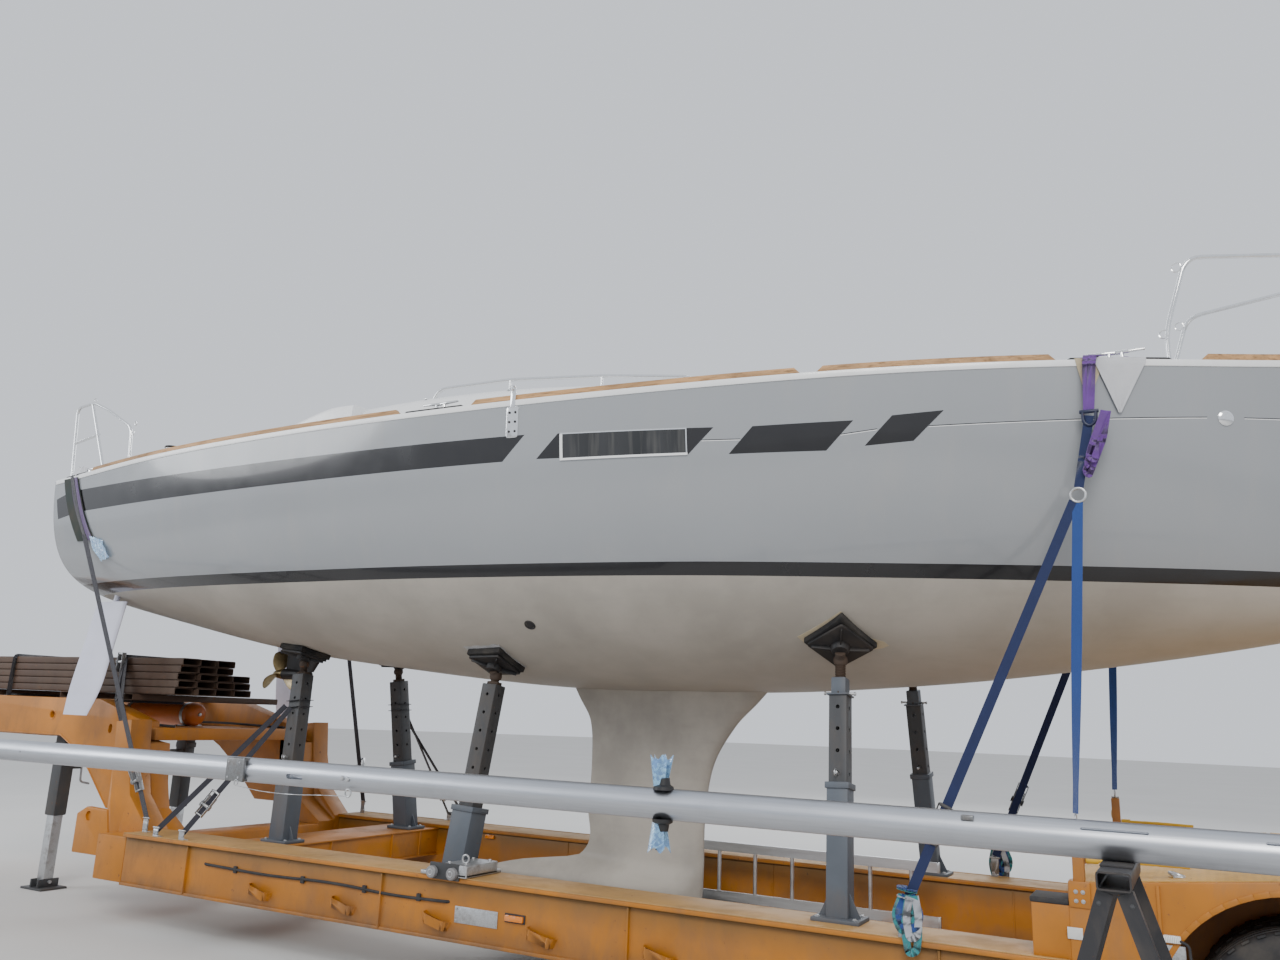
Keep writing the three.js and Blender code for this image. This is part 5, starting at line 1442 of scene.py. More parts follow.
class YACHT_OT_rails(bpy.types.Operator):
    """Bends the guard rails at bow and stern and the hand rails on the roof"""
    bl_idname = "yacht.rails"
    bl_label = "Rails"

    def execute(self, context):
        for name, hand in SIDES:
            self.pulpit(name, hand)
            self.pushpit(name, hand)
            self.hand_rail(name, hand)
        return {"FINISHED"}

    def foot(self, bm, x, y):
        z = deck_z(x, y)
        add_lathe(bm, [(0, -0.006), (0.034, -0.006), (0.034, 0.002), (0.020, 0.006), (0.0165, 0.032),
                       (0.0135, 0.034), (0, 0.034)], (x, y, z), UP, 20)
        for i in range(4):
            turn = math.tau * (i + 0.5) / 4
            add_stud(bm, (x + 0.026 * math.cos(turn), y + 0.026 * math.sin(turn), z + 0.003), UP,
                     0.004, 0.003)

    def pulpit(self, name, hand):
        bm = bmesh.new()
        top = 4.325
        add_tube(bm, [(8.59, hand * 0.475, 3.60), (8.59, hand * 0.475, 3.90), (8.715, hand * 0.485, top),
                      (9.60, hand * 0.150, top), (9.54, hand * 0.180, 3.63)], RAIL, 0.09, 14)
        for x, y in ((8.59, 0.475), (9.54, 0.180)):
            self.foot(bm, x, hand * y)
        add_torus(bm, (8.665, hand * 0.484, 4.272), (0.35, 1, 0.1), 0.026, 0.004)
        add_torus(bm, (8.575, hand * 0.476, 3.885), (0.2, 1, 0), 0.024, 0.004)
        piece(f"pulpit_rail_{name}", bm, "bright_steel", stands_for=(f"pulpit_{name}",))

    def pushpit(self, name, hand):
        inset = 0.095
        bm = bmesh.new()

        def base(x):
            return hand * (deck_edge(x)[0] - inset)

        def height(x):
            return deck_edge(x)[1]
        add_tube(bm, [(0.09, base(0.09), height(0.09)), (0.02, hand * 1.39, 4.16), (0.30, hand * 1.42, 4.165),
                      (0.56, hand * 1.44, 4.06), (0.98, hand * 1.50, 3.85), (1.01, base(1.01), height(1.01))],
                 RAIL, 0.07, 14)
        add_tube(bm, [(0.265, hand * 1.415, 4.16), (0.63, base(0.63), height(0.63))], RAIL, 0.05, 14)
        add_tube(bm, [(0.06, hand * 1.388, 3.83), (0.46, hand * 1.436, 3.86)], RAIL * 0.85, 0.05, 12)
        for x in (0.09, 0.63, 1.01):
            self.foot(bm, x, base(x))
        for x, y, z in ((0.985, 1.492, 3.885), (0.985, 1.500, 3.80)):
            add_torus(bm, (x + 0.03, hand * y, z), (0.2, 1, 0), 0.018, 0.0035)
        add_torus(bm, (0.30, hand * 1.42, 4.19), (0, 1, 0), 0.016, 0.0035)
        piece(f"pushpit_rail_{name}", bm, "bright_steel", stands_for=(f"pushpit_{name}",))

    def hand_rail(self, name, hand):
        bm = bmesh.new()
        add_tube(bm, [(3.72, hand * 1.000, 3.87), (3.80, hand * 0.998, 3.990), (4.42, hand * 0.970, 3.993),
                      (5.13, hand * 0.880, 3.958), (5.76, hand * 0.772, 3.905), (5.84, hand * 0.760, 3.80)],
                 0.013, 0.07, 14)
        for x, y, z in ((4.42, 0.970, 3.990), (5.13, 0.880, 3.955)):
            add_rod(bm, (x, hand * y, z - 0.11), (x, hand * y, z), 0.010, 0.010, 14)
            add_rod(bm, (x, hand * y, z - 0.085), (x, hand * y, z - 0.070), 0.024, 0.012, 16)
        piece(f"roof_rail_{name}", bm, "bright_steel", stands_for=(f"hand_rail_{name}",))


PEDESTAL_X = 0.33                     # of the tiller's axis


class YACHT_OT_deck_gear(bpy.types.Operator):
    """Makes the winches, the tiller with its post and the bow fitting"""
    bl_idname = "yacht.deck_gear"
    bl_label = "Deck gear"

    def execute(self, context):
        for name, hand in SIDES:
            self.winch(name, hand)
        self.tiller()
        self.bow_fitting()
        return {"FINISHED"}

    def winch(self, name, hand):
        place = (1.16, hand * 1.225, 3.6255)
        bm = bmesh.new()
        drum = [(0.047 - 0.006 * math.sin(math.pi * i / 8), 0.034 + 0.056 * i / 8) for i in range(9)]
        add_lathe(bm, [(0, 0), (0.076, 0), (0.077, 0.008), (0.070, 0.018), (0.060, 0.030), (0.050, 0.033),
                       *drum, (0.058, 0.092), (0.060, 0.096), (0, 0.096)], place, UP, 40)
        for i in range(20):
            turn = math.tau * i / 20
            at = Vector(place) + Vector((0.0435 * math.cos(turn), 0.0435 * math.sin(turn), 0.045))
            add_bar(bm, at, at + UP * 0.034, 0.003, 0.004, 0.0005)
        piece(f"winch_drum_{name}", bm, "winch_chrome", stands_for=(f"winch_{name}",))
        bm = bmesh.new()
        add_lathe(bm, [(0, 0.095), (0.060, 0.095), (0.064, 0.098), (0.050, 0.102), (0.064, 0.106),
                       (0.060, 0.111), (0.022, 0.1123), (0.016, 0.106), (0, 0.106)], place, UP, 32)
        piece(f"winch_top_{name}", bm, "pad_rubber")

    def tiller(self):
        bm = bmesh.new()
        corners = rounded([(PEDESTAL_X, 0, 3.49), (0.90, 0, 3.505), (1.48, 0, 3.58)], 0.28, 12)
        stations = len(corners) - 1

        def ring_at(u):
            i = round(u * stations)
            ahead = (corners[min(i + 1, stations)] - corners[max(i - 1, 0)]).normalized()
            above = ahead.cross(Vector((0, -1, 0)))
            half, tall = 0.021 - 0.007 * u, 0.027 - 0.009 * u
            ring = rounded_ring(((-half, -tall), (half, -tall), (half, tall), (-half, tall)), 0.012, 4)
            return [corners[i] + Vector((0, across, 0)) + above * up for across, up in ring]
        add_loft(bm, stations, ring_at)
        add_rod(bm, (1.465, 0, 3.578), (1.50, 0, 3.583), 0.020, 0.016, 16, 0.006)
        piece("tiller_arm_teak", bm, "teak_wood", body="tiller_arm", stands_for=("tiller",))
        bm = bmesh.new()
        add_lathe(bm, [(0, 3.4405), (0.042, 3.4405), (0.044, 3.450), (0.040, 3.462), (0.030, 3.466),
                       (0.030, 3.512), (0.026, 3.519), (0, 3.519)], (PEDESTAL_X, 0, 0), UP, 28)
        for y in (-0.027, 0.027):
            add_bar(bm, (0.31, y, 3.494), (0.47, y, 3.497), 0.006, 0.034, 0.002)
            for x in (0.36, 0.43):
                add_stud(bm, (x, y, 3.495), (0, y, 0), 0.008, 0.005)
        piece("tiller_head", bm, "bright_steel", body="tiller_arm")
        bm = bmesh.new()
        add_lathe(bm, [(0, 3.0205), (0.088, 3.0205), (0.090, 3.030), (0.066, 3.040), (0.047, 3.055),
                       (0.044, 3.30), (0.044, 3.425), (0.040, 3.4395), (0, 3.4395)], (PEDESTAL_X, 0, 0), UP,
                  32)
        for i in range(6):
            turn = math.tau * i / 6
            add_stud(bm, (PEDESTAL_X + 0.075 * math.cos(turn), 0.075 * math.sin(turn), 3.033), UP,
                     0.007, 0.006)
        piece("tiller_pedestal", bm, "bright_steel", stands_for=("tiller_post",))

    def bow_fitting(self):
        base = 3.6435
        bm = bmesh.new()
        add_box(bm, (9.70, -0.055, base), (10.055, 0.055, base + 0.012), 0.003)
        cheek = [(9.72, base + 0.005), (10.05, base + 0.005), (10.058, base + 0.05), (10.03, base + 0.078),
                 (9.90, base + 0.075), (9.76, base + 0.03)]
        for _, hand in SIDES:
            outline = [(x, hand * 0.047, z) for x, z in rounded_ring(cheek, 0.02, 3)]
            add_plate(bm, outline, Vector((0, hand * 0.007, 0)), 0.0015)
            for x in (9.75, 9.84):
                add_stud(bm, (x, hand * 0.028, base + 0.012), UP, 0.007, 0.004)
        add_rod(bm, (10.03, -0.056, base + 0.05), (10.03, 0.056, base + 0.05), 0.008)
        piece("stem_head", bm, "bright_steel", stands_for=("bow_fitting",))
        bm = bmesh.new()
        add_lathe(bm, [(0.009, -0.043), (0.030, -0.043), (0.026, -0.03), (0.014, 0), (0.026, 0.03),
                       (0.030, 0.043), (0.009, 0.043)], (10.03, 0, base + 0.05), (0, 1, 0), 28)
        piece("anchor_roller", bm, "pad_rubber")


# Keel, rudders and drive: z, aft end, fore end, thickness
KEEL_SECTIONS = (
    (0.410, 4.150, 5.500, 0.130),
    (0.460, 3.950, 5.550, 0.300),
    (0.540, 3.810, 5.565, 0.370),
    (0.620, 4.100, 5.570, 0.280),
    (0.700, 4.600, 5.575, 0.150),
    (1.040, 4.655, 5.580, 0.140),
    (1.380, 4.668, 5.640, 0.150),
    (1.640, 4.640, 5.800, 0.170),
    (1.800, 4.540, 5.960, 0.220),
    (1.990, 4.430, 6.130, 0.330),
)
# share of the chord from the fore end, share of the half thickness
FOIL = ((0, 0.10), (0.015, 0.32), (0.06, 0.62), (0.30, 1), (0.65, 0.75), (1, 0.08))
FOIL_STEPS = (0, 0.006, 0.015, 0.035, 0.06, 0.11, 0.2, 0.3, 0.42, 0.54, 0.65, 0.76, 0.88, 1)
STOCK_HEAD, STOCK_FOOT = Vector((0.430, 0.990, 2.700)), Vector((0.395, 1.150, 1.560))
# share of the way down the stock, chord ahead of it, chord behind it, thickness
BLADE_SECTIONS = (
    (0.20, 0.150, 0.250, 0.056),
    (0.55, 0.150, 0.260, 0.050),
    (0.84, 0.145, 0.270, 0.040),
    (1.04, 0.070, 0.250, 0.026),
)
RUDDER_ROOM = 0.018                   # between a blade and the hull over it
SHAFT_X, SHAFT_Z = 1.440, 1.925
# distance from the shaft, half chord, thickness, pitch in degrees
SCREW_SECTIONS = ((0.020, 0.030, 0.014, 58), (0.080, 0.060, 0.011, 40), (0.140, 0.066, 0.008, 30),
                  (0.185, 0.050, 0.006, 25), (0.199, 0.022, 0.004, 23))
BLADES = 3


def bottom_z(x, y):
    """Height of the hull's underside over a place on the ground."""
    row = smooth_row(HULL_SECTIONS, max(x, 0.0))
    low, high = 0.35, 1.0
    for _ in range(24):
        middle = (low + high) / 2
        if hull_point(x, middle, 1, row).y > abs(y):
            low = middle
        else:
            high = middle
    return hull_point(x, low, 1, row).z


def bottom_out(x, y):
    """The way down and out of the hull's underside."""
    step = 0.08
    run = (bottom_z(x + step, y) - bottom_z(x - step, y)) / (2 * step)
    rise = (bottom_z(x, y + step) - bottom_z(x, y - step)) / (2 * step)
    return Vector((run, rise, -1)).normalized()


def foil_ring(aft, fore, thick, y, height):
    """An aerofoil section on the ground plan, whose points get their height from a function."""
    ring = []
    for side, steps in ((1, FOIL_STEPS), (-1, FOIL_STEPS[::-1])):
        for share in steps:
            x = fore + (aft - fore) * share
            across = y + side * thick / 2 * smooth_row(FOIL, share)[1]
            ring.append(Vector((x, across, height(x, across))))
    return ring


class YACHT_OT_underwater(bpy.types.Operator):
    """Builds the keel with its bulb, the rudders, the drive leg and its propeller"""
    bl_idname = "yacht.underwater"
    bl_label = "Keel, rudders and drive"

    def execute(self, context):
        self.keel()
        for name, hand in SIDES:
            self.rudder(name, hand)
        self.drive()
        self.propeller()
        return {"FINISHED"}

    def keel(self):
        bm = bmesh.new()
        low, high = KEEL_SECTIONS[0][0], KEEL_SECTIONS[-1][0]

        def ring_at(u):
            z, aft, fore, thick = smooth_row(KEEL_SECTIONS, low + (high - low) * u)
            return foil_ring(aft, fore, thick, 0, lambda x, y: z)
        add_loft(bm, 60, ring_at)
        piece("keel_and_bulb", bm, "keel_primer", stands_for=("keel",), crease=50)

    def rudder(self, name, hand):
        bm = bmesh.new()
        first, last = BLADE_SECTIONS[0][0], BLADE_SECTIONS[-1][0]

        def ring_at(u):
            share, ahead, behind, thick = smooth_row(BLADE_SECTIONS, first + (last - first) * u)
            at = STOCK_HEAD.lerp(STOCK_FOOT, share)
            return foil_ring(at.x - behind, at.x + ahead, thick, hand * at.y,
                             lambda x, y: min(at.z, bottom_z(x, y) - RUDDER_ROOM))
        add_loft(bm, 30, ring_at)
        mirror = Vector((1, hand, 1))
        add_rod(bm, STOCK_HEAD * mirror, STOCK_HEAD.lerp(STOCK_FOOT, 0.3) * mirror, 0.024, sides=24)
        piece(f"rudder_blade_and_stock_{name}", bm, "rudder_primer", body=f"rudder_blade_{name}",
              stands_for=(f"rudder_{name}",), crease=50)

    def drive(self):
        bm = bmesh.new()

        def leg(u):
            # height, chord and thickness, at the hull and down at the shaft
            ends = (2.19, 0.50, 0.110), (SHAFT_Z + 0.02, 0.33, 0.060)
            z, chord, thick = (a + (b - a) * u for a, b in zip(*ends))
            return foil_ring(SHAFT_X + 0.02, SHAFT_X + 0.02 + chord, thick, 0, lambda x, y: z)
        add_loft(bm, 12, leg)
        add_lathe(bm, [(0, 0), (0.047, 0.001), (0.048, 0.02), (0.048, 0.12), (0.043, 0.22), (0.032, 0.30),
                       (0.018, 0.33), (0, 0.338)], (SHAFT_X, 0, SHAFT_Z), (1, 0, 0), 32)
        add_box(bm, (SHAFT_X + 0.20, -0.012, SHAFT_Z - 0.075), (SHAFT_X + 0.30, 0.012, SHAFT_Z - 0.02), 0.008)
        piece("drive_leg", bm, "drive_black", stands_for=("saildrive",))
        bm = bmesh.new()
        add_plate(bm, [Vector((SHAFT_X + 0.25 + 0.30 * math.cos(turn), 0.13 * math.sin(turn), 2.105))
                       for turn in (math.tau * i / 32 for i in range(32))], Vector((0, 0, 0.03)), 0.006)
        piece("drive_seal", bm, "pad_rubber")

    def propeller(self):
        bm = bmesh.new()
        add_lathe(bm, [(0, 0), (0.016, 0.002), (0.028, 0.018), (0.036, 0.05), (0.043, 0.10), (0.044, 0.127),
                       (0, 0.1285)], (SHAFT_X - 0.13, 0, SHAFT_Z), (1, 0, 0), 32)
        middle = Vector((SHAFT_X - 0.065, 0, SHAFT_Z))
        for i in range(BLADES):
            turn = Matrix.Rotation(math.tau * i / BLADES, 3, "X")

            def ring_at(u):
                reach = SCREW_SECTIONS[0][0] + (SCREW_SECTIONS[-1][0] - SCREW_SECTIONS[0][0]) * u
                _, half, thick, pitch = smooth_row(SCREW_SECTIONS, reach)
                lean = math.radians(pitch)
                along = Vector((math.sin(lean), math.cos(lean), 0))
                across = Vector((-math.cos(lean), math.sin(lean), 0))
                ring = [along * half * math.cos(a) + across * thick / 2 * math.sin(a) + UP * reach
                        for a in (math.tau * k / 16 for k in range(16))]
                return [middle + turn @ point for point in ring]
            add_loft(bm, 12, ring_at)
        piece("three_bladed_screw", bm, "propeller_bronze", body="screw", stands_for=("propeller",),
              crease=40)


# Trailer bed and neck
# ends of the beams in the yacht's frame, in which the trailer's nose points aft
BEAM_AFT, BEAM_FORE = 7.995, 1.340
BEAM_LOW, BEAM_TOP = 0.300, 0.670
WEB_FACE, BETWEEN_BEAMS = 1.270, 0.949      # how far out the outer webs and the ends of the bearers are
STRAP_PLACES = (2.730, 3.500, 4.270, 5.040, 5.810, 6.580, 7.350)
# x, off the web, z of the cable along the beam
CABLE = ((2.240, -0.010, 0.536), (2.260, 0.005, 0.535), (2.900, 0.005, 0.520), (3.470, 0.005, 0.540),
         (4.000, 0.005, 0.515), (4.430, 0.005, 0.526), (4.450, -0.010, 0.526))
NECK_OUTLINE = ((-2.300, 1.370), (-2.300, 1.650), (0.170, 1.650), (0.790, 1.482), (0.870, 0.760),
                (0.460, 0.760), (0.348, 0.861), (0.143, 1.053), (-0.127, 1.232), (-0.315, 1.322),
                (-1.900, 1.322))
RISER_OUTLINE = ((0.760, 1.480), (0.950, 1.500), (0.985, 1.200), (1.060, 0.920), (1.340, 0.660),
                 (1.340, 0.300), (0.900, 0.300), (0.860, 0.640), (0.800, 0.820), (0.790, 1.180))
RISER_INNER = ((0.720, 1.340), (0.960, 1.310), (1.000, 1.000), (1.060, 0.800), (1.340, 0.620), (1.340, 0.300),
               (0.900, 0.300), (0.860, 0.640), (0.760, 0.820))
LUG_OUTLINE = ((0.465, 0.440), (0.465, 0.740), (0.580, 0.800), (0.840, 0.790), (0.880, 0.640), (0.920, 0.440))
CHEEK_OUT, CHEEK_IN = 0.860, 0.700
CHEEK_HOLE, LUG_HOLE = (-0.47, 1.50), (0.62, 0.730)
TANK_Z = 1.540
# height of each layer of spare beams, and how many lie in it
SPARE_ROWS = ((1.7070, 4), (1.7690, 4), (1.8310, 4), (1.8930, 3), (1.9550, 3))
SPARE_WIDTH, SPARE_HIGH, SPARE_WALL = 0.186, 0.060, 0.007


def side_outline(points, y):
    return [Vector((x, y, z)) for x, z in points]


def add_bolts(bm, places, out, radius=0.014, height=0.010):
    """Hexagonal heads on washers."""
    out = Vector(out)
    for place in places:
        place = Vector(place)
        add_rod(bm, place - out * 0.001, place + out * 0.003, radius * 1.35, sides=16)
        add_rod(bm, place, place + out * height, radius, sides=6, edge=0.0015)


def add_hollow_beam(bm, x0, x1, y, z, width, high, wall):
    """A box section that is open at its ends."""
    outer = rounded_ring(((-width / 2, 0, 0), (width / 2, 0, 0), (width / 2, high, 0), (-width / 2, high, 0)),
                         0.012)
    inner = rounded_ring(((wall - width / 2, wall, 0), (width / 2 - wall, wall, 0),
                          (width / 2 - wall, high - wall, 0), (wall - width / 2, high - wall, 0)), 0.006)
    count = len(outer)
    # round the outside at one end, along to the other, and back along the inside
    loops = ((outer, x0), (outer, x1), (inner, x1), (inner, x0))

    def place(u, v):
        ring, x = loops[round(u * 4) % 4]
        point = ring[round(v * count) % count]
        return Vector((x, y + point.x, z + point.y))
    verts = add_patch(bm, 4, count, place)
    bmesh.ops.remove_doubles(bm, verts=verts, dist=0.00002)


class YACHT_OT_trailer_bed(bpy.types.Operator):
    """Builds the trailer's side beams with their straps, cable and lamps, and the bearers between them"""
    bl_idname = "yacht.trailer_bed"
    bl_label = "Trailer bed"

    def execute(self, context):
        for name, hand in SIDES:
            self.beam(name, hand)
        self.bearers()
        return {"FINISHED"}

    def beam(self, name, hand):
        bm = bmesh.new()
        add_side_box(bm, hand, BEAM_FORE, BEAM_AFT, 0.95, WEB_FACE, BEAM_LOW, BEAM_TOP - 0.027, 0.012)
        add_side_box(bm, hand, BEAM_FORE, BEAM_AFT, 0.930, 1.300, BEAM_TOP - 0.026, BEAM_TOP, 0.005)
        add_side_box(bm, hand, BEAM_FORE, BEAM_AFT, 0.940, 1.280, BEAM_LOW, BEAM_LOW + 0.022, 0.005)
        for x in (2.05, 3.90, 5.70, 7.40):
            add_side_box(bm, hand, x, x + 0.012, 0.945, WEB_FACE + 0.018, BEAM_LOW + 0.01, BEAM_TOP - 0.03,
                         0.003)
        piece(f"beam_{name}", bm, "beam_paint", stands_for=(f"side_beam_{name}",))
        bm = bmesh.new()
        # the top plates take the lighter copy of the trailer's paint: painted light on the beams' top
        add_side_box(bm, hand, BEAM_FORE + 0.005, BEAM_AFT - 0.005, 0.934, 1.262, BEAM_TOP, BEAM_TOP + 0.004,
                     0.0015)
        add_side_box(bm, hand, BEAM_FORE + 0.005, BEAM_AFT - 0.005, 1.272, 1.299, BEAM_TOP, BEAM_TOP + 0.006,
                     0.002)
        piece(f"beam_tread_{name}", bm, "beam_top")
        bm = bmesh.new()
        for x in STRAP_PLACES:
            # along the beam and off its web
            route = ((0, -0.006), (0.015, 0.044), (0.175, 0.044), (0.190, -0.006))
            corners = [(x + dx, hand * (WEB_FACE + off), 0.43 - 0.045 * dx / 0.19) for dx, off in route]
            add_swept(bm, rounded(corners, 0.03, 4),
                      [(-0.004, -0.03), (0.004, -0.03), (0.004, 0.03), (-0.004, 0.03)])
        piece(f"beam_loops_{name}", bm, "trailer_paint")
        bm = bmesh.new()
        add_tube(bm, [(x, hand * (WEB_FACE + off + 0.004), z) for x, off, z in CABLE], 0.009, 0.25, 10)
        for x in (2.55, 3.2, 3.75, 4.2):
            add_side_box(bm, hand, x, x + 0.03, WEB_FACE, WEB_FACE + 0.016, 0.505, 0.550, 0.003)
        piece(f"beam_cable_{name}", bm, "pad_rubber")
        bm = bmesh.new()
        add_side_box(bm, hand, 4.50, 4.82, WEB_FACE, WEB_FACE + 0.005, 0.415, 0.510, 0.002)
        add_bolts(bm, [(x, hand * (WEB_FACE + 0.005), z) for x in (4.515, 4.805) for z in (0.430, 0.495)],
                  (0, hand, 0), 0.005, 0.004)
        piece(f"beam_plate_{name}", bm, "galvanised")
        bm = bmesh.new()
        add_side_box(bm, hand, 4.88, 5.01, WEB_FACE + 0.004, WEB_FACE + 0.022, 0.470, 0.505, 0.006)
        for x in (3.07, 6.2):
            add_side_box(bm, hand, x, x + 0.09, 0.931, 0.95, 0.60, 0.63, 0.004)
        piece(f"side_lamps_{name}", bm, "amber_lens")
        bm = bmesh.new()
        add_side_box(bm, hand, 4.872, 5.018, WEB_FACE, WEB_FACE + 0.006, 0.462, 0.513, 0.002)
        piece(f"side_lamp_base_{name}", bm, "pad_rubber")

    def bearers(self):
        bm = bmesh.new()
        add_box(bm, (4.10, -BETWEEN_BEAMS, 0.302), (5.40, BETWEEN_BEAMS, 0.340), 0.006)
        for y in (-0.60, -0.20, 0.18, 0.58):
            add_box(bm, (4.10, y, 0.338), (5.40, y + 0.02, 0.397), 0.003)
        for x in (4.10, 4.74, 5.38):
            add_box(bm, (x, -BETWEEN_BEAMS, 0.338), (x + 0.02, BETWEEN_BEAMS, 0.397), 0.003)
        add_box(bm, (4.16, -0.20, 0.340), (5.50, 0.20, 0.394), 0.006)
        piece("keel_bed", bm, "post_steel", stands_for=("keel_bearer",))
        bm = bmesh.new()
        add_box(bm, (4.15, -0.195, 0.394), (5.49, 0.195, 0.409), 0.005)
        piece("keel_bed_mat", bm, "pad_rubber")
        bm = bmesh.new()
        for x0, x1, low, high in ((6.60, 6.90, 0.302, 0.397), (2.05, 2.55, 0.420, 0.6445)):
            thin = 0.012
            add_box(bm, (x0, -BETWEEN_BEAMS, high - thin), (x1, BETWEEN_BEAMS, high), 0.003)
            add_box(bm, (x0, -BETWEEN_BEAMS, low), (x1, BETWEEN_BEAMS, low + thin), 0.003)
            for x in (x0 + 0.015, x1 - 0.025):
                add_box(bm, (x, -BETWEEN_BEAMS, low + 0.004), (x + 0.01, BETWEEN_BEAMS, high - 0.004), 0.002)
            for y in (-0.7, -0.35, 0.35, 0.7):
                add_box(bm, (x0 + 0.004, y, low + 0.004), (x1 - 0.004, y + 0.012, high - 0.004), 0.002)
        piece("cross_bearers", bm, "trailer_paint", stands_for=("fore_bearer", "post_bearer"))


class YACHT_OT_neck(bpy.types.Operator):
    """Builds the neck with its legs, air tank and the beams stowed on it"""
    bl_idname = "yacht.neck"
    bl_label = "Neck"

    def execute(self, context):
        for name, hand in SIDES:
            self.cheek(name, hand)
            self.leg(name, hand)
        self.frame()
        self.tank()
        self.spare_beams()
        return {"FINISHED"}

    def cheek(self, name, hand):
        bm = bmesh.new()
        add_plate(bm, side_outline(NECK_OUTLINE, hand * CHEEK_IN), Vector((0, hand * 0.158, 0)), 0.010)
        cheek = piece(f"neck_cheek_{name}", bm, "trailer_paint")
        bm = bmesh.new()
        out = hand * (CHEEK_OUT + 0.1)
        x, z = CHEEK_HOLE
        add_rod(bm, (x, hand * (CHEEK_OUT - 0.09), z), (x, out, z), 0.030, sides=24)
        add_side_box(bm, hand, 0.341, 0.389, CHEEK_OUT - 0.0901, CHEEK_OUT + 0.1, 1.368, 1.448, 0.0235)
        cut_out(cheek, bm)
        bm = bmesh.new()
        for points, y, width in ((RISER_OUTLINE, 0.895, 0.193), (RISER_INNER, CHEEK_IN, 0.200),
                                 (LUG_OUTLINE, 1.06, 0.05)):
            add_plate(bm, side_outline(points, hand * y), Vector((0, hand * width, 0)), 0.008)
        riser = piece(f"neck_riser_{name}", bm, "trailer_paint")
        bm = bmesh.new()
        x, z = LUG_HOLE
        add_rod(bm, (x, hand * 1.092, z), (x, hand * 1.3, z), 0.038, sides=24)
        cut_out(riser, bm)
        bm = bmesh.new()
        edge = hand * (CHEEK_OUT - 0.002)
        # a bead of weld along the lower edge, and a raised ring round the hole
        add_tube(bm, [(-1.88, edge, 1.330), (-0.31, edge, 1.330), (-0.12, edge, 1.242), (0.15, edge, 1.063),
                      (0.355, edge, 0.870), (0.462, edge, 0.770)], 0.006, 0.02, 8)
        add_torus(bm, (CHEEK_HOLE[0], edge, CHEEK_HOLE[1]), (0, 1, 0), 0.040, 0.005)
        piece(f"neck_welds_{name}", bm, "trailer_paint")

    def frame(self):
        bm = bmesh.new()
        for x0, x1 in ((-2.30, -1.90), (-0.64, -0.44), (0.22, 0.38), (0.56, 0.90)):
            add_box(bm, (x0, -0.81, 1.331), (x1, 0.81, 1.433), 0.008)
        add_box(bm, (1.0, -1.0, 0.322), (1.339, 1.0, 0.60), 0.010)
        add_box(bm, (-2.0, -0.5, 1.291), (-1.0, 0.5, 1.331), 0.006)
        add_box(bm, (-2.0, -0.5, 1.32), (-1.9, 0.5, 1.40), 0.006)
        for y in (-0.70, 0.70):
            add_box(bm, (-2.28, y - 0.02, 1.34), (0.80, y + 0.02, 1.42), 0.005)
        for _, hand in SIDES:
            add_side_box(bm, hand, 1.0, 1.339, 0.90, 1.268, 0.312, 0.640, 0.010)
        piece("neck_frame", bm, "trailer_paint", stands_for=("neck",))
        bm = bmesh.new()
        add_lathe(bm, [(0, 0), (0.036, 0.001), (0.045, 0.010), (0.045, 0.024), (0.033, 0.032), (0.033, 0.058),
                       (0.050, 0.068), (0.050, 0.090), (0, 0.090)], (-1.5, 0, 1.2105), UP, 32)
        piece("coupling_pin", bm, "galvanised")
        bm = bmesh.new()
        for y in (-0.66, 0.66):
            add_tube(bm, [(-2.1, y, 1.46), (-0.3, y, 1.455), (0.1, y * 0.9, 1.46), (0.86, y * 0.92, 1.445)],
                     0.011, 0.1)
        for y, z in ((-0.30, 1.47), (-0.22, 1.47), (0.26, 1.47)):
            add_rod(bm, (-2.302, y, z - 0.03), (-2.262, y, z - 0.03), 0.020, 0.016, 16, 0.003)
        piece("neck_air_lines", bm, "pad_rubber")

    def leg(self, name, hand):
        bm = bmesh.new()
        add_side_box(bm, hand, -0.61, -0.47, 0.578, 0.699, 0.62, 1.329, 0.012)
        add_side_box(bm, hand, -0.625, -0.455, 0.585, 0.6995, 1.20, 1.25, 0.006)
        add_side_box(bm, hand, -0.60, -0.48, 0.500, 0.578, 1.02, 1.18, 0.008)
        add_side_box(bm, hand, -0.69, -0.39, 0.518, 0.759, 0.0, 0.018, 0.004)
        for x in (-0.60, -0.50):
            add_side_box(bm, hand, x, x + 0.02, 0.545, 0.735, 0.016, 0.085, 0.005)
        piece(f"landing_leg_case_{name}", bm, "post_steel", stands_for=(f"landing_leg_{name}",))
        bm = bmesh.new()
        add_side_box(bm, hand, -0.59, -0.49, 0.593, 0.685, 0.04, 0.66, 0.008)
        add_rod(bm, (-0.62, hand * 0.638, 0.060), (-0.46, hand * 0.638, 0.060), 0.014, sides=16)
        add_tube(bm, [(-0.54, hand * 0.50, 1.12), (-0.54, hand * 0.46, 1.12), (-0.54, hand * 0.45, 0.90),
                      (-0.54, hand * 0.36, 0.88)], 0.010, 0.03)
        add_bolts(bm, [(-0.58 + dx, hand * 0.500, z) for dx in (0, 0.08) for z in (1.05, 1.15)],
                  (0, -hand, 0), 0.007)
        piece(f"landing_leg_inner_{name}", bm, "galvanised")

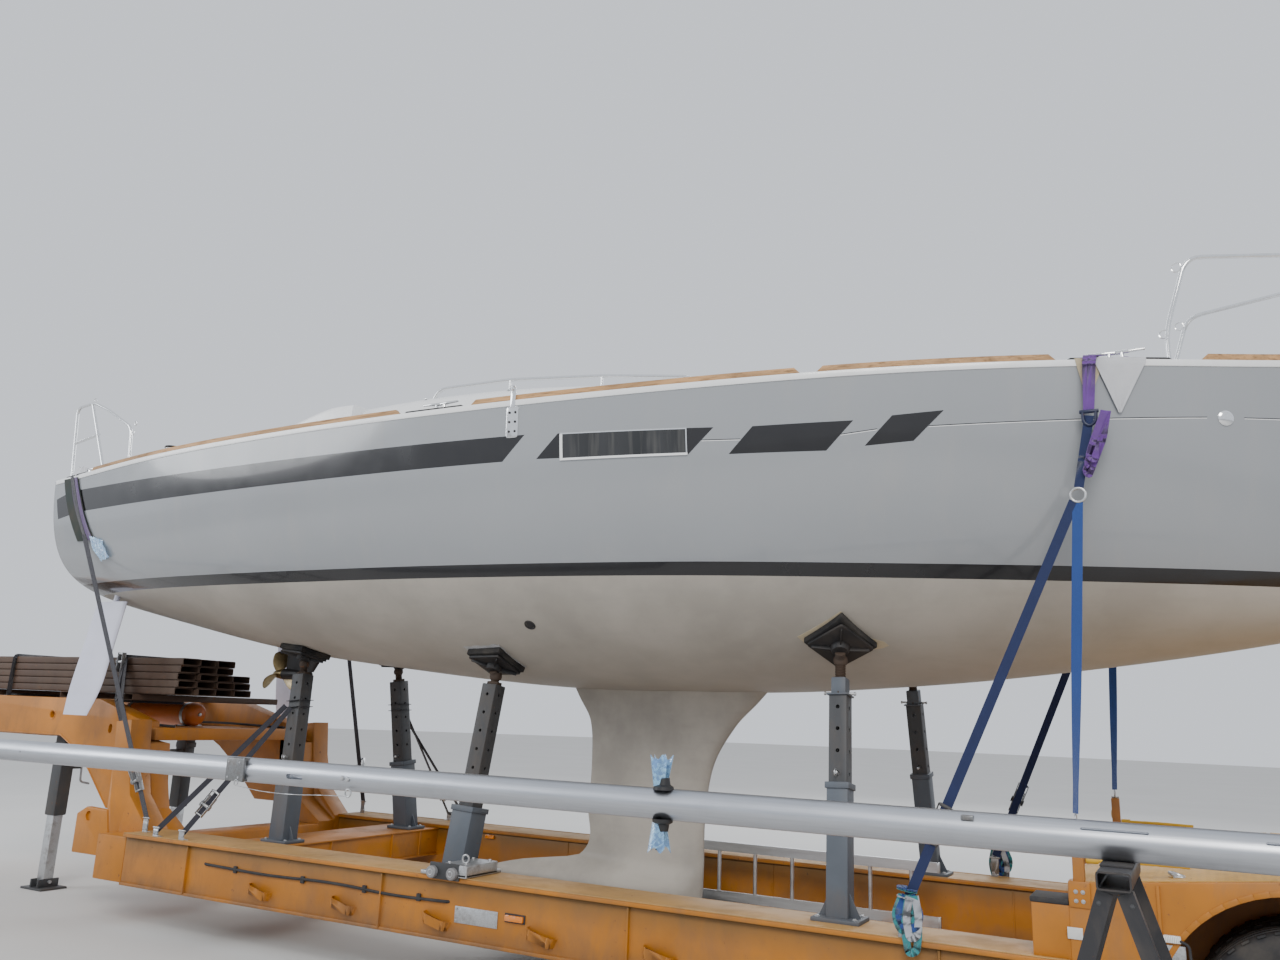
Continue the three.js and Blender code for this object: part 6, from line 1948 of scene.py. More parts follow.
    def tank(self):
        bm = bmesh.new()
        add_lathe(bm, [(0, 0), (0.045, 0.003), (0.080, 0.016), (0.100, 0.040), (0.1055, 0.065),
                       (0.1055, 0.935), (0.100, 0.960), (0.080, 0.984), (0.045, 0.997), (0, 1.0)],
                  (-0.6, 0, TANK_Z), (1, 0, 0), 40)
        for at in (-0.535, 0.335):
            add_torus(bm, (at, 0, TANK_Z), (1, 0, 0), 0.1045, 0.0022, 40)
        piece("air_tank_shell", bm, "tank_orange", stands_for=("air_tank",))
        bm = bmesh.new()
        for x in (-0.50, 0.27):
            add_lathe(bm, [(0.1056, -0.018), (0.1085, -0.018), (0.1085, 0.018), (0.1056, 0.018)],
                      (x, 0, TANK_Z), (1, 0, 0), 40)
            add_box(bm, (x - 0.018, -0.13, 1.4335), (x + 0.018, 0.13, 1.445), 0.002)
        add_stud(bm, (0.399, 0, TANK_Z), (1, 0, 0), 0.018, 0.014)
        add_rod(bm, (-0.1, 0, TANK_Z - 0.104), (-0.1, 0, TANK_Z - 0.135), 0.014, sides=12, edge=0.002)
        piece("air_tank_bands", bm, "galvanised")

    def spare_beams(self):
        bm = bmesh.new()
        for x in (-1.70, -0.50, 0.40):
            add_hollow_beam(bm, -0.8, 0.8, x + 0.06, 1.6505, 0.12, 0.056, 0.006)
        bmesh.ops.rotate(bm, verts=bm.verts, cent=(0, 0, 0), matrix=Matrix.Rotation(-math.pi / 2, 3, "Z"))
        rng = random.Random(23)
        for z, count in SPARE_ROWS:
            for i in range(count):
                start, reach = -1.90 + rng.uniform(0, 0.10), 1.05 - rng.uniform(0, 0.07)
                add_hollow_beam(bm, start, reach, -0.66 + 0.19 * i, z + 0.0015, SPARE_WIDTH, SPARE_HIGH,
                                SPARE_WALL)
        piece("stowed_beams", bm, "brown_steel", stands_for=("spare_beams",))
        bm = bmesh.new()
        # webbing round the stack: aft and fore places
        for x in (-1.335, 0.290):
            low, top = 1.6530, 2.0185
            corners = [(x, -0.10, low - 0.004), (x, -0.775, low), (x, -0.765, top), (x, -0.19, top + 0.001),
                       (x + 0.004, -0.17, top - 0.02)]
            add_strap(bm, corners, 0.045, 0.004, (0, -1, 0), 0.02)
        for lean, low in ((0.0, 1.44), (0.10, 1.30)):
            add_strap(bm, [(0.290 + lean * 0.3, -0.776, 2.00), (0.400 + lean * 0.7, -0.868, 1.66),
                           (0.530 + lean, -0.868, low)], 0.045, 0.004, (0, -1, 0), 0.03)
        piece("stowed_beam_straps", bm, "dark_strap")
        bm = bmesh.new()
        self.ratchet(bm, Vector((0.285, -0.785, 1.975)))
        piece("stowed_beam_ratchet", bm, "galvanised")

    def ratchet(self, bm, at):
        for dx in (-0.032, 0.028):
            add_box(bm, at + Vector((dx, -0.030, -0.09)), at + Vector((dx + 0.004, 0.012, 0.08)), 0.0015)
        add_rod(bm, at + Vector((-0.04, -0.010, 0)), at + Vector((0.04, -0.010, 0)), 0.014, sides=16)
        add_rod(bm, at + Vector((-0.035, -0.016, 0.07)), at + Vector((0.035, -0.016, 0.07)), 0.008, sides=12)
        for dx in (-0.038, 0.034):
            add_rod(bm, at + Vector((dx, -0.010, 0)), at + Vector((dx + 0.004, -0.010, 0)), 0.024, sides=12)


# Rear deck, wheels and axles
AXLES = (("first", 8.920), ("second", 10.230))
HUB_Z = 0.450
ARCH_RADIUS = 0.590
DECK_HALF, DECK_TOP, DECK_AFT = 1.275, 1.100, 11.000
DECK_OUTLINE = ((7.9955, 0.300), (8.330, 0.300), (8.330, 0.560), (11.0, 0.560), (11.0, 1.0995),
                (8.900, 1.0995), (7.9955, 1.0045))
TYRE_IN = 0.700
# radius and distance outwards from the inner face, round one tyre
TYRE_PROFILE = ((0.278, 0.030), (0.300, 0.012), (0.350, 0.002), (0.405, 0.012), (0.432, 0.030),
                (0.4445, 0.048), (0.4475, 0.072), (0.4475, 0.084), (0.439, 0.087), (0.439, 0.097),
                (0.4485, 0.100), (0.4485, 0.134), (0.440, 0.137), (0.440, 0.147), (0.4485, 0.150),
                (0.4485, 0.184), (0.439, 0.187), (0.439, 0.197), (0.4475, 0.200), (0.4475, 0.212),
                (0.4445, 0.232), (0.432, 0.250), (0.405, 0.266), (0.350, 0.274), (0.300, 0.264),
                (0.278, 0.246))
SECOND_TYRE = 0.280                   # how much further out the outer tyre stands
LUGS, LUG_CIRCLE = 40, 0.4435
RIM_HOLES, HOLE_CIRCLE = 8, 0.196
WHEEL_NUTS, NUT_CIRCLE = 10, 0.118
SPRING_HALF = 0.44                    # half the length of an axle's longest spring leaf


class YACHT_OT_rear_deck(bpy.types.Operator):
    """Builds the deck over the wheels, with its chequered plates, arches, stakes and lamps"""
    bl_idname = "yacht.rear_deck"
    bl_label = "Rear deck"

    def execute(self, context):
        bm = bmesh.new()
        add_plate(bm, side_outline(DECK_OUTLINE, -DECK_HALF), Vector((0, 2 * DECK_HALF, 0)), 0.008)
        deck = piece("deck_body", bm, "trailer_paint", stands_for=("rear_deck",))
        bm = bmesh.new()
        for i, (_, x) in enumerate(AXLES):
            for _, hand in SIDES:
                add_rod(bm, (x, hand * (TYRE_IN - 0.075 - i * 0.0002), HUB_Z), (x, hand * 1.40, HUB_Z),
                        ARCH_RADIUS, sides=64)
        cut_out(deck, bm)
        self.top()
        self.sides()
        self.tail()
        return {"FINISHED"}

    def top(self):
        bm = bmesh.new()
        start = 8.925
        length = (DECK_AFT - 0.02 - start) / 3
        for row in range(2):
            for i in range(3):
                x, y = start + i * length, -DECK_HALF + 0.012 + row * (DECK_HALF - 0.006)
                add_box(bm, (x, y, DECK_TOP - 0.002),
                        (x + length - 0.006, y + DECK_HALF - 0.012, DECK_TOP + 0.005), 0.002)
        rise = Vector((0, 0, 0.005))
        for row in range(2):
            y0 = -DECK_HALF + 0.012 + row * (DECK_HALF - 0.006)
            y1 = y0 + DECK_HALF - 0.012
            slope = [Vector((8.010, y0, 1.0045)), Vector((8.905, y0, 1.0985)), Vector((8.905, y1, 1.0985)),
                     Vector((8.010, y1, 1.0045))]
            add_plate(bm, slope, rise, 0.002)
        piece("deck_plates", bm, "chequered")
        bm = bmesh.new()
        for x in (8.45, 9.55, 10.75):
            for _, hand in SIDES:
                z = DECK_TOP + 0.005 if x > 8.9 else 1.0045 + (x - 8.0) * 0.1045
                add_torus(bm, (x, hand * 1.10, z + 0.008), (0.3, 0, 1), 0.038, 0.008)
                add_box(bm, (x - 0.02, hand * 1.10 - 0.055, z), (x + 0.02, hand * 1.10 - 0.025, z + 0.012),
                        0.003)
        piece("deck_rings", bm, "galvanised")

    def sides(self):
        bm = bmesh.new()
        for _, hand in SIDES:
            face = DECK_HALF
            add_side_box(bm, hand, 8.0, 8.30, face - 0.004, face + 0.006, 0.33, 0.56, 0.003)
            add_side_box(bm, hand, 8.02, 8.07, 1.225, 1.2748, 0.95, 1.255, 0.005)
            add_side_box(bm, hand, 7.998, 8.092, 1.20, 1.282, 0.90, 1.015, 0.006)
            add_side_box(bm, hand, 7.832, 7.999, 1.06, 1.270, BEAM_TOP + 0.001, 0.906, 0.006)
            for _, x in AXLES:
                # the lip round each arch
                for turn in range(0, 180, 6):
                    a, b = (math.radians(angle) for angle in (turn, turn + 6))
                    r = ARCH_RADIUS + 0.012
                    if HUB_Z + r * math.sin(min(a, b, key=math.sin)) > 0.57:
                        add_bar(bm, (x + r * math.cos(a), hand * 1.268, HUB_Z + r * math.sin(a)),
                                (x + r * math.cos(b), hand * 1.268, HUB_Z + r * math.sin(b)), 0.024,
                                0.024, 0.002)
            for x in (8.36, 9.54, 9.60, 10.88):
                add_side_box(bm, hand, x, x + 0.014, face - 0.004, face + 0.010, 0.57,
                             1.09 if x > 8.9 else 1.03, 0.003)
            add_side_box(bm, hand, 8.92, DECK_AFT - 0.004, face - 0.01, face + 0.010, 1.075, 1.098, 0.004)
        piece("deck_side_trim", bm, "trailer_paint")
        bm = bmesh.new()
        for _, hand in SIDES:
            for x, z in ((8.03, 0.97), (8.03, 0.93), (8.06, 0.97), (8.06, 0.93)):
                add_bolts(bm, [(x, hand * 1.282, z)], (0, hand, 0), 0.007, 0.006)
            add_side_box(bm, hand, 8.36, 8.46, DECK_HALF + 0.001, DECK_HALF + 0.004, 0.72, 0.79, 0.001)
        piece("deck_side_bolts", bm, "galvanised")
        bm = bmesh.new()
        for _, hand in SIDES:
            for x in (8.375, 10.90):
                add_side_box(bm, hand, x, x + 0.07, DECK_HALF, DECK_HALF + 0.020, 0.80, 0.832, 0.006)
        piece("deck_side_lamps", bm, "white_lens")
        bm = bmesh.new()
        for _, hand in SIDES:
            add_side_box(bm, hand, 7.826, 7.997, 1.055, 1.274, 0.905, 0.930, 0.006)
            add_tube(bm, [(8.44, hand * 1.290, 0.812), (8.475, hand * 1.300, 0.80),
                          (8.480, hand * 1.300, 0.70)], 0.006, 0.02)
        piece("deck_block_caps", bm, "pad_rubber")
        bm = bmesh.new()
        for _, hand in SIDES:
            add_side_box(bm, hand, 7.985, 8.05, DECK_HALF + 0.001, DECK_HALF + 0.0045, 0.765, 0.815, 0.001)
        piece("deck_labels", bm, "bare_white")
        bm = bmesh.new()
        for _, x in AXLES:
            for _, hand in SIDES:
                add_side_box(bm, hand, x - 0.088, x + 0.088, 0.421, 0.559, 0.5205, 0.60, 0.006)
                # leaf springs under the hangers
                for i in range(4):
                    add_tube_leaf(bm, x, hand * 0.49, 0.375 - i * 0.014, SPRING_HALF - i * 0.09)
                for end in (x - SPRING_HALF, x + SPRING_HALF):
                    add_side_box(bm, hand, end - 0.03, end + 0.03, 0.43, 0.55, 0.37, 0.58, 0.006)
        piece("springs", bm, "post_steel")

    def tail(self):
        bm = bmesh.new()
        add_box(bm, (DECK_AFT - 0.058, -1.198, 0.502), (DECK_AFT + 0.034, 1.198, 0.5605), 0.006)
        piece("tail_bar", bm, "trailer_paint")
        bm = bmesh.new()
        for _, hand in SIDES:
            add_side_box(bm, hand, DECK_AFT - 0.001, DECK_AFT + 0.012, 0.760, 1.240, 0.700, 0.860, 0.006)
        add_box(bm, (DECK_AFT - 0.001, -0.27, 0.70), (DECK_AFT + 0.006, 0.27, 0.83), 0.003)
        piece("tail_lamp_bases", bm, "pad_rubber")
        # finish, from the middle outwards, of each lens
        for finish, y0, y1 in (("white_lens", 0.770, 0.880), ("red_lens", 0.890, 1.110),
                               ("amber_lens", 1.120, 1.230)):
            bm = bmesh.new()
            for _, hand in SIDES:
                add_side_box(bm, hand, DECK_AFT + 0.010, DECK_AFT + 0.034, y0, y1, 0.712, 0.848, 0.010)
            piece(f"tail_{finish}", bm, finish)
        bm = bmesh.new()
        add_box(bm, (DECK_AFT + 0.004, -0.26, 0.71), (DECK_AFT + 0.009, 0.26, 0.82), 0.002)
        piece("blank_plate", bm, "bare_white")


def add_tube_leaf(bm, x, y, z, reach):
    """One leaf of a spring: a thin bar that bends up to both ends."""
    path = [Vector((x + reach * share, y, z + 0.10 * (reach / SPRING_HALF) ** 2 * share * share))
            for share in (i / 6 - 1 for i in range(13))]
    add_swept(bm, path, [(-0.035, -0.006), (0.035, -0.006), (0.035, 0.006), (-0.035, 0.006)])


class YACHT_OT_wheels(bpy.types.Operator):
    """Builds the twin wheels with their tyres and rims, and the axles that carry them"""
    bl_idname = "yacht.wheels"
    bl_label = "Wheels and axles"

    def execute(self, context):
        for axle, x in AXLES:
            for name, hand in SIDES:
                self.wheel(f"{axle}_{name}", x, hand)
            self.axle(axle, x)
        return {"FINISHED"}

    def wheel(self, name, x, hand):
        body, node = f"wheel_{name}", f"trailer_wheel_{name}"
        out = Vector((0, hand, 0))
        middle = Vector((x, hand * TYRE_IN, HUB_Z))
        bm = bmesh.new()
        for off in (0, SECOND_TYRE):
            add_lathe(bm, TYRE_PROFILE, middle + out * off, out, 72)
            for i in range(LUGS):
                for side, shift in ((0.046, 0), (0.220, 0.5)):
                    turn = math.tau * (i + shift) / LUGS
                    way = Vector((math.cos(turn), 0, math.sin(turn)))
                    at = middle + out * (off + side + 0.008) + way * LUG_CIRCLE
                    add_bar(bm, at - out * 0.020, at + out * 0.020, 0.034, 0.009, 0.0, way)
        piece(f"tyres_{name}", bm, "tyre_rubber", body=body, stands_for=(node,))
        bm = bmesh.new()
        for off in (0, SECOND_TYRE):
            add_lathe(bm, [(0.279, 0.026), (0.286, 0.030), (0.286, 0.040), (0.262, 0.050), (0.255, 0.130),
                           (0.262, 0.236), (0.286, 0.244), (0.286, 0.250), (0.279, 0.252), (0.272, 0.246),
                           (0.250, 0.236), (0.246, 0.130), (0.250, 0.045), (0.272, 0.030)],
                      middle + out * off, out, 48)
        # the dished faces: radius and distance outwards
        add_lathe(bm, [(0.090, 0.386), (0.150, 0.386), (0.176, 0.400), (0.215, 0.455), (0.249, 0.470),
                       (0.249, 0.478), (0.212, 0.466), (0.170, 0.410), (0.148, 0.396), (0.090, 0.396)],
                  middle, out, 48)
        add_lathe(bm, [(0.090, 0.150), (0.150, 0.150), (0.215, 0.090), (0.249, 0.080), (0.249, 0.072),
                       (0.212, 0.080), (0.148, 0.140), (0.090, 0.140)], middle, out, 48)
        rim = piece(f"rims_{name}", bm, "rim_steel", body=body)
        bm = bmesh.new()
        for i in range(RIM_HOLES):
            turn = math.tau * (i + 0.5) / RIM_HOLES
            way = Vector((math.cos(turn), 0, math.sin(turn)))
            at = middle + way * HOLE_CIRCLE
            add_rod(bm, at + out * 0.36, at + out * 0.50, 0.024, sides=16)
        cut_out(rim, bm)
        bm = bmesh.new()
        add_lathe(bm, [(0, 0.002), (0.128, 0.004), (0.128, 0.055), (0.092, 0.060), (0.092, 0.400),
                       (0.080, 0.425), (0.060, 0.440), (0.058, 0.466), (0.040, 0.476), (0, 0.478)], middle,
                  out, 40)
        piece(f"hub_{name}", bm, "post_steel", body=body)
        bm = bmesh.new()
        for i in range(WHEEL_NUTS):
            turn = math.tau * i / WHEEL_NUTS
            at = middle + Vector((math.cos(turn), 0, math.sin(turn))) * NUT_CIRCLE
            add_bolts(bm, [at + out * 0.396], out, 0.015, 0.022)
            add_rod(bm, at + out * 0.40, at + out * 0.430, 0.009, sides=10)
        piece(f"wheel_nuts_{name}", bm, "galvanised", body=body)

    def axle(self, name, x):
        bm = bmesh.new()
        add_box(bm, (x - 0.068, -0.559, HUB_Z - 0.068), (x + 0.068, 0.559, HUB_Z + 0.068), 0.012)
        for _, hand in SIDES:
            out = Vector((0, hand, 0))
            add_lathe(bm, [(0, 0.0), (0.058, 0.0), (0.058, 0.085), (0.120, 0.088), (0.129, 0.096),
                           (0.129, 0.146), (0.116, 0.1495), (0, 0.1495)], Vector((x, hand * 0.55, HUB_Z)),
                      out, 40)
            add_rod(bm, (x - 0.16, hand * 0.50, HUB_Z + 0.02), (x - 0.16, hand * 0.62, HUB_Z + 0.02), 0.050,
                    sides=24, edge=0.008)
            add_bar(bm, (x - 0.16, hand * 0.56, HUB_Z + 0.02), (x - 0.05, hand * 0.56, HUB_Z), 0.03,
                    0.05, 0.006)
        piece(f"axle_and_drums_{name}", bm, "post_steel", stands_for=(f"axle_{name}",))


# Props under the hull
# name, foot, pad middle, width of sleeve and of post, what it stands on, how far up the sleeve reaches,
# distance from the post's top to the bend of its screw, the pad's side, and its turn in degrees
PROPS = (
    ("fore", (6.850, 1.060), (6.795, 0.838), 0.120, 0.104, BEAM_TOP, 0.59, 0.200, 0.296, 28),
    ("middle", (4.330, 1.050), (4.400, 0.880), 0.162, 0.114, BEAM_TOP, 0.33, 0.060, 0.290, 6),
    ("aft", (2.380, 0.700), (2.262, 0.560), 0.150, 0.118, 0.6447, 0.45, 0.085, 0.290, 6),
)
PAD_SOFT, PAD_STEEL = 0.040, 0.016
PAD_OVER_BEND = 0.118                 # from the bend of a prop's screw up to the hull
SCREW_RADIUS, THREAD = 0.031, 0.009
HOLE_PITCH, HOLE_DOWN = 0.12, 0.07    # between the holes of a post, and from its top to the first
ROLLERS, ROLLER_Z = (4.345, 4.500), 0.697


class Prop:
    """The places of one prop, in the yacht's frame."""

    def __init__(self, row, hand):
        self.name, foot, pad, self.width, self.inner, self.base, self.sleeve, column, self.size, turn = row
        self.hand = hand
        self.foot = Vector((foot[0], hand * foot[1], self.base))
        self.pad = Vector((pad[0], hand * pad[1], bottom_z(pad[0], pad[1])))
        self.out = bottom_out(self.pad.x, self.pad.y)
        self.below = self.pad - UP * PAD_OVER_BEND
        self.reach = self.below.z - self.foot.z
        self.top = self.foot.lerp(self.below, 1 - column / self.reach)
        self.plate = self.pad + self.out * (PAD_SOFT + PAD_STEEL)
        # the pad's own two directions on the hull
        level = (Vector((1, 0, 0)) - self.out * self.out.x).normalized()
        rising = self.out.cross(level) * -hand
        turn = math.radians(turn)
        self.first = level * math.cos(turn) + rising * math.sin(turn)
        self.second = rising * math.cos(turn) - level * math.sin(turn)

    def on_pad(self, a, b, proud=0.0):
        """A place on the hull under the pad, by distances along the pad's two directions."""
        at = self.pad + self.first * a + self.second * b
        return Vector((at.x, at.y, bottom_z(at.x, at.y))) + bottom_out(at.x, at.y) * proud

    def along(self, share):
        return self.foot.lerp(self.top, share)


class YACHT_OT_props(bpy.types.Operator):
    """Builds the posts, screws and pads that hold the yacht upright"""
    bl_idname = "yacht.props"
    bl_label = "Props and pads"

    def execute(self, context):
        for side, hand in SIDES:
            for row in PROPS:
                prop = Prop(row, hand)
                self.post(prop, side)
                self.screw(prop, side)
                self.pad(prop, side)
            self.carriage(side, hand)
        return {"FINISHED"}

    def post(self, prop, side):
        across = Vector((1, 0, 0))
        label = f"{prop.name}_{side}"
        bm = bmesh.new()
        inner = prop.inner
        add_bar(bm, prop.along(0.02), prop.top, inner, inner, 0.006, across)
        post = piece(f"prop_post_{label}", bm, "post_steel", stands_for=(f"prop_{label}",))
        bm = bmesh.new()
        way = (prop.top - prop.foot).normalized()
        side_way = way.cross(across).normalized()
        length = (prop.top - prop.foot).length
        for i in range(1, int(length / HOLE_PITCH)):
            at = prop.foot + way * (length - HOLE_DOWN - HOLE_PITCH * (i - 1))
            share = (at - prop.foot).length / length
            if share < prop.sleeve + 0.03:
                break
            add_rod(bm, at - across * 0.1 - way * 0.0003 * i, at + across * 0.1, 0.011, sides=12)
            add_rod(bm, at - side_way * 0.1, at + side_way * 0.1 + way * 0.0003 * i, 0.0112, sides=12)
        cut_out(post, bm)
        bm = bmesh.new()
        add_bar(bm, prop.foot + way * 0.012, prop.along(prop.sleeve), prop.width, prop.width, 0.007, across)
        add_bar(bm, prop.along(prop.sleeve) - way * 0.03, prop.along(prop.sleeve) + way * 0.004,
                prop.width + 0.016, prop.width + 0.016, 0.004, across)
        foot = prop.foot
        add_box(bm, foot + Vector((-0.13, -0.10, 0.0005)), foot + Vector((0.13, 0.10, 0.024)), 0.005)
        for dx in (-0.075, 0.075):
            add_plate(bm, [foot + Vector((dx - 0.03 * (1 if dx > 0 else -1), -0.006, 0.022)),
                           foot + Vector((dx * 1.5, -0.006, 0.022)),
                           foot + Vector((dx - 0.03 * (1 if dx > 0 else -1), -0.006, 0.16))],
                      Vector((0, 0.012, 0)), 0.002)
        if prop.name == "fore":
            # the smaller tube that carries the nut
            add_bar(bm, prop.top - way * 0.04, prop.top + way * 0.100, 0.086, 0.086, 0.008, across)
            add_bar(bm, prop.top - way * 0.004, prop.top + way * 0.006, 0.124, 0.124, 0.003, across)
        piece(f"prop_sleeve_{label}", bm, "sleeve_steel")
        bm = bmesh.new()
        at = prop.along(prop.sleeve) + way * 0.05
        reach = inner / 2 + 0.035
        add_rod(bm, at - side_way * reach, at + side_way * reach, 0.0095, sides=14, edge=0.002)
        add_torus(bm, at + side_way * reach * prop.hand, (1, 0, 0), 0.020, 0.003, 16)
        for dx in (-0.10, 0.10):
            add_bolts(bm, [foot + Vector((dx, dy, 0.024)) for dy in (-0.07, 0.07)], UP, 0.010, 0.009)
        if prop.name == "fore":
            # the nut on top, with its turning bar
            bar = prop.top + way * 0.012
            add_rod(bm, bar - across * 0.090, bar + across * 0.085, 0.007, sides=12, edge=0.002)
            for end in (-0.090, 0.085):
                add_rod(bm, bar + across * (end - 0.005), bar + across * (end + 0.005), 0.011, sides=12,
                        edge=0.002)
        piece(f"prop_pins_{label}", bm, "galvanised")

    def screw(self, prop, side):
        bm = bmesh.new()
        way = (prop.below - prop.top).normalized()
        start = prop.top - way * 0.02
        add_rod(bm, prop.top - way * 0.002, prop.top + way * 0.020, prop.inner * 0.44, sides=6, edge=0.004)
        for low, high in ((start, prop.below), (prop.below, prop.plate + prop.out * 0.03)):
            span = (high - low).length
            count = max(2, int(span / THREAD))
            profile = [(0, 0)]
            for i in range(count):
                profile += [(SCREW_RADIUS, (i + 0.15) * span / count),
                            (SCREW_RADIUS - 0.004, (i + 0.65) * span / count)]
            profile.append((0, span))
            add_lathe(bm, profile, low, (high - low).normalized(), 18)
        add_lathe(bm, [(0, -0.03), (0.035, -0.026), (0.042, -0.005), (0.038, 0.02), (0, 0.026)],
                  prop.below, UP, 20)
        piece(f"prop_screw_{prop.name}_{side}", bm, "rusty_steel")

    def pad(self, prop, side):
        label = f"{prop.name}_{side}"
        bm = bmesh.new()
        add_patch(bm, 12, 12, lambda u, v: prop.on_pad((u - 0.5) * prop.size, (v - 0.5) * prop.size, 0.003),
                  prop.out * PAD_SOFT)
        rims = [edge for edge in bm.edges if edge.is_boundary or edge.calc_face_angle(0) > 1.0]
        bmesh.ops.bevel(bm, geom=rims, offset=0.006, offset_type="OFFSET", segments=2, profile=0.5,
                        affect="EDGES", clamp_overlap=True, material=-1)
        pad = piece(f"pad_{label}", bm, "pad_black")
        bm = bmesh.new()
        reach = prop.size / 2 - 0.012
        signs = ((-1, -1), (1, -1), (1, 1), (-1, 1))
        corners = [prop.first * a * reach + prop.second * b * reach for a, b in signs]
        at = prop.pad + prop.out * (PAD_SOFT + 0.002)
        add_plate(bm, rounded_ring([at + corner for corner in corners], 0.02, 4), prop.out * PAD_STEEL, 0.002)
        under = at + prop.out * PAD_STEEL
        for corner in corners:
            way = corner.normalized()
            add_bar(bm, under + way * 0.02 + prop.out * 0.012, under + way * (reach * 1.2) + prop.out * 0.004,
                    0.008, 0.026, 0.002, prop.out)
        add_lathe(bm, [(0, -0.004), (0.055, -0.004), (0.055, 0.018), (0.045, 0.034), (0, 0.034)], under,
                  prop.out, 24)
        piece(f"pad_plate_{label}", bm, "pad_steel")
        if prop.name == "middle":
            self.felt(prop, label)
        if prop.name == "fore":
            self.cloth(prop, label)

    def felt(self, prop, label):
        """A worn layer of foam between the pad and the hull, standing out past two of its edges."""
        rng = random.Random(11 + prop.hand)
        edge = [rng.uniform(-0.007, 0.007) for _ in range(15)]
        wide, high = prop.size + 0.030, prop.size + 0.026

        def place(u, v):
            a = (u - 0.5) * wide - 0.010 + edge[round(v * 14)] * (1 if u > 0.5 else -1) * abs(2 * u - 1)
            b = (v - 0.5) * high + 0.008 + edge[round(u * 14)] * (1 if v > 0.5 else -1) * abs(2 * v - 1)
            return prop.on_pad(a, b, 0.0006)
        bm = bmesh.new()
        add_patch(bm, 14, 14, place, prop.out * 0.0022)
        made = piece(f"pad_felt_{label}", bm, "felt_grey")

    def cloth(self, prop, label):
        """A cloth between pad and hull, past the pad's aft corner and with a flap past its fore one."""
        wide, high, reach = 0.318, 0.318, 0.058
        lean = math.radians(4)

        def place(u, v):
            flap = reach * eased((u - 0.72) / 0.13) * eased((0.28 - v) / 0.13)
            a, b = (u - 0.5) * wide - 0.026 + flap, (v - 0.5) * high + 0.004 - flap * 0.8
            return prop.on_pad(a * math.cos(lean) + b * math.sin(lean),
                               b * math.cos(lean) - a * math.sin(lean), 0.0007)
        bm = bmesh.new()
        add_patch(bm, 14, 14, place, prop.out * 0.0018)
        made = piece(f"pad_cloth_{label}", bm, "cream_cloth")

    def carriage(self, side, hand):
        bm = bmesh.new()
        low = BEAM_TOP + 0.0063
        add_side_box(bm, hand, 4.242, 4.598, 0.95, 1.313, low, 0.698, 0.005)
        add_side_box(bm, hand, 4.402, 4.598, 0.992, 1.313, low, 0.750, 0.008)
        piece(f"carriage_{side}", bm, "galvanised")
        bm = bmesh.new()
        add_side_box(bm, hand, 4.312, 4.540, 1.3005, 1.3140, 0.655, 0.752, 0.004)
        piece(f"carriage_cheek_{side}", bm, "post_steel")
        bm = bmesh.new()
        for x in ROLLERS:
            add_lathe(bm, [(0, 0), (0.030, 0.0), (0.036, 0.005), (0.036, 0.030), (0.030, 0.035),
                           (0.016, 0.036), (0, 0.036)], (x, hand * 1.312, ROLLER_Z), (0, hand, 0), 28)
        piece(f"carriage_rollers_{side}", bm, "rim_steel")
        bm = bmesh.new()
        for x in ROLLERS:
            add_torus(bm, (x, hand * 1.3475, ROLLER_Z), (0, 1, 0), 0.016, 0.003, 24)
        add_bolts(bm, [(4.43 + dx, hand * (1.03 + dy), 0.750) for dx in (0, 0.13) for dy in (0, 0.24)], UP,
                  0.011, 0.010)
        add_torus(bm, (4.50, hand * 1.2, 0.772), (0, 1, 0), 0.024, 0.006)
        piece(f"carriage_bolts_{side}", bm, "galvanised")


# Mast, and the trestles that it lies on
MAST_Y, MAST_Z = -2.470, 1.310
MAST_AFT, MAST_FORE = -2.450, 11.050
MAST_FULL = -0.550                    # where the taper ends
MAST_WIDE, MAST_HIGH = 0.062, 0.066
SPREADER_X, SPREADER_Y = 6.500, MAST_Y - 0.020
TRESTLES = (("aft", -0.250), ("fore", 8.300))
TRESTLE_NEAR, TRESTLE_FAR = -2.742, -2.190
TRESTLE_TOP = 1.2437
LEG_HEAD, LEG_FOOT, LEG_DOWN = 0.030, 0.400, 0.074    # of a leg: out to its head and foot, down to its head


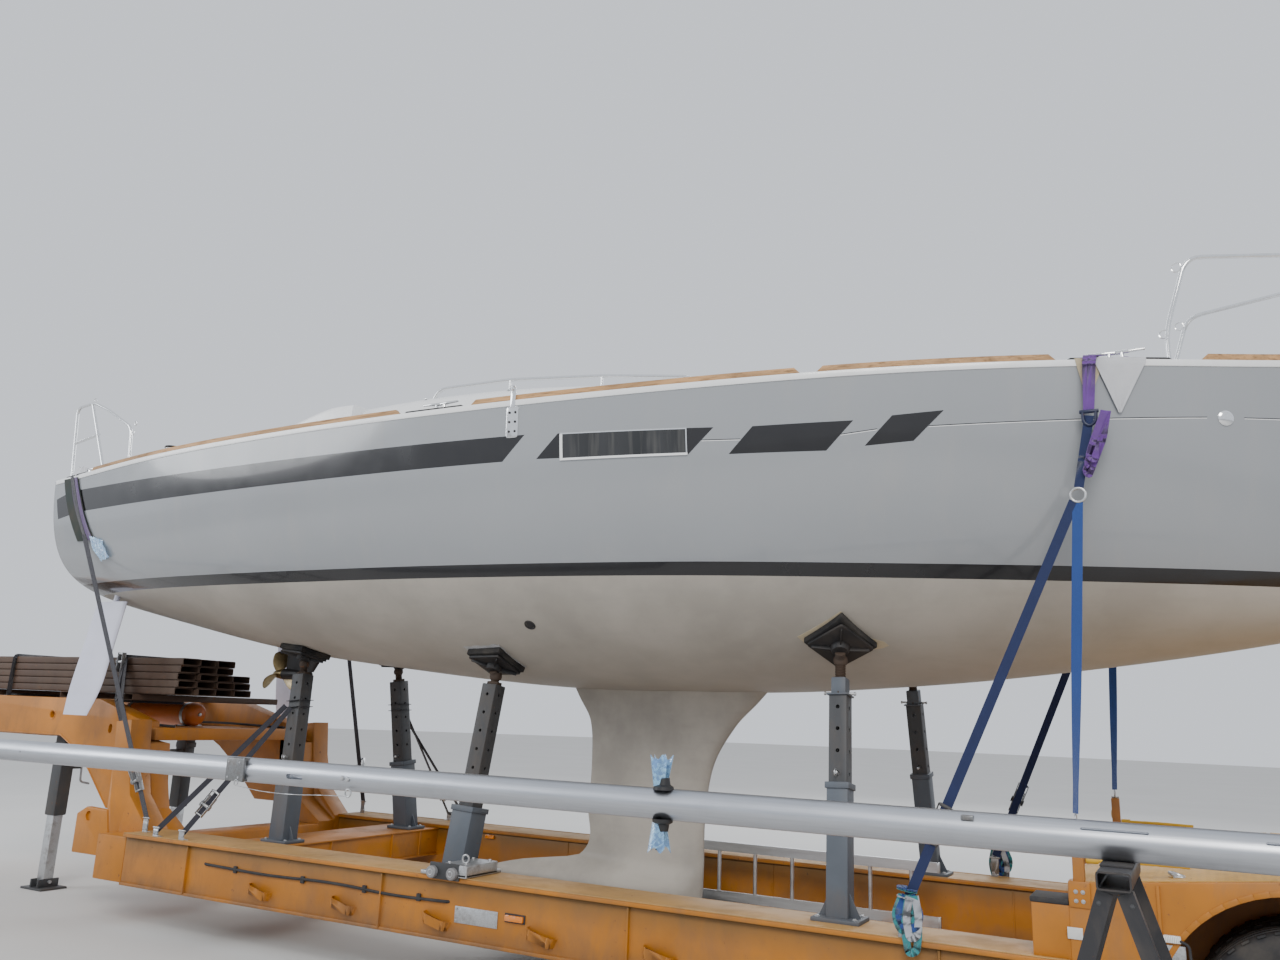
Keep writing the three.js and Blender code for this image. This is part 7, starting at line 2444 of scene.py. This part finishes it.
class YACHT_OT_mast(bpy.types.Operator):
    """Builds the mast with its groove, slots and fittings"""
    bl_idname = "yacht.mast"
    bl_label = "Mast"

    def execute(self, context):
        self.spar()
        self.fittings()
        self.spreaders()
        self.crane()
        return {"FINISHED"}

    def spar(self):
        bm = bmesh.new()
        sides = 56
        groove = {27, 28, 29}

        def ring_at(u):
            x = MAST_AFT + (MAST_FORE - MAST_AFT) * u
            size = 0.8 + 0.2 * min(max((x - MAST_AFT) / (MAST_FULL - MAST_AFT), 0), 1)
            ring = []
            for i in range(sides):
                turn = math.tau * i / sides
                # the groove runs along the side away from the trailer
                depth = 0.80 if i == 28 else 0.86 if i in groove else 1
                lobe = 1 - 0.05 * math.sin(turn * 2) ** 2
                ring.append(Vector((x, MAST_Y - MAST_WIDE * size * depth * lobe * math.cos(turn),
                                    MAST_Z + MAST_HIGH * size * lobe * math.sin(turn))))
            return ring
        add_loft(bm, 40, ring_at)
        spar = piece("spar", bm, "spar_silver", stands_for=("mast",), crease=28)
        bm = bmesh.new()
        # x, length, height over the middle and width of each slot in the side that shows
        for x, length, up, high in ((4.285, 0.120, -0.012, 0.024), (8.187, 0.218, 0.038, 0.009),
                                    (8.750, 0.16, 0.036, 0.009), (0.900, 0.12, 0.030, 0.010)):
            add_box(bm, (x, MAST_Y - 0.09, MAST_Z + up - high / 2),
                    (x + length, MAST_Y - 0.030, MAST_Z + up + high / 2), high * 0.45, 4)
        cut_out(spar, bm)

    def fittings(self):
        y = MAST_Y - MAST_WIDE
        bm = bmesh.new()
        for z in (MAST_Z - 0.060, MAST_Z + 0.046):
            add_box(bm, (3.832, y - 0.006, z), (3.958, MAST_Y + 0.045, z + 0.0165), 0.004)
        add_box(bm, (3.830, y - 0.011, MAST_Z - 0.060), (3.960, y + 0.006, MAST_Z + 0.0625), 0.005)
        add_box(bm, (3.957, y - 0.0125, MAST_Z - 0.062), (3.972, y + 0.004, MAST_Z + 0.064), 0.003)
        for x, z in ((9.6, 0.0), (9.9, 0.0), (1.6, 0.0), (1.9, 0.0)):
            add_stud(bm, (x, y + 0.002, MAST_Z + z), (0, -1, 0), 0.006, 0.003)
        add_box(bm, (7.776, y + 0.006, MAST_Z + 0.036), (7.822, y + 0.030, MAST_Z + 0.054), 0.003)
        piece("mast_bracket", bm, "dull_zinc")
        bm = bmesh.new()
        add_torus(bm, (3.925, y - 0.012, MAST_Z - 0.066), (0, 1, 0), 0.014, 0.003)
        add_torus(bm, (4.728, y + 0.008, MAST_Z - 0.070), (0, 1, 0), 0.019, 0.0042)
        for x, z in ((3.850, 0.040), (3.850, -0.040), (3.935, 0.040), (3.935, -0.040)):
            add_stud(bm, (x, y - 0.011, MAST_Z + z), (0, -1, 0), 0.006, 0.003)
        wire = [(3.927, y - 0.012, MAST_Z - 0.080), (4.10, y - 0.004, MAST_Z - 0.100),
                (4.32, y + 0.004, MAST_Z - 0.104), (4.58, y + 0.008, MAST_Z - 0.090),
                (4.724, y + 0.008, MAST_Z - 0.086)]
        add_tube(bm, wire, 0.0018, 0.2, 8)
        for x, z in ((4.688, 0.002), (4.726, -0.003)):
            add_lathe(bm, [(0, 0.001), (0.013, 0.001), (0.013, 0.004), (0.009, 0.010), (0, 0.011)],
                      (x, y + 0.0005, MAST_Z + z), (0, -1, 0), 16)
        piece("mast_wire", bm, "galvanised")

    def spreaders(self):
        bm = bmesh.new()
        for up in (-1, 1):
            add_lathe(bm, [(0, 0), (0.046, 0.0), (0.044, 0.014), (0.030, 0.022), (0.026, 0.05), (0, 0.052)],
                      (6.515, MAST_Y - 0.018, MAST_Z + up * (MAST_HIGH - 0.006)), (0, 0, up), 32)
            add_rod(bm, (SPREADER_X, SPREADER_Y, MAST_Z + up * 0.06),
                    (SPREADER_X, SPREADER_Y, MAST_Z + up * 0.189), 0.021, 0.014, 20, 0.004)
        piece("spreader_roots", bm, "drive_black")
        for label, up, reach in (("upper", 1, 0.135), ("lower", -1, 0.125)):
            def film(u, v):
                turn = math.tau * u * 0.92
                wide = 0.030 + 0.012 * math.sin(3 * turn + 1.3) * v + 0.016 * v
                return Vector((SPREADER_X + wide * math.cos(turn), SPREADER_Y + wide * 0.9 * math.sin(turn),
                               MAST_Z + up * (0.062 + reach * v + 0.012 * v * math.sin(5 * turn))))
            bm = bmesh.new()
            add_patch(bm, 40, 10, film)
            made = piece(f"film_{label}", bm, "blue_film", closed=False)

    def crane(self):
        bm = bmesh.new()
        for y in (MAST_Y - 0.020, MAST_Y + 0.014):
            outline = [(-2.448, -0.058), (-2.448, 0.088), (-2.30, 0.088), (-2.252, 0.045), (-2.252, -0.045),
                       (-2.32, -0.058)]
            points = rounded_ring([(along, up, 0) for along, up in outline], 0.02)
            add_plate(bm, [Vector((point.x, y, MAST_Z + point.y)) for point in points], Vector((0, 0.006, 0)),
                      0.001)
        piece("mast_crane", bm, "galvanised")
        bm = bmesh.new()
        for x, z in ((-2.40, 0.050), (-2.33, 0.050), (-2.40, -0.030)):
            add_lathe(bm, [(0.006, -0.010), (0.026, -0.010), (0.021, 0), (0.026, 0.010), (0.006, 0.010)],
                      (x, MAST_Y, MAST_Z + z), (0, 1, 0), 24)
            add_rod(bm, (x, MAST_Y - 0.024, MAST_Z + z), (x, MAST_Y + 0.024, MAST_Z + z), 0.0062, sides=12)
        piece("mast_sheaves", bm, "pad_rubber")
        bm = bmesh.new()
        cap = [(math.cos(math.tau * i / 32), math.sin(math.tau * i / 32)) for i in range(32)]
        add_plate(bm, [Vector((MAST_FORE - 0.012, MAST_Y - MAST_WIDE * 0.93 * a,
                               MAST_Z + MAST_HIGH * 0.93 * b))
                       for a, b in cap], Vector((0.0115, 0, 0)), 0.003)
        piece("mast_heel", bm, "drive_black")


class YACHT_OT_trestles(bpy.types.Operator):
    """Builds the two trestles that carry the mast"""
    bl_idname = "yacht.trestles"
    bl_label = "Trestles"

    def execute(self, context):
        for name, x in TRESTLES:
            self.trestle(name, x)
        return {"FINISHED"}

    def trestle(self, name, x):
        near, far, top = TRESTLE_NEAR, TRESTLE_FAR, TRESTLE_TOP
        high = 0.060
        bm = bmesh.new()
        add_hollow_beam(bm, near, far, x, top - 0.007 - high, 0.108, high, 0.006)
        # the beam is made along x about the origin, then turned
        bmesh.ops.rotate(bm, verts=bm.verts, cent=(0, 0, 0), matrix=Matrix.Rotation(math.pi / 2, 3, "Z"))
        bmesh.ops.scale(bm, vec=(-1, 1, 1), verts=bm.verts)
        bmesh.ops.reverse_faces(bm, faces=bm.faces)
        angle = [(-0.026, -0.026), (0.026, -0.026), (0.026, -0.019), (-0.019, -0.019), (-0.019, 0.026),
                 (-0.026, 0.026)]
        # how far from the trestle's middle the legs are at the height of the rungs
        reach = LEG_HEAD + (LEG_FOOT - LEG_HEAD) * (top - LEG_DOWN - 0.50) / (top - LEG_DOWN - 0.010)
        for y, hand in ((near + 0.05, 1), (far - 0.07, -1)):
            for way in (-1, 1):
                head = Vector((x + way * LEG_HEAD, y, top - LEG_DOWN))
                foot = Vector((x + way * LEG_FOOT, y, 0.010))
                add_swept(bm, [head, foot], [(across * way * hand, up) for across, up in angle], (0, 1, 0))
                add_box(bm, (foot.x - 0.045, y - 0.035, 0.0), (foot.x + 0.040, y + 0.035, 0.012), 0.003)
            add_box(bm, (x - 0.053, y - 0.024, top - 0.079), (x + 0.053, y + 0.024, top - 0.066), 0.002)
            # the rung across each pair of legs
            add_box(bm, (x - reach, y - 0.012, 0.477), (x + reach, y + 0.012, 0.523), 0.004)
        for way in (-1, 1):
            at = x + way * reach
            add_box(bm, (at - 0.018, near + 0.07, 0.480), (at + 0.018, far - 0.09, 0.516), 0.005)
        piece(f"trestle_frame_{name}", bm, "trestle_black", stands_for=(f"trestle_{name}",))
        bm = bmesh.new()
        add_box(bm, (x - 0.052, near + 0.14, top - 0.008), (x + 0.052, far - 0.12, top), 0.003)
        piece(f"trestle_mat_{name}", bm, "pad_rubber")
        bm = bmesh.new()
        for y in (near + 0.026, far - 0.046):
            out = (0, -1, 0) if y < MAST_Y else (0, 1, 0)
            add_bolts(bm, [(x + way * 0.050, y, top - 0.110) for way in (-1, 1)], out, 0.006, 0.006)
        piece(f"trestle_bolts_{name}", bm, "post_steel")


LADDER_ENDS, LADDER_RAILS, LADDER_Y = (4.702, 6.998), (0.430, 0.770), 0.640
BEARER_TOP = 0.398                    # what the ladder lies on


class YACHT_OT_ladder(bpy.types.Operator):
    """Builds the ladder that lies across the bearers"""
    bl_idname = "yacht.ladder"
    bl_label = "Ladder"

    def execute(self, context):
        bm = bmesh.new()
        aft, fore = LADDER_ENDS
        for z in LADDER_RAILS:
            channel = ((-0.014, -0.032), (0.014, -0.032), (0.014, -0.026), (-0.008, -0.026), (-0.008, 0.026),
                       (0.014, 0.026), (0.014, 0.032), (-0.014, 0.032))
            add_swept(bm, [(aft, LADDER_Y, z), (fore, LADDER_Y, z)], channel)
        for i in range(8):
            x = 4.850 + 0.280 * i
            add_rod(bm, (x, LADDER_Y, 0.405), (x, LADDER_Y, 0.798), 0.0138, sides=16)
            for z in LADDER_RAILS:
                add_torus(bm, (x, 0.6335, z), (0, 1, 0), 0.017, 0.003, 16)
        for x in (aft, fore - 0.014):
            for z in LADDER_RAILS:
                add_box(bm, (x - 0.001, 0.624, z - 0.0335),
                        (x + 0.014, 0.656, max(z - 0.0335, BEARER_TOP) + 0.067), 0.004)
        piece("ladder_frame", bm, "ladder_metal", stands_for=("ladder",))
        return {"FINISHED"}


# Lashings, and the cloths that keep them off the gelcoat
RING = Vector((8.130, 1.110, 2.855))
STAKE_TOP = Vector((8.045, 1.250, 1.264))
BEAM_HOOK_X, STERN_HOOK_X = 7.240, 1.420
# height, aft end and fore end of each row of the mat, and of the strap over it, at the quarters
QUARTER_MAT = ((3.470, 0.170, 0.396), (3.320, 0.225, 0.465), (3.160, 0.290, 0.540), (3.040, 0.345, 0.605),
               (2.935, 0.393, 0.668))
QUARTER_STRAP = ((3.474, 0.290, 0.340), (3.320, 0.364, 0.414), (3.160, 0.430, 0.480), (3.040, 0.485, 0.535),
                 (2.975, 0.512, 0.562))
STRAP_WIDE, STRAP_THICK = 0.050, 0.003


def between_rows(table, z):
    """Aft and fore end at a height, on straight lines through a table's rows from the top down."""
    for (high, aft0, fore0), (low, aft1, fore1) in zip(table, table[1:]):
        if z >= low or low == table[-1][0]:
            share = (high - z) / (high - low)
            return aft0 + (aft1 - aft0) * share, fore0 + (fore1 - fore0) * share


def add_skin_layer(bm, table, hand, columns, rows, proud, thick, share=(0, 1)):
    """A layer that lies on the topsides between the ends that a table gives."""
    high, low = table[0][0], table[-1][0]

    def place(u, v):
        z = high + (low - high) * v
        aft, fore = between_rows(table, z)
        x = aft + (fore - aft) * (share[0] + (share[1] - share[0]) * u)
        return on_skin(x, z, hand, proud + 0.0015 * math.sin(9 * u + 5 * v))
    return add_patch(bm, columns, rows, place, Vector((0, hand * thick, 0)))


def add_ratchet(bm, at, along, out, wide=0.058):
    """A strap's tightener: two cheeks, a drum, a handle and its pawl."""
    along, out = along.normalized(), out.normalized()
    across = along.cross(out).normalized()
    for side in (-1, 1):
        edge = at + across * side * wide / 2
        add_bar(bm, edge - along * 0.085, edge + along * 0.075, 0.003, 0.034, 0.001, out)
        edge = at + across * side * (wide / 2 + 0.005) + out * 0.012
        add_bar(bm, edge - along * 0.02, edge + along * 0.125 + out * 0.018, 0.003, 0.026, 0.001, out)
        for share in (-0.006, 0.006):
            add_rod(bm, edge + across * (share - 0.001), edge + across * (share + 0.002), 0.022, sides=14)
    reach = across * (wide / 2 + 0.012)
    add_rod(bm, at + out * 0.008 - reach, at + out * 0.008 + reach, 0.012, sides=16, edge=0.002)
    far = at + along * 0.120 + out * 0.030
    add_rod(bm, far - across * wide / 2, far + across * wide / 2, 0.009, sides=12, edge=0.002)
    near = at - along * 0.075
    add_rod(bm, near - across * wide / 2, near + across * wide / 2, 0.006, sides=12)


def add_hook(bm, at, hand, reach=0.10):
    """A flat hook over an edge, with its eye."""
    at = Vector(at)
    corners = [at + Vector((0, 0, reach)), at, at + Vector((0, -hand * 0.004, -0.030)),
               at + Vector((0, -hand * 0.036, -0.034)), at + Vector((0, -hand * 0.040, -0.012))]
    add_swept(bm, rounded(corners, 0.014, 4),
              [(-0.005, -0.024), (0.005, -0.024), (0.005, 0.024), (-0.005, 0.024)], (1, 0, 0))
    add_rod(bm, at + Vector((-0.034, 0, reach + 0.006)), at + Vector((0.034, 0, reach + 0.006)), 0.006,
            sides=12)


class YACHT_OT_bow_lashings(bpy.types.Operator):
    """Runs the straps and slings from the bow cleats to the trailer"""
    bl_idname = "yacht.bow_lashings"
    bl_label = "Bow lashings"

    def execute(self, context):
        for name, hand in SIDES:
            self.sling(name, hand)
            self.straps(name, hand)
            self.bundle(name, hand)
            self.cloths(name, hand)
        return {"FINISHED"}

    def sling(self, name, hand):
        out = Vector((0, hand, 0.15))
        bm = bmesh.new()
        for shift in (-0.012, 0.014):
            corners = [(8.24 + shift, 0.885, 3.634), (8.235 + shift, 0.985, 3.622),
                       (8.225 + shift, 1.085, 3.606), (8.22 + shift, 1.098, 3.560),
                       (8.205 + shift * 0.5, 1.104, 3.300)]
            add_strap(bm, all_sided(corners, hand), 0.040, STRAP_THICK, out, 0.02)
        # the folded length that hangs beside it
        for shift, low in ((0.0, 2.950), (0.018, 2.985), (0.034, 3.020)):
            corners = [(8.290 - shift * 0.3, 1.092 + shift * 0.3, 3.290),
                       (8.262 - shift, 1.108 + shift * 0.5, 3.14), (8.185 + shift, 1.118 + shift * 0.6, low),
                       (8.172 + shift * 0.6, 1.126 + shift * 0.6, low + 0.022),
                       (8.235 - shift * 0.4, 1.122 + shift * 0.6, 3.13), (8.275, 1.112 + shift * 0.5, 3.27)]
            add_strap(bm, all_sided(corners, hand), 0.038, STRAP_THICK, out, 0.03)
        for way in (-1, 1):
            at = (CLEATS[-1] + way * 0.036, deck_edge(CLEATS[-1])[0] - CLEAT_INSET, 3.612)
            add_torus(bm, sided(at, hand), UP, 0.026, 0.009)
        piece(f"bow_sling_{name}", bm, "purple_strap")
        bm = bmesh.new()
        tail = ((8.206, 1.104, 3.270), (8.165, 1.108, 3.05), (8.136, 1.110, 2.895))
        add_strap(bm, all_sided(tail, hand), 0.046, STRAP_THICK, out)
        piece(f"bow_sling_tail_{name}", bm, "navy_strap")
        bm = bmesh.new()
        bow = ((8.175, 1.106, 3.290), (8.178, 1.106, 3.235), (8.205, 1.106, 3.212), (8.236, 1.106, 3.235),
               (8.238, 1.106, 3.290))
        add_tube(bm, all_sided(bow, hand), 0.009, 0.03)
        add_rod(bm, sided((8.160, 1.106, 3.292), hand), sided((8.252, 1.106, 3.292), hand), 0.010, sides=14,
                edge=0.002)
        piece(f"bow_shackle_{name}", bm, "navy_paint")
        bm = bmesh.new()
        add_torus(bm, sided(RING, hand), (0, 1, 0), 0.036, 0.0065, 28)
        add_hook(bm, sided((BEAM_HOOK_X, 1.294, 0.690), hand), hand)
        add_torus(bm, sided(STAKE_TOP + Vector((0, 0, 0.022)), hand), (1, 0, 0), 0.021, 0.0045, 20)
        add_rod(bm, sided((8.022, 1.25, 1.262), hand), sided((8.068, 1.25, 1.262), hand), 0.007, sides=12)
        piece(f"bow_ring_{name}", bm, "galvanised")

    def straps(self, name, hand):
        out = Vector((0, hand, 0))
        ring, stake = sided(RING, hand), sided(STAKE_TOP, hand)
        bm = bmesh.new()
        top = ring + Vector((-0.004, 0, -0.036))
        low = stake + Vector((0, 0, 0.046))
        # it turns edge on towards its lower end

        def strap(u):
            at = top.lerp(low, u)
            turn = math.radians(58) * min(max((u - 0.42) / 0.5, 0), 1)
            wide = Vector((math.cos(turn), hand * math.sin(turn), 0)) * STRAP_WIDE / 2
            thick = Vector((-hand * math.sin(turn), math.cos(turn), 0)) * STRAP_THICK / 2
            return [at - wide - thick, at + wide - thick, at + wide + thick, at - wide + thick]
        add_loft(bm, 48, strap)
        piece(f"bow_strap_forward_{name}", bm, "blue_strap", stands_for=(f"bow_lashing_{name}",))
        bm = bmesh.new()
        top = ring + Vector((-0.020, 0, -0.030))
        low = sided((BEAM_HOOK_X + 0.006, 1.293, 0.806), hand)
        add_strap(bm, [top, low], STRAP_WIDE, STRAP_THICK, out)
        piece(f"bow_strap_aft_{name}", bm, "navy_strap")
        bm = bmesh.new()
        way = (top - low).normalized()
        add_ratchet(bm, low + way * 0.42 + out * 0.006, way, out)
        piece(f"bow_ratchet_{name}", bm, "post_steel")
        bm = bmesh.new()
        # a grab hook under the strap, and the lever of the load binder that lies on the deck
        grab = ((8.052, 1.250, 1.258), (8.040, 1.254, 1.215), (8.020, 1.256, 1.165), (8.022, 1.256, 1.125),
                (8.048, 1.254, 1.110), (8.066, 1.252, 1.135))
        lever = ((8.075, 1.240, 1.108), (8.30, 1.215, 1.114), (8.50, 1.190, 1.112))
        add_tube(bm, all_sided(grab, hand), 0.008, 0.02)
        add_tube(bm, all_sided(lever, hand), 0.010, 0.05)
        add_rod(bm, sided(lever[0], hand), sided((8.130, 1.234, 1.110), hand), 0.017, sides=16, edge=0.004)
        piece(f"stake_hook_{name}", bm, "hook_yellow")

    def bundle(self, name, hand):
        """The strap's long end, wound into loops that are knotted round it."""
        out = Vector((0, hand, 0))
        knot = sided((7.262, 1.300, 0.865), hand)
        rng = random.Random(5 + hand)
        for finish, turns in (("grey_strap", 3), ("teal_strap", 2), ("blue_strap", 2)):
            bm = bmesh.new()
            for _ in range(turns):
                wide, drop = rng.uniform(0.035, 0.070), rng.uniform(0.13, 0.26)
                dx, dy = rng.uniform(-0.025, 0.035), rng.uniform(-0.006, 0.022)
                corners = [knot + Vector((dx - 0.012, hand * dy, 0.01)),
                           knot + Vector((dx - wide * 0.8, hand * (dy + 0.010), -drop * 0.55)),
                           knot + Vector((dx - wide * 0.3, hand * (dy + 0.014), -drop)),
                           knot + Vector((dx + wide * 0.6, hand * (dy + 0.014), -drop * 0.94)),
                           knot + Vector((dx + wide * 0.9, hand * (dy + 0.006), -drop * 0.5)),
                           knot + Vector((dx + 0.014, hand * dy, 0.012))]
                add_strap(bm, corners, 0.036, STRAP_THICK, out, 0.05)
            for _ in range(2):
                up = rng.uniform(-0.02, 0.035)
                turned = [knot + Vector((0.034 * math.cos(a), hand * 0.030 * math.sin(a) - hand * 0.006,
                                         up + 0.012 * math.sin(a * 0.5)))
                          for a in (math.tau * k / 10 for k in range(11))]
                add_strap(bm, turned, 0.034, STRAP_THICK, UP, 0.01)
            piece(f"bow_bundle_{finish}_{name}", bm, finish)

    def cloths(self, name, hand):
        """A cloth folded over the gunwale under the sling, and an older one behind it."""
        # name, finish, top aft x, top fore x, tip x, tip z, how far off the skin
        cloths = (("white", "white_cloth", 8.235, 8.485, 8.340, 3.305, 0.012),
                  ("cream", "cream_cloth", 8.150, 8.290, 8.200, 3.370, 0.006))
        for word, finish, x0, x1, tip_x, tip_z, off in cloths:
            def place(u, v):
                # from inside the toe rail, over the gunwale and down to the tip
                if v < 0.3:
                    x = x0 + (x1 - x0) * u
                    half, edge = deck_edge(x)
                    share = v / 0.3
                    return Vector((x, hand * (half - 0.055 * (1 - share) + off * share * 0.5),
                                   edge + 0.020 + off * 0.6 - 0.010 * share ** 3 + 0.002 * math.sin(14 * u)))
                share = (v - 0.3) / 0.7
                x = (x0 + (x1 - x0) * u) * (1 - share) + (tip_x + (u - 0.5) * 0.012) * share
                _, edge = deck_edge(x)
                z = (edge + 0.006) * (1 - share) + tip_z * share
                fold = 0.004 * math.sin(11 * u + 2.0 * share) * share
                here, out = skin_at(x, min(z, edge - 0.004), hand)
                here.z = z
                return here + out * (off + fold)
            bm = bmesh.new()
            add_patch(bm, 20, 24, place, Vector((0, hand * 0.0012, 0.0008)))
            made = piece(f"bow_cloth_{word}_{name}", bm, finish)


class YACHT_OT_stern_lashings(bpy.types.Operator):
    """Runs the straps over the quarters, their mats, and the braces of the aft props"""
    bl_idname = "yacht.stern_lashings"
    bl_label = "Stern lashings"

    def execute(self, context):
        for name, hand in SIDES:
            self.mat(name, hand)
            self.straps(name, hand)
            self.braces(name, hand)
            self.rags(name, hand)
        return {"FINISHED"}

    def mat(self, name, hand):
        bm = bmesh.new()
        add_skin_layer(bm, QUARTER_MAT, hand, 12, 24, 0.005, 0.006)
        mat = piece(f"quarter_mat_{name}", bm, "mat_green")
        bm = bmesh.new()
        add_skin_layer(bm, QUARTER_MAT, hand, 8, 24, 0.0125, 0.0015, (0.52, 0.97))
        made = piece(f"quarter_felt_{name}", bm, "purple_cloth")

    def straps(self, name, hand):
        out = Vector((0, hand, 0))
        bm = bmesh.new()
        add_skin_layer(bm, QUARTER_STRAP, hand, 2, 24, 0.0155, STRAP_THICK)
        top = [(0.300, 1.345, 3.4945), (0.300, 1.415, 3.4945), (0.300, 1.458, 3.507), (0.301, 1.492, 3.506),
               (0.312, 1.512, 3.480)]
        add_strap(bm, all_sided(top, hand), STRAP_WIDE, STRAP_THICK, UP, 0.012)
        here, way_out = skin_at(0.535, 2.990, hand)
        start = here + way_out * 0.017
        hook = sided((STERN_HOOK_X, 1.176, 0.775), hand)
        add_strap(bm, [start, hook], STRAP_WIDE, STRAP_THICK, out)
        piece(f"stern_strap_{name}", bm, "dark_strap", stands_for=(f"stern_lashing_{name}",))
        bm = bmesh.new()
        way = (start - hook).normalized()
        add_ratchet(bm, hook + way * 0.30 + out * 0.006, way, out)
        add_hook(bm, sided((STERN_HOOK_X, 1.178, 0.688), hand), hand, 0.085)
        piece(f"stern_ratchet_{name}", bm, "galvanised")

    def braces(self, name, hand):
        out = Vector((0.35, hand, 0))
        bm = bmesh.new()
        # they run aft on the starboard side, and straight out on the port side
        aft, fore = ((x, 1.286, 0.720) for x in ((1.985, 1.700) if hand < 0 else (2.380, 2.560)))
        tops = ((2.285, 0.676, 1.640), (2.225, 0.672, 1.655))
        for top, low in zip(tops, (aft, fore)):
            add_strap(bm, [sided(top, hand), sided(low, hand)], 0.042, STRAP_THICK, out)
        # the turns round the leaning post's top
        foot_z, tall, reach = 0.6447, 1.345, 0.063
        for level in (1.650, 1.700):
            share = (level - foot_z) / tall
            middle = Vector((2.380 - 0.118 * share, hand * (0.700 - 0.140 * share), level))
            turn = [middle + Vector((a * reach, b * hand * reach, 0.006 * a)) for a, b in
                    ((1, 0.9), (1, -1), (-1, -1), (-1, 1), (0.9, 1))]
            add_strap(bm, turn, 0.040, STRAP_THICK, UP, 0.012)
        piece(f"post_brace_{name}", bm, "dark_strap")
        bm = bmesh.new()
        for low in (aft, fore):
            add_hook(bm, sided((low[0], 1.294, 0.690), hand), hand, 0.045)
        low, top = sided(aft, hand), sided(tops[0], hand)
        way = (top - low).normalized()
        add_ratchet(bm, low + way * 0.24 + out.normalized() * 0.006, way, out)
        piece(f"brace_ratchet_{name}", bm, "galvanised")

    def rags(self, name, hand):
        """A rag in the cleat at the stern, and a scrap of wrapping film on the strap."""
        half, edge = deck_edge(CLEATS[0])
        x0, y0, z0 = CLEATS[0], half - CLEAT_INSET, edge + 0.06

        def rag(u, v):
            turn = math.tau * u
            wide = 0.030 + 0.022 * v + 0.007 * math.sin(5 * turn + 2)
            return sided((x0 - 0.06 + wide * math.cos(turn) * 1.3 + 0.03 * v,
                          y0 + wide * math.sin(turn) + 0.028 * v,
                          z0 + 0.030 - 0.075 * v + 0.010 * math.sin(3 * turn)), hand)
        bm = bmesh.new()
        add_patch(bm, 32, 10, rag)
        made = piece(f"stern_rag_{name}", bm, "white_cloth", closed=False)
        if hand < 0:
            def film(u, v):
                x = 0.600 + 0.20 * u + 0.11 * v * (1 - u * 0.3) + 0.008 * math.sin(9 * v + 3 * u)
                z = 2.965 - 0.21 * v * (1 - 0.35 * u) - 0.05 * u
                y = skin_at(x, z, hand)[0].y + hand * (0.012 + 0.020 * v + 0.008 * math.sin(12 * u + 4 * v))
                return Vector((x, y, z))
            bm = bmesh.new()
            add_patch(bm, 18, 22, film)
            made = piece(f"stern_film_{name}", bm, "blue_film", closed=False)


class YACHT_PT_panel(bpy.types.Panel):
    """Lists the steps that dress the yacht"""
    bl_idname = "YACHT_PT_panel"
    bl_label = "Sailing yacht"
    bl_space_type = "VIEW_3D"
    bl_region_type = "UI"
    bl_category = "Yacht"

    def draw(self, context):
        for operator in OPERATORS:
            self.layout.operator(operator.bl_idname)
        for group in ("yacht_colours", "yacht_stage"):
            settings = getattr(context.scene, group)
            for name in settings.__annotations__:
                self.layout.prop(settings, name)


GROUPS = {"yacht_colours": YachtColours, "yacht_stage": StageSettings}
OPERATORS = (
    YACHT_OT_stage,
    YACHT_OT_hull,
    YACHT_OT_gunwale,
    YACHT_OT_topside_fittings,
    YACHT_OT_deck_house,
    YACHT_OT_hatches,
    YACHT_OT_rails,
    YACHT_OT_deck_gear,
    YACHT_OT_underwater,
    YACHT_OT_trailer_bed,
    YACHT_OT_neck,
    YACHT_OT_rear_deck,
    YACHT_OT_wheels,
    YACHT_OT_props,
    YACHT_OT_mast,
    YACHT_OT_trestles,
    YACHT_OT_ladder,
    YACHT_OT_bow_lashings,
    YACHT_OT_stern_lashings,
)
CLASSES = (*GROUPS.values(), *OPERATORS, YACHT_PT_panel)


def register():
    for each in CLASSES:
        bpy.utils.register_class(each)
    for name, group in GROUPS.items():
        setattr(bpy.types.Scene, name, bpy.props.PointerProperty(type=group))


def unregister():
    for name in GROUPS:
        delattr(bpy.types.Scene, name)
    for each in reversed(CLASSES):
        bpy.utils.unregister_class(each)


def main():
    register()
    for operator in OPERATORS:
        group, name = operator.bl_idname.split(".")
        getattr(getattr(bpy.ops, group), name)()


if __name__ == "__main__":
    main()
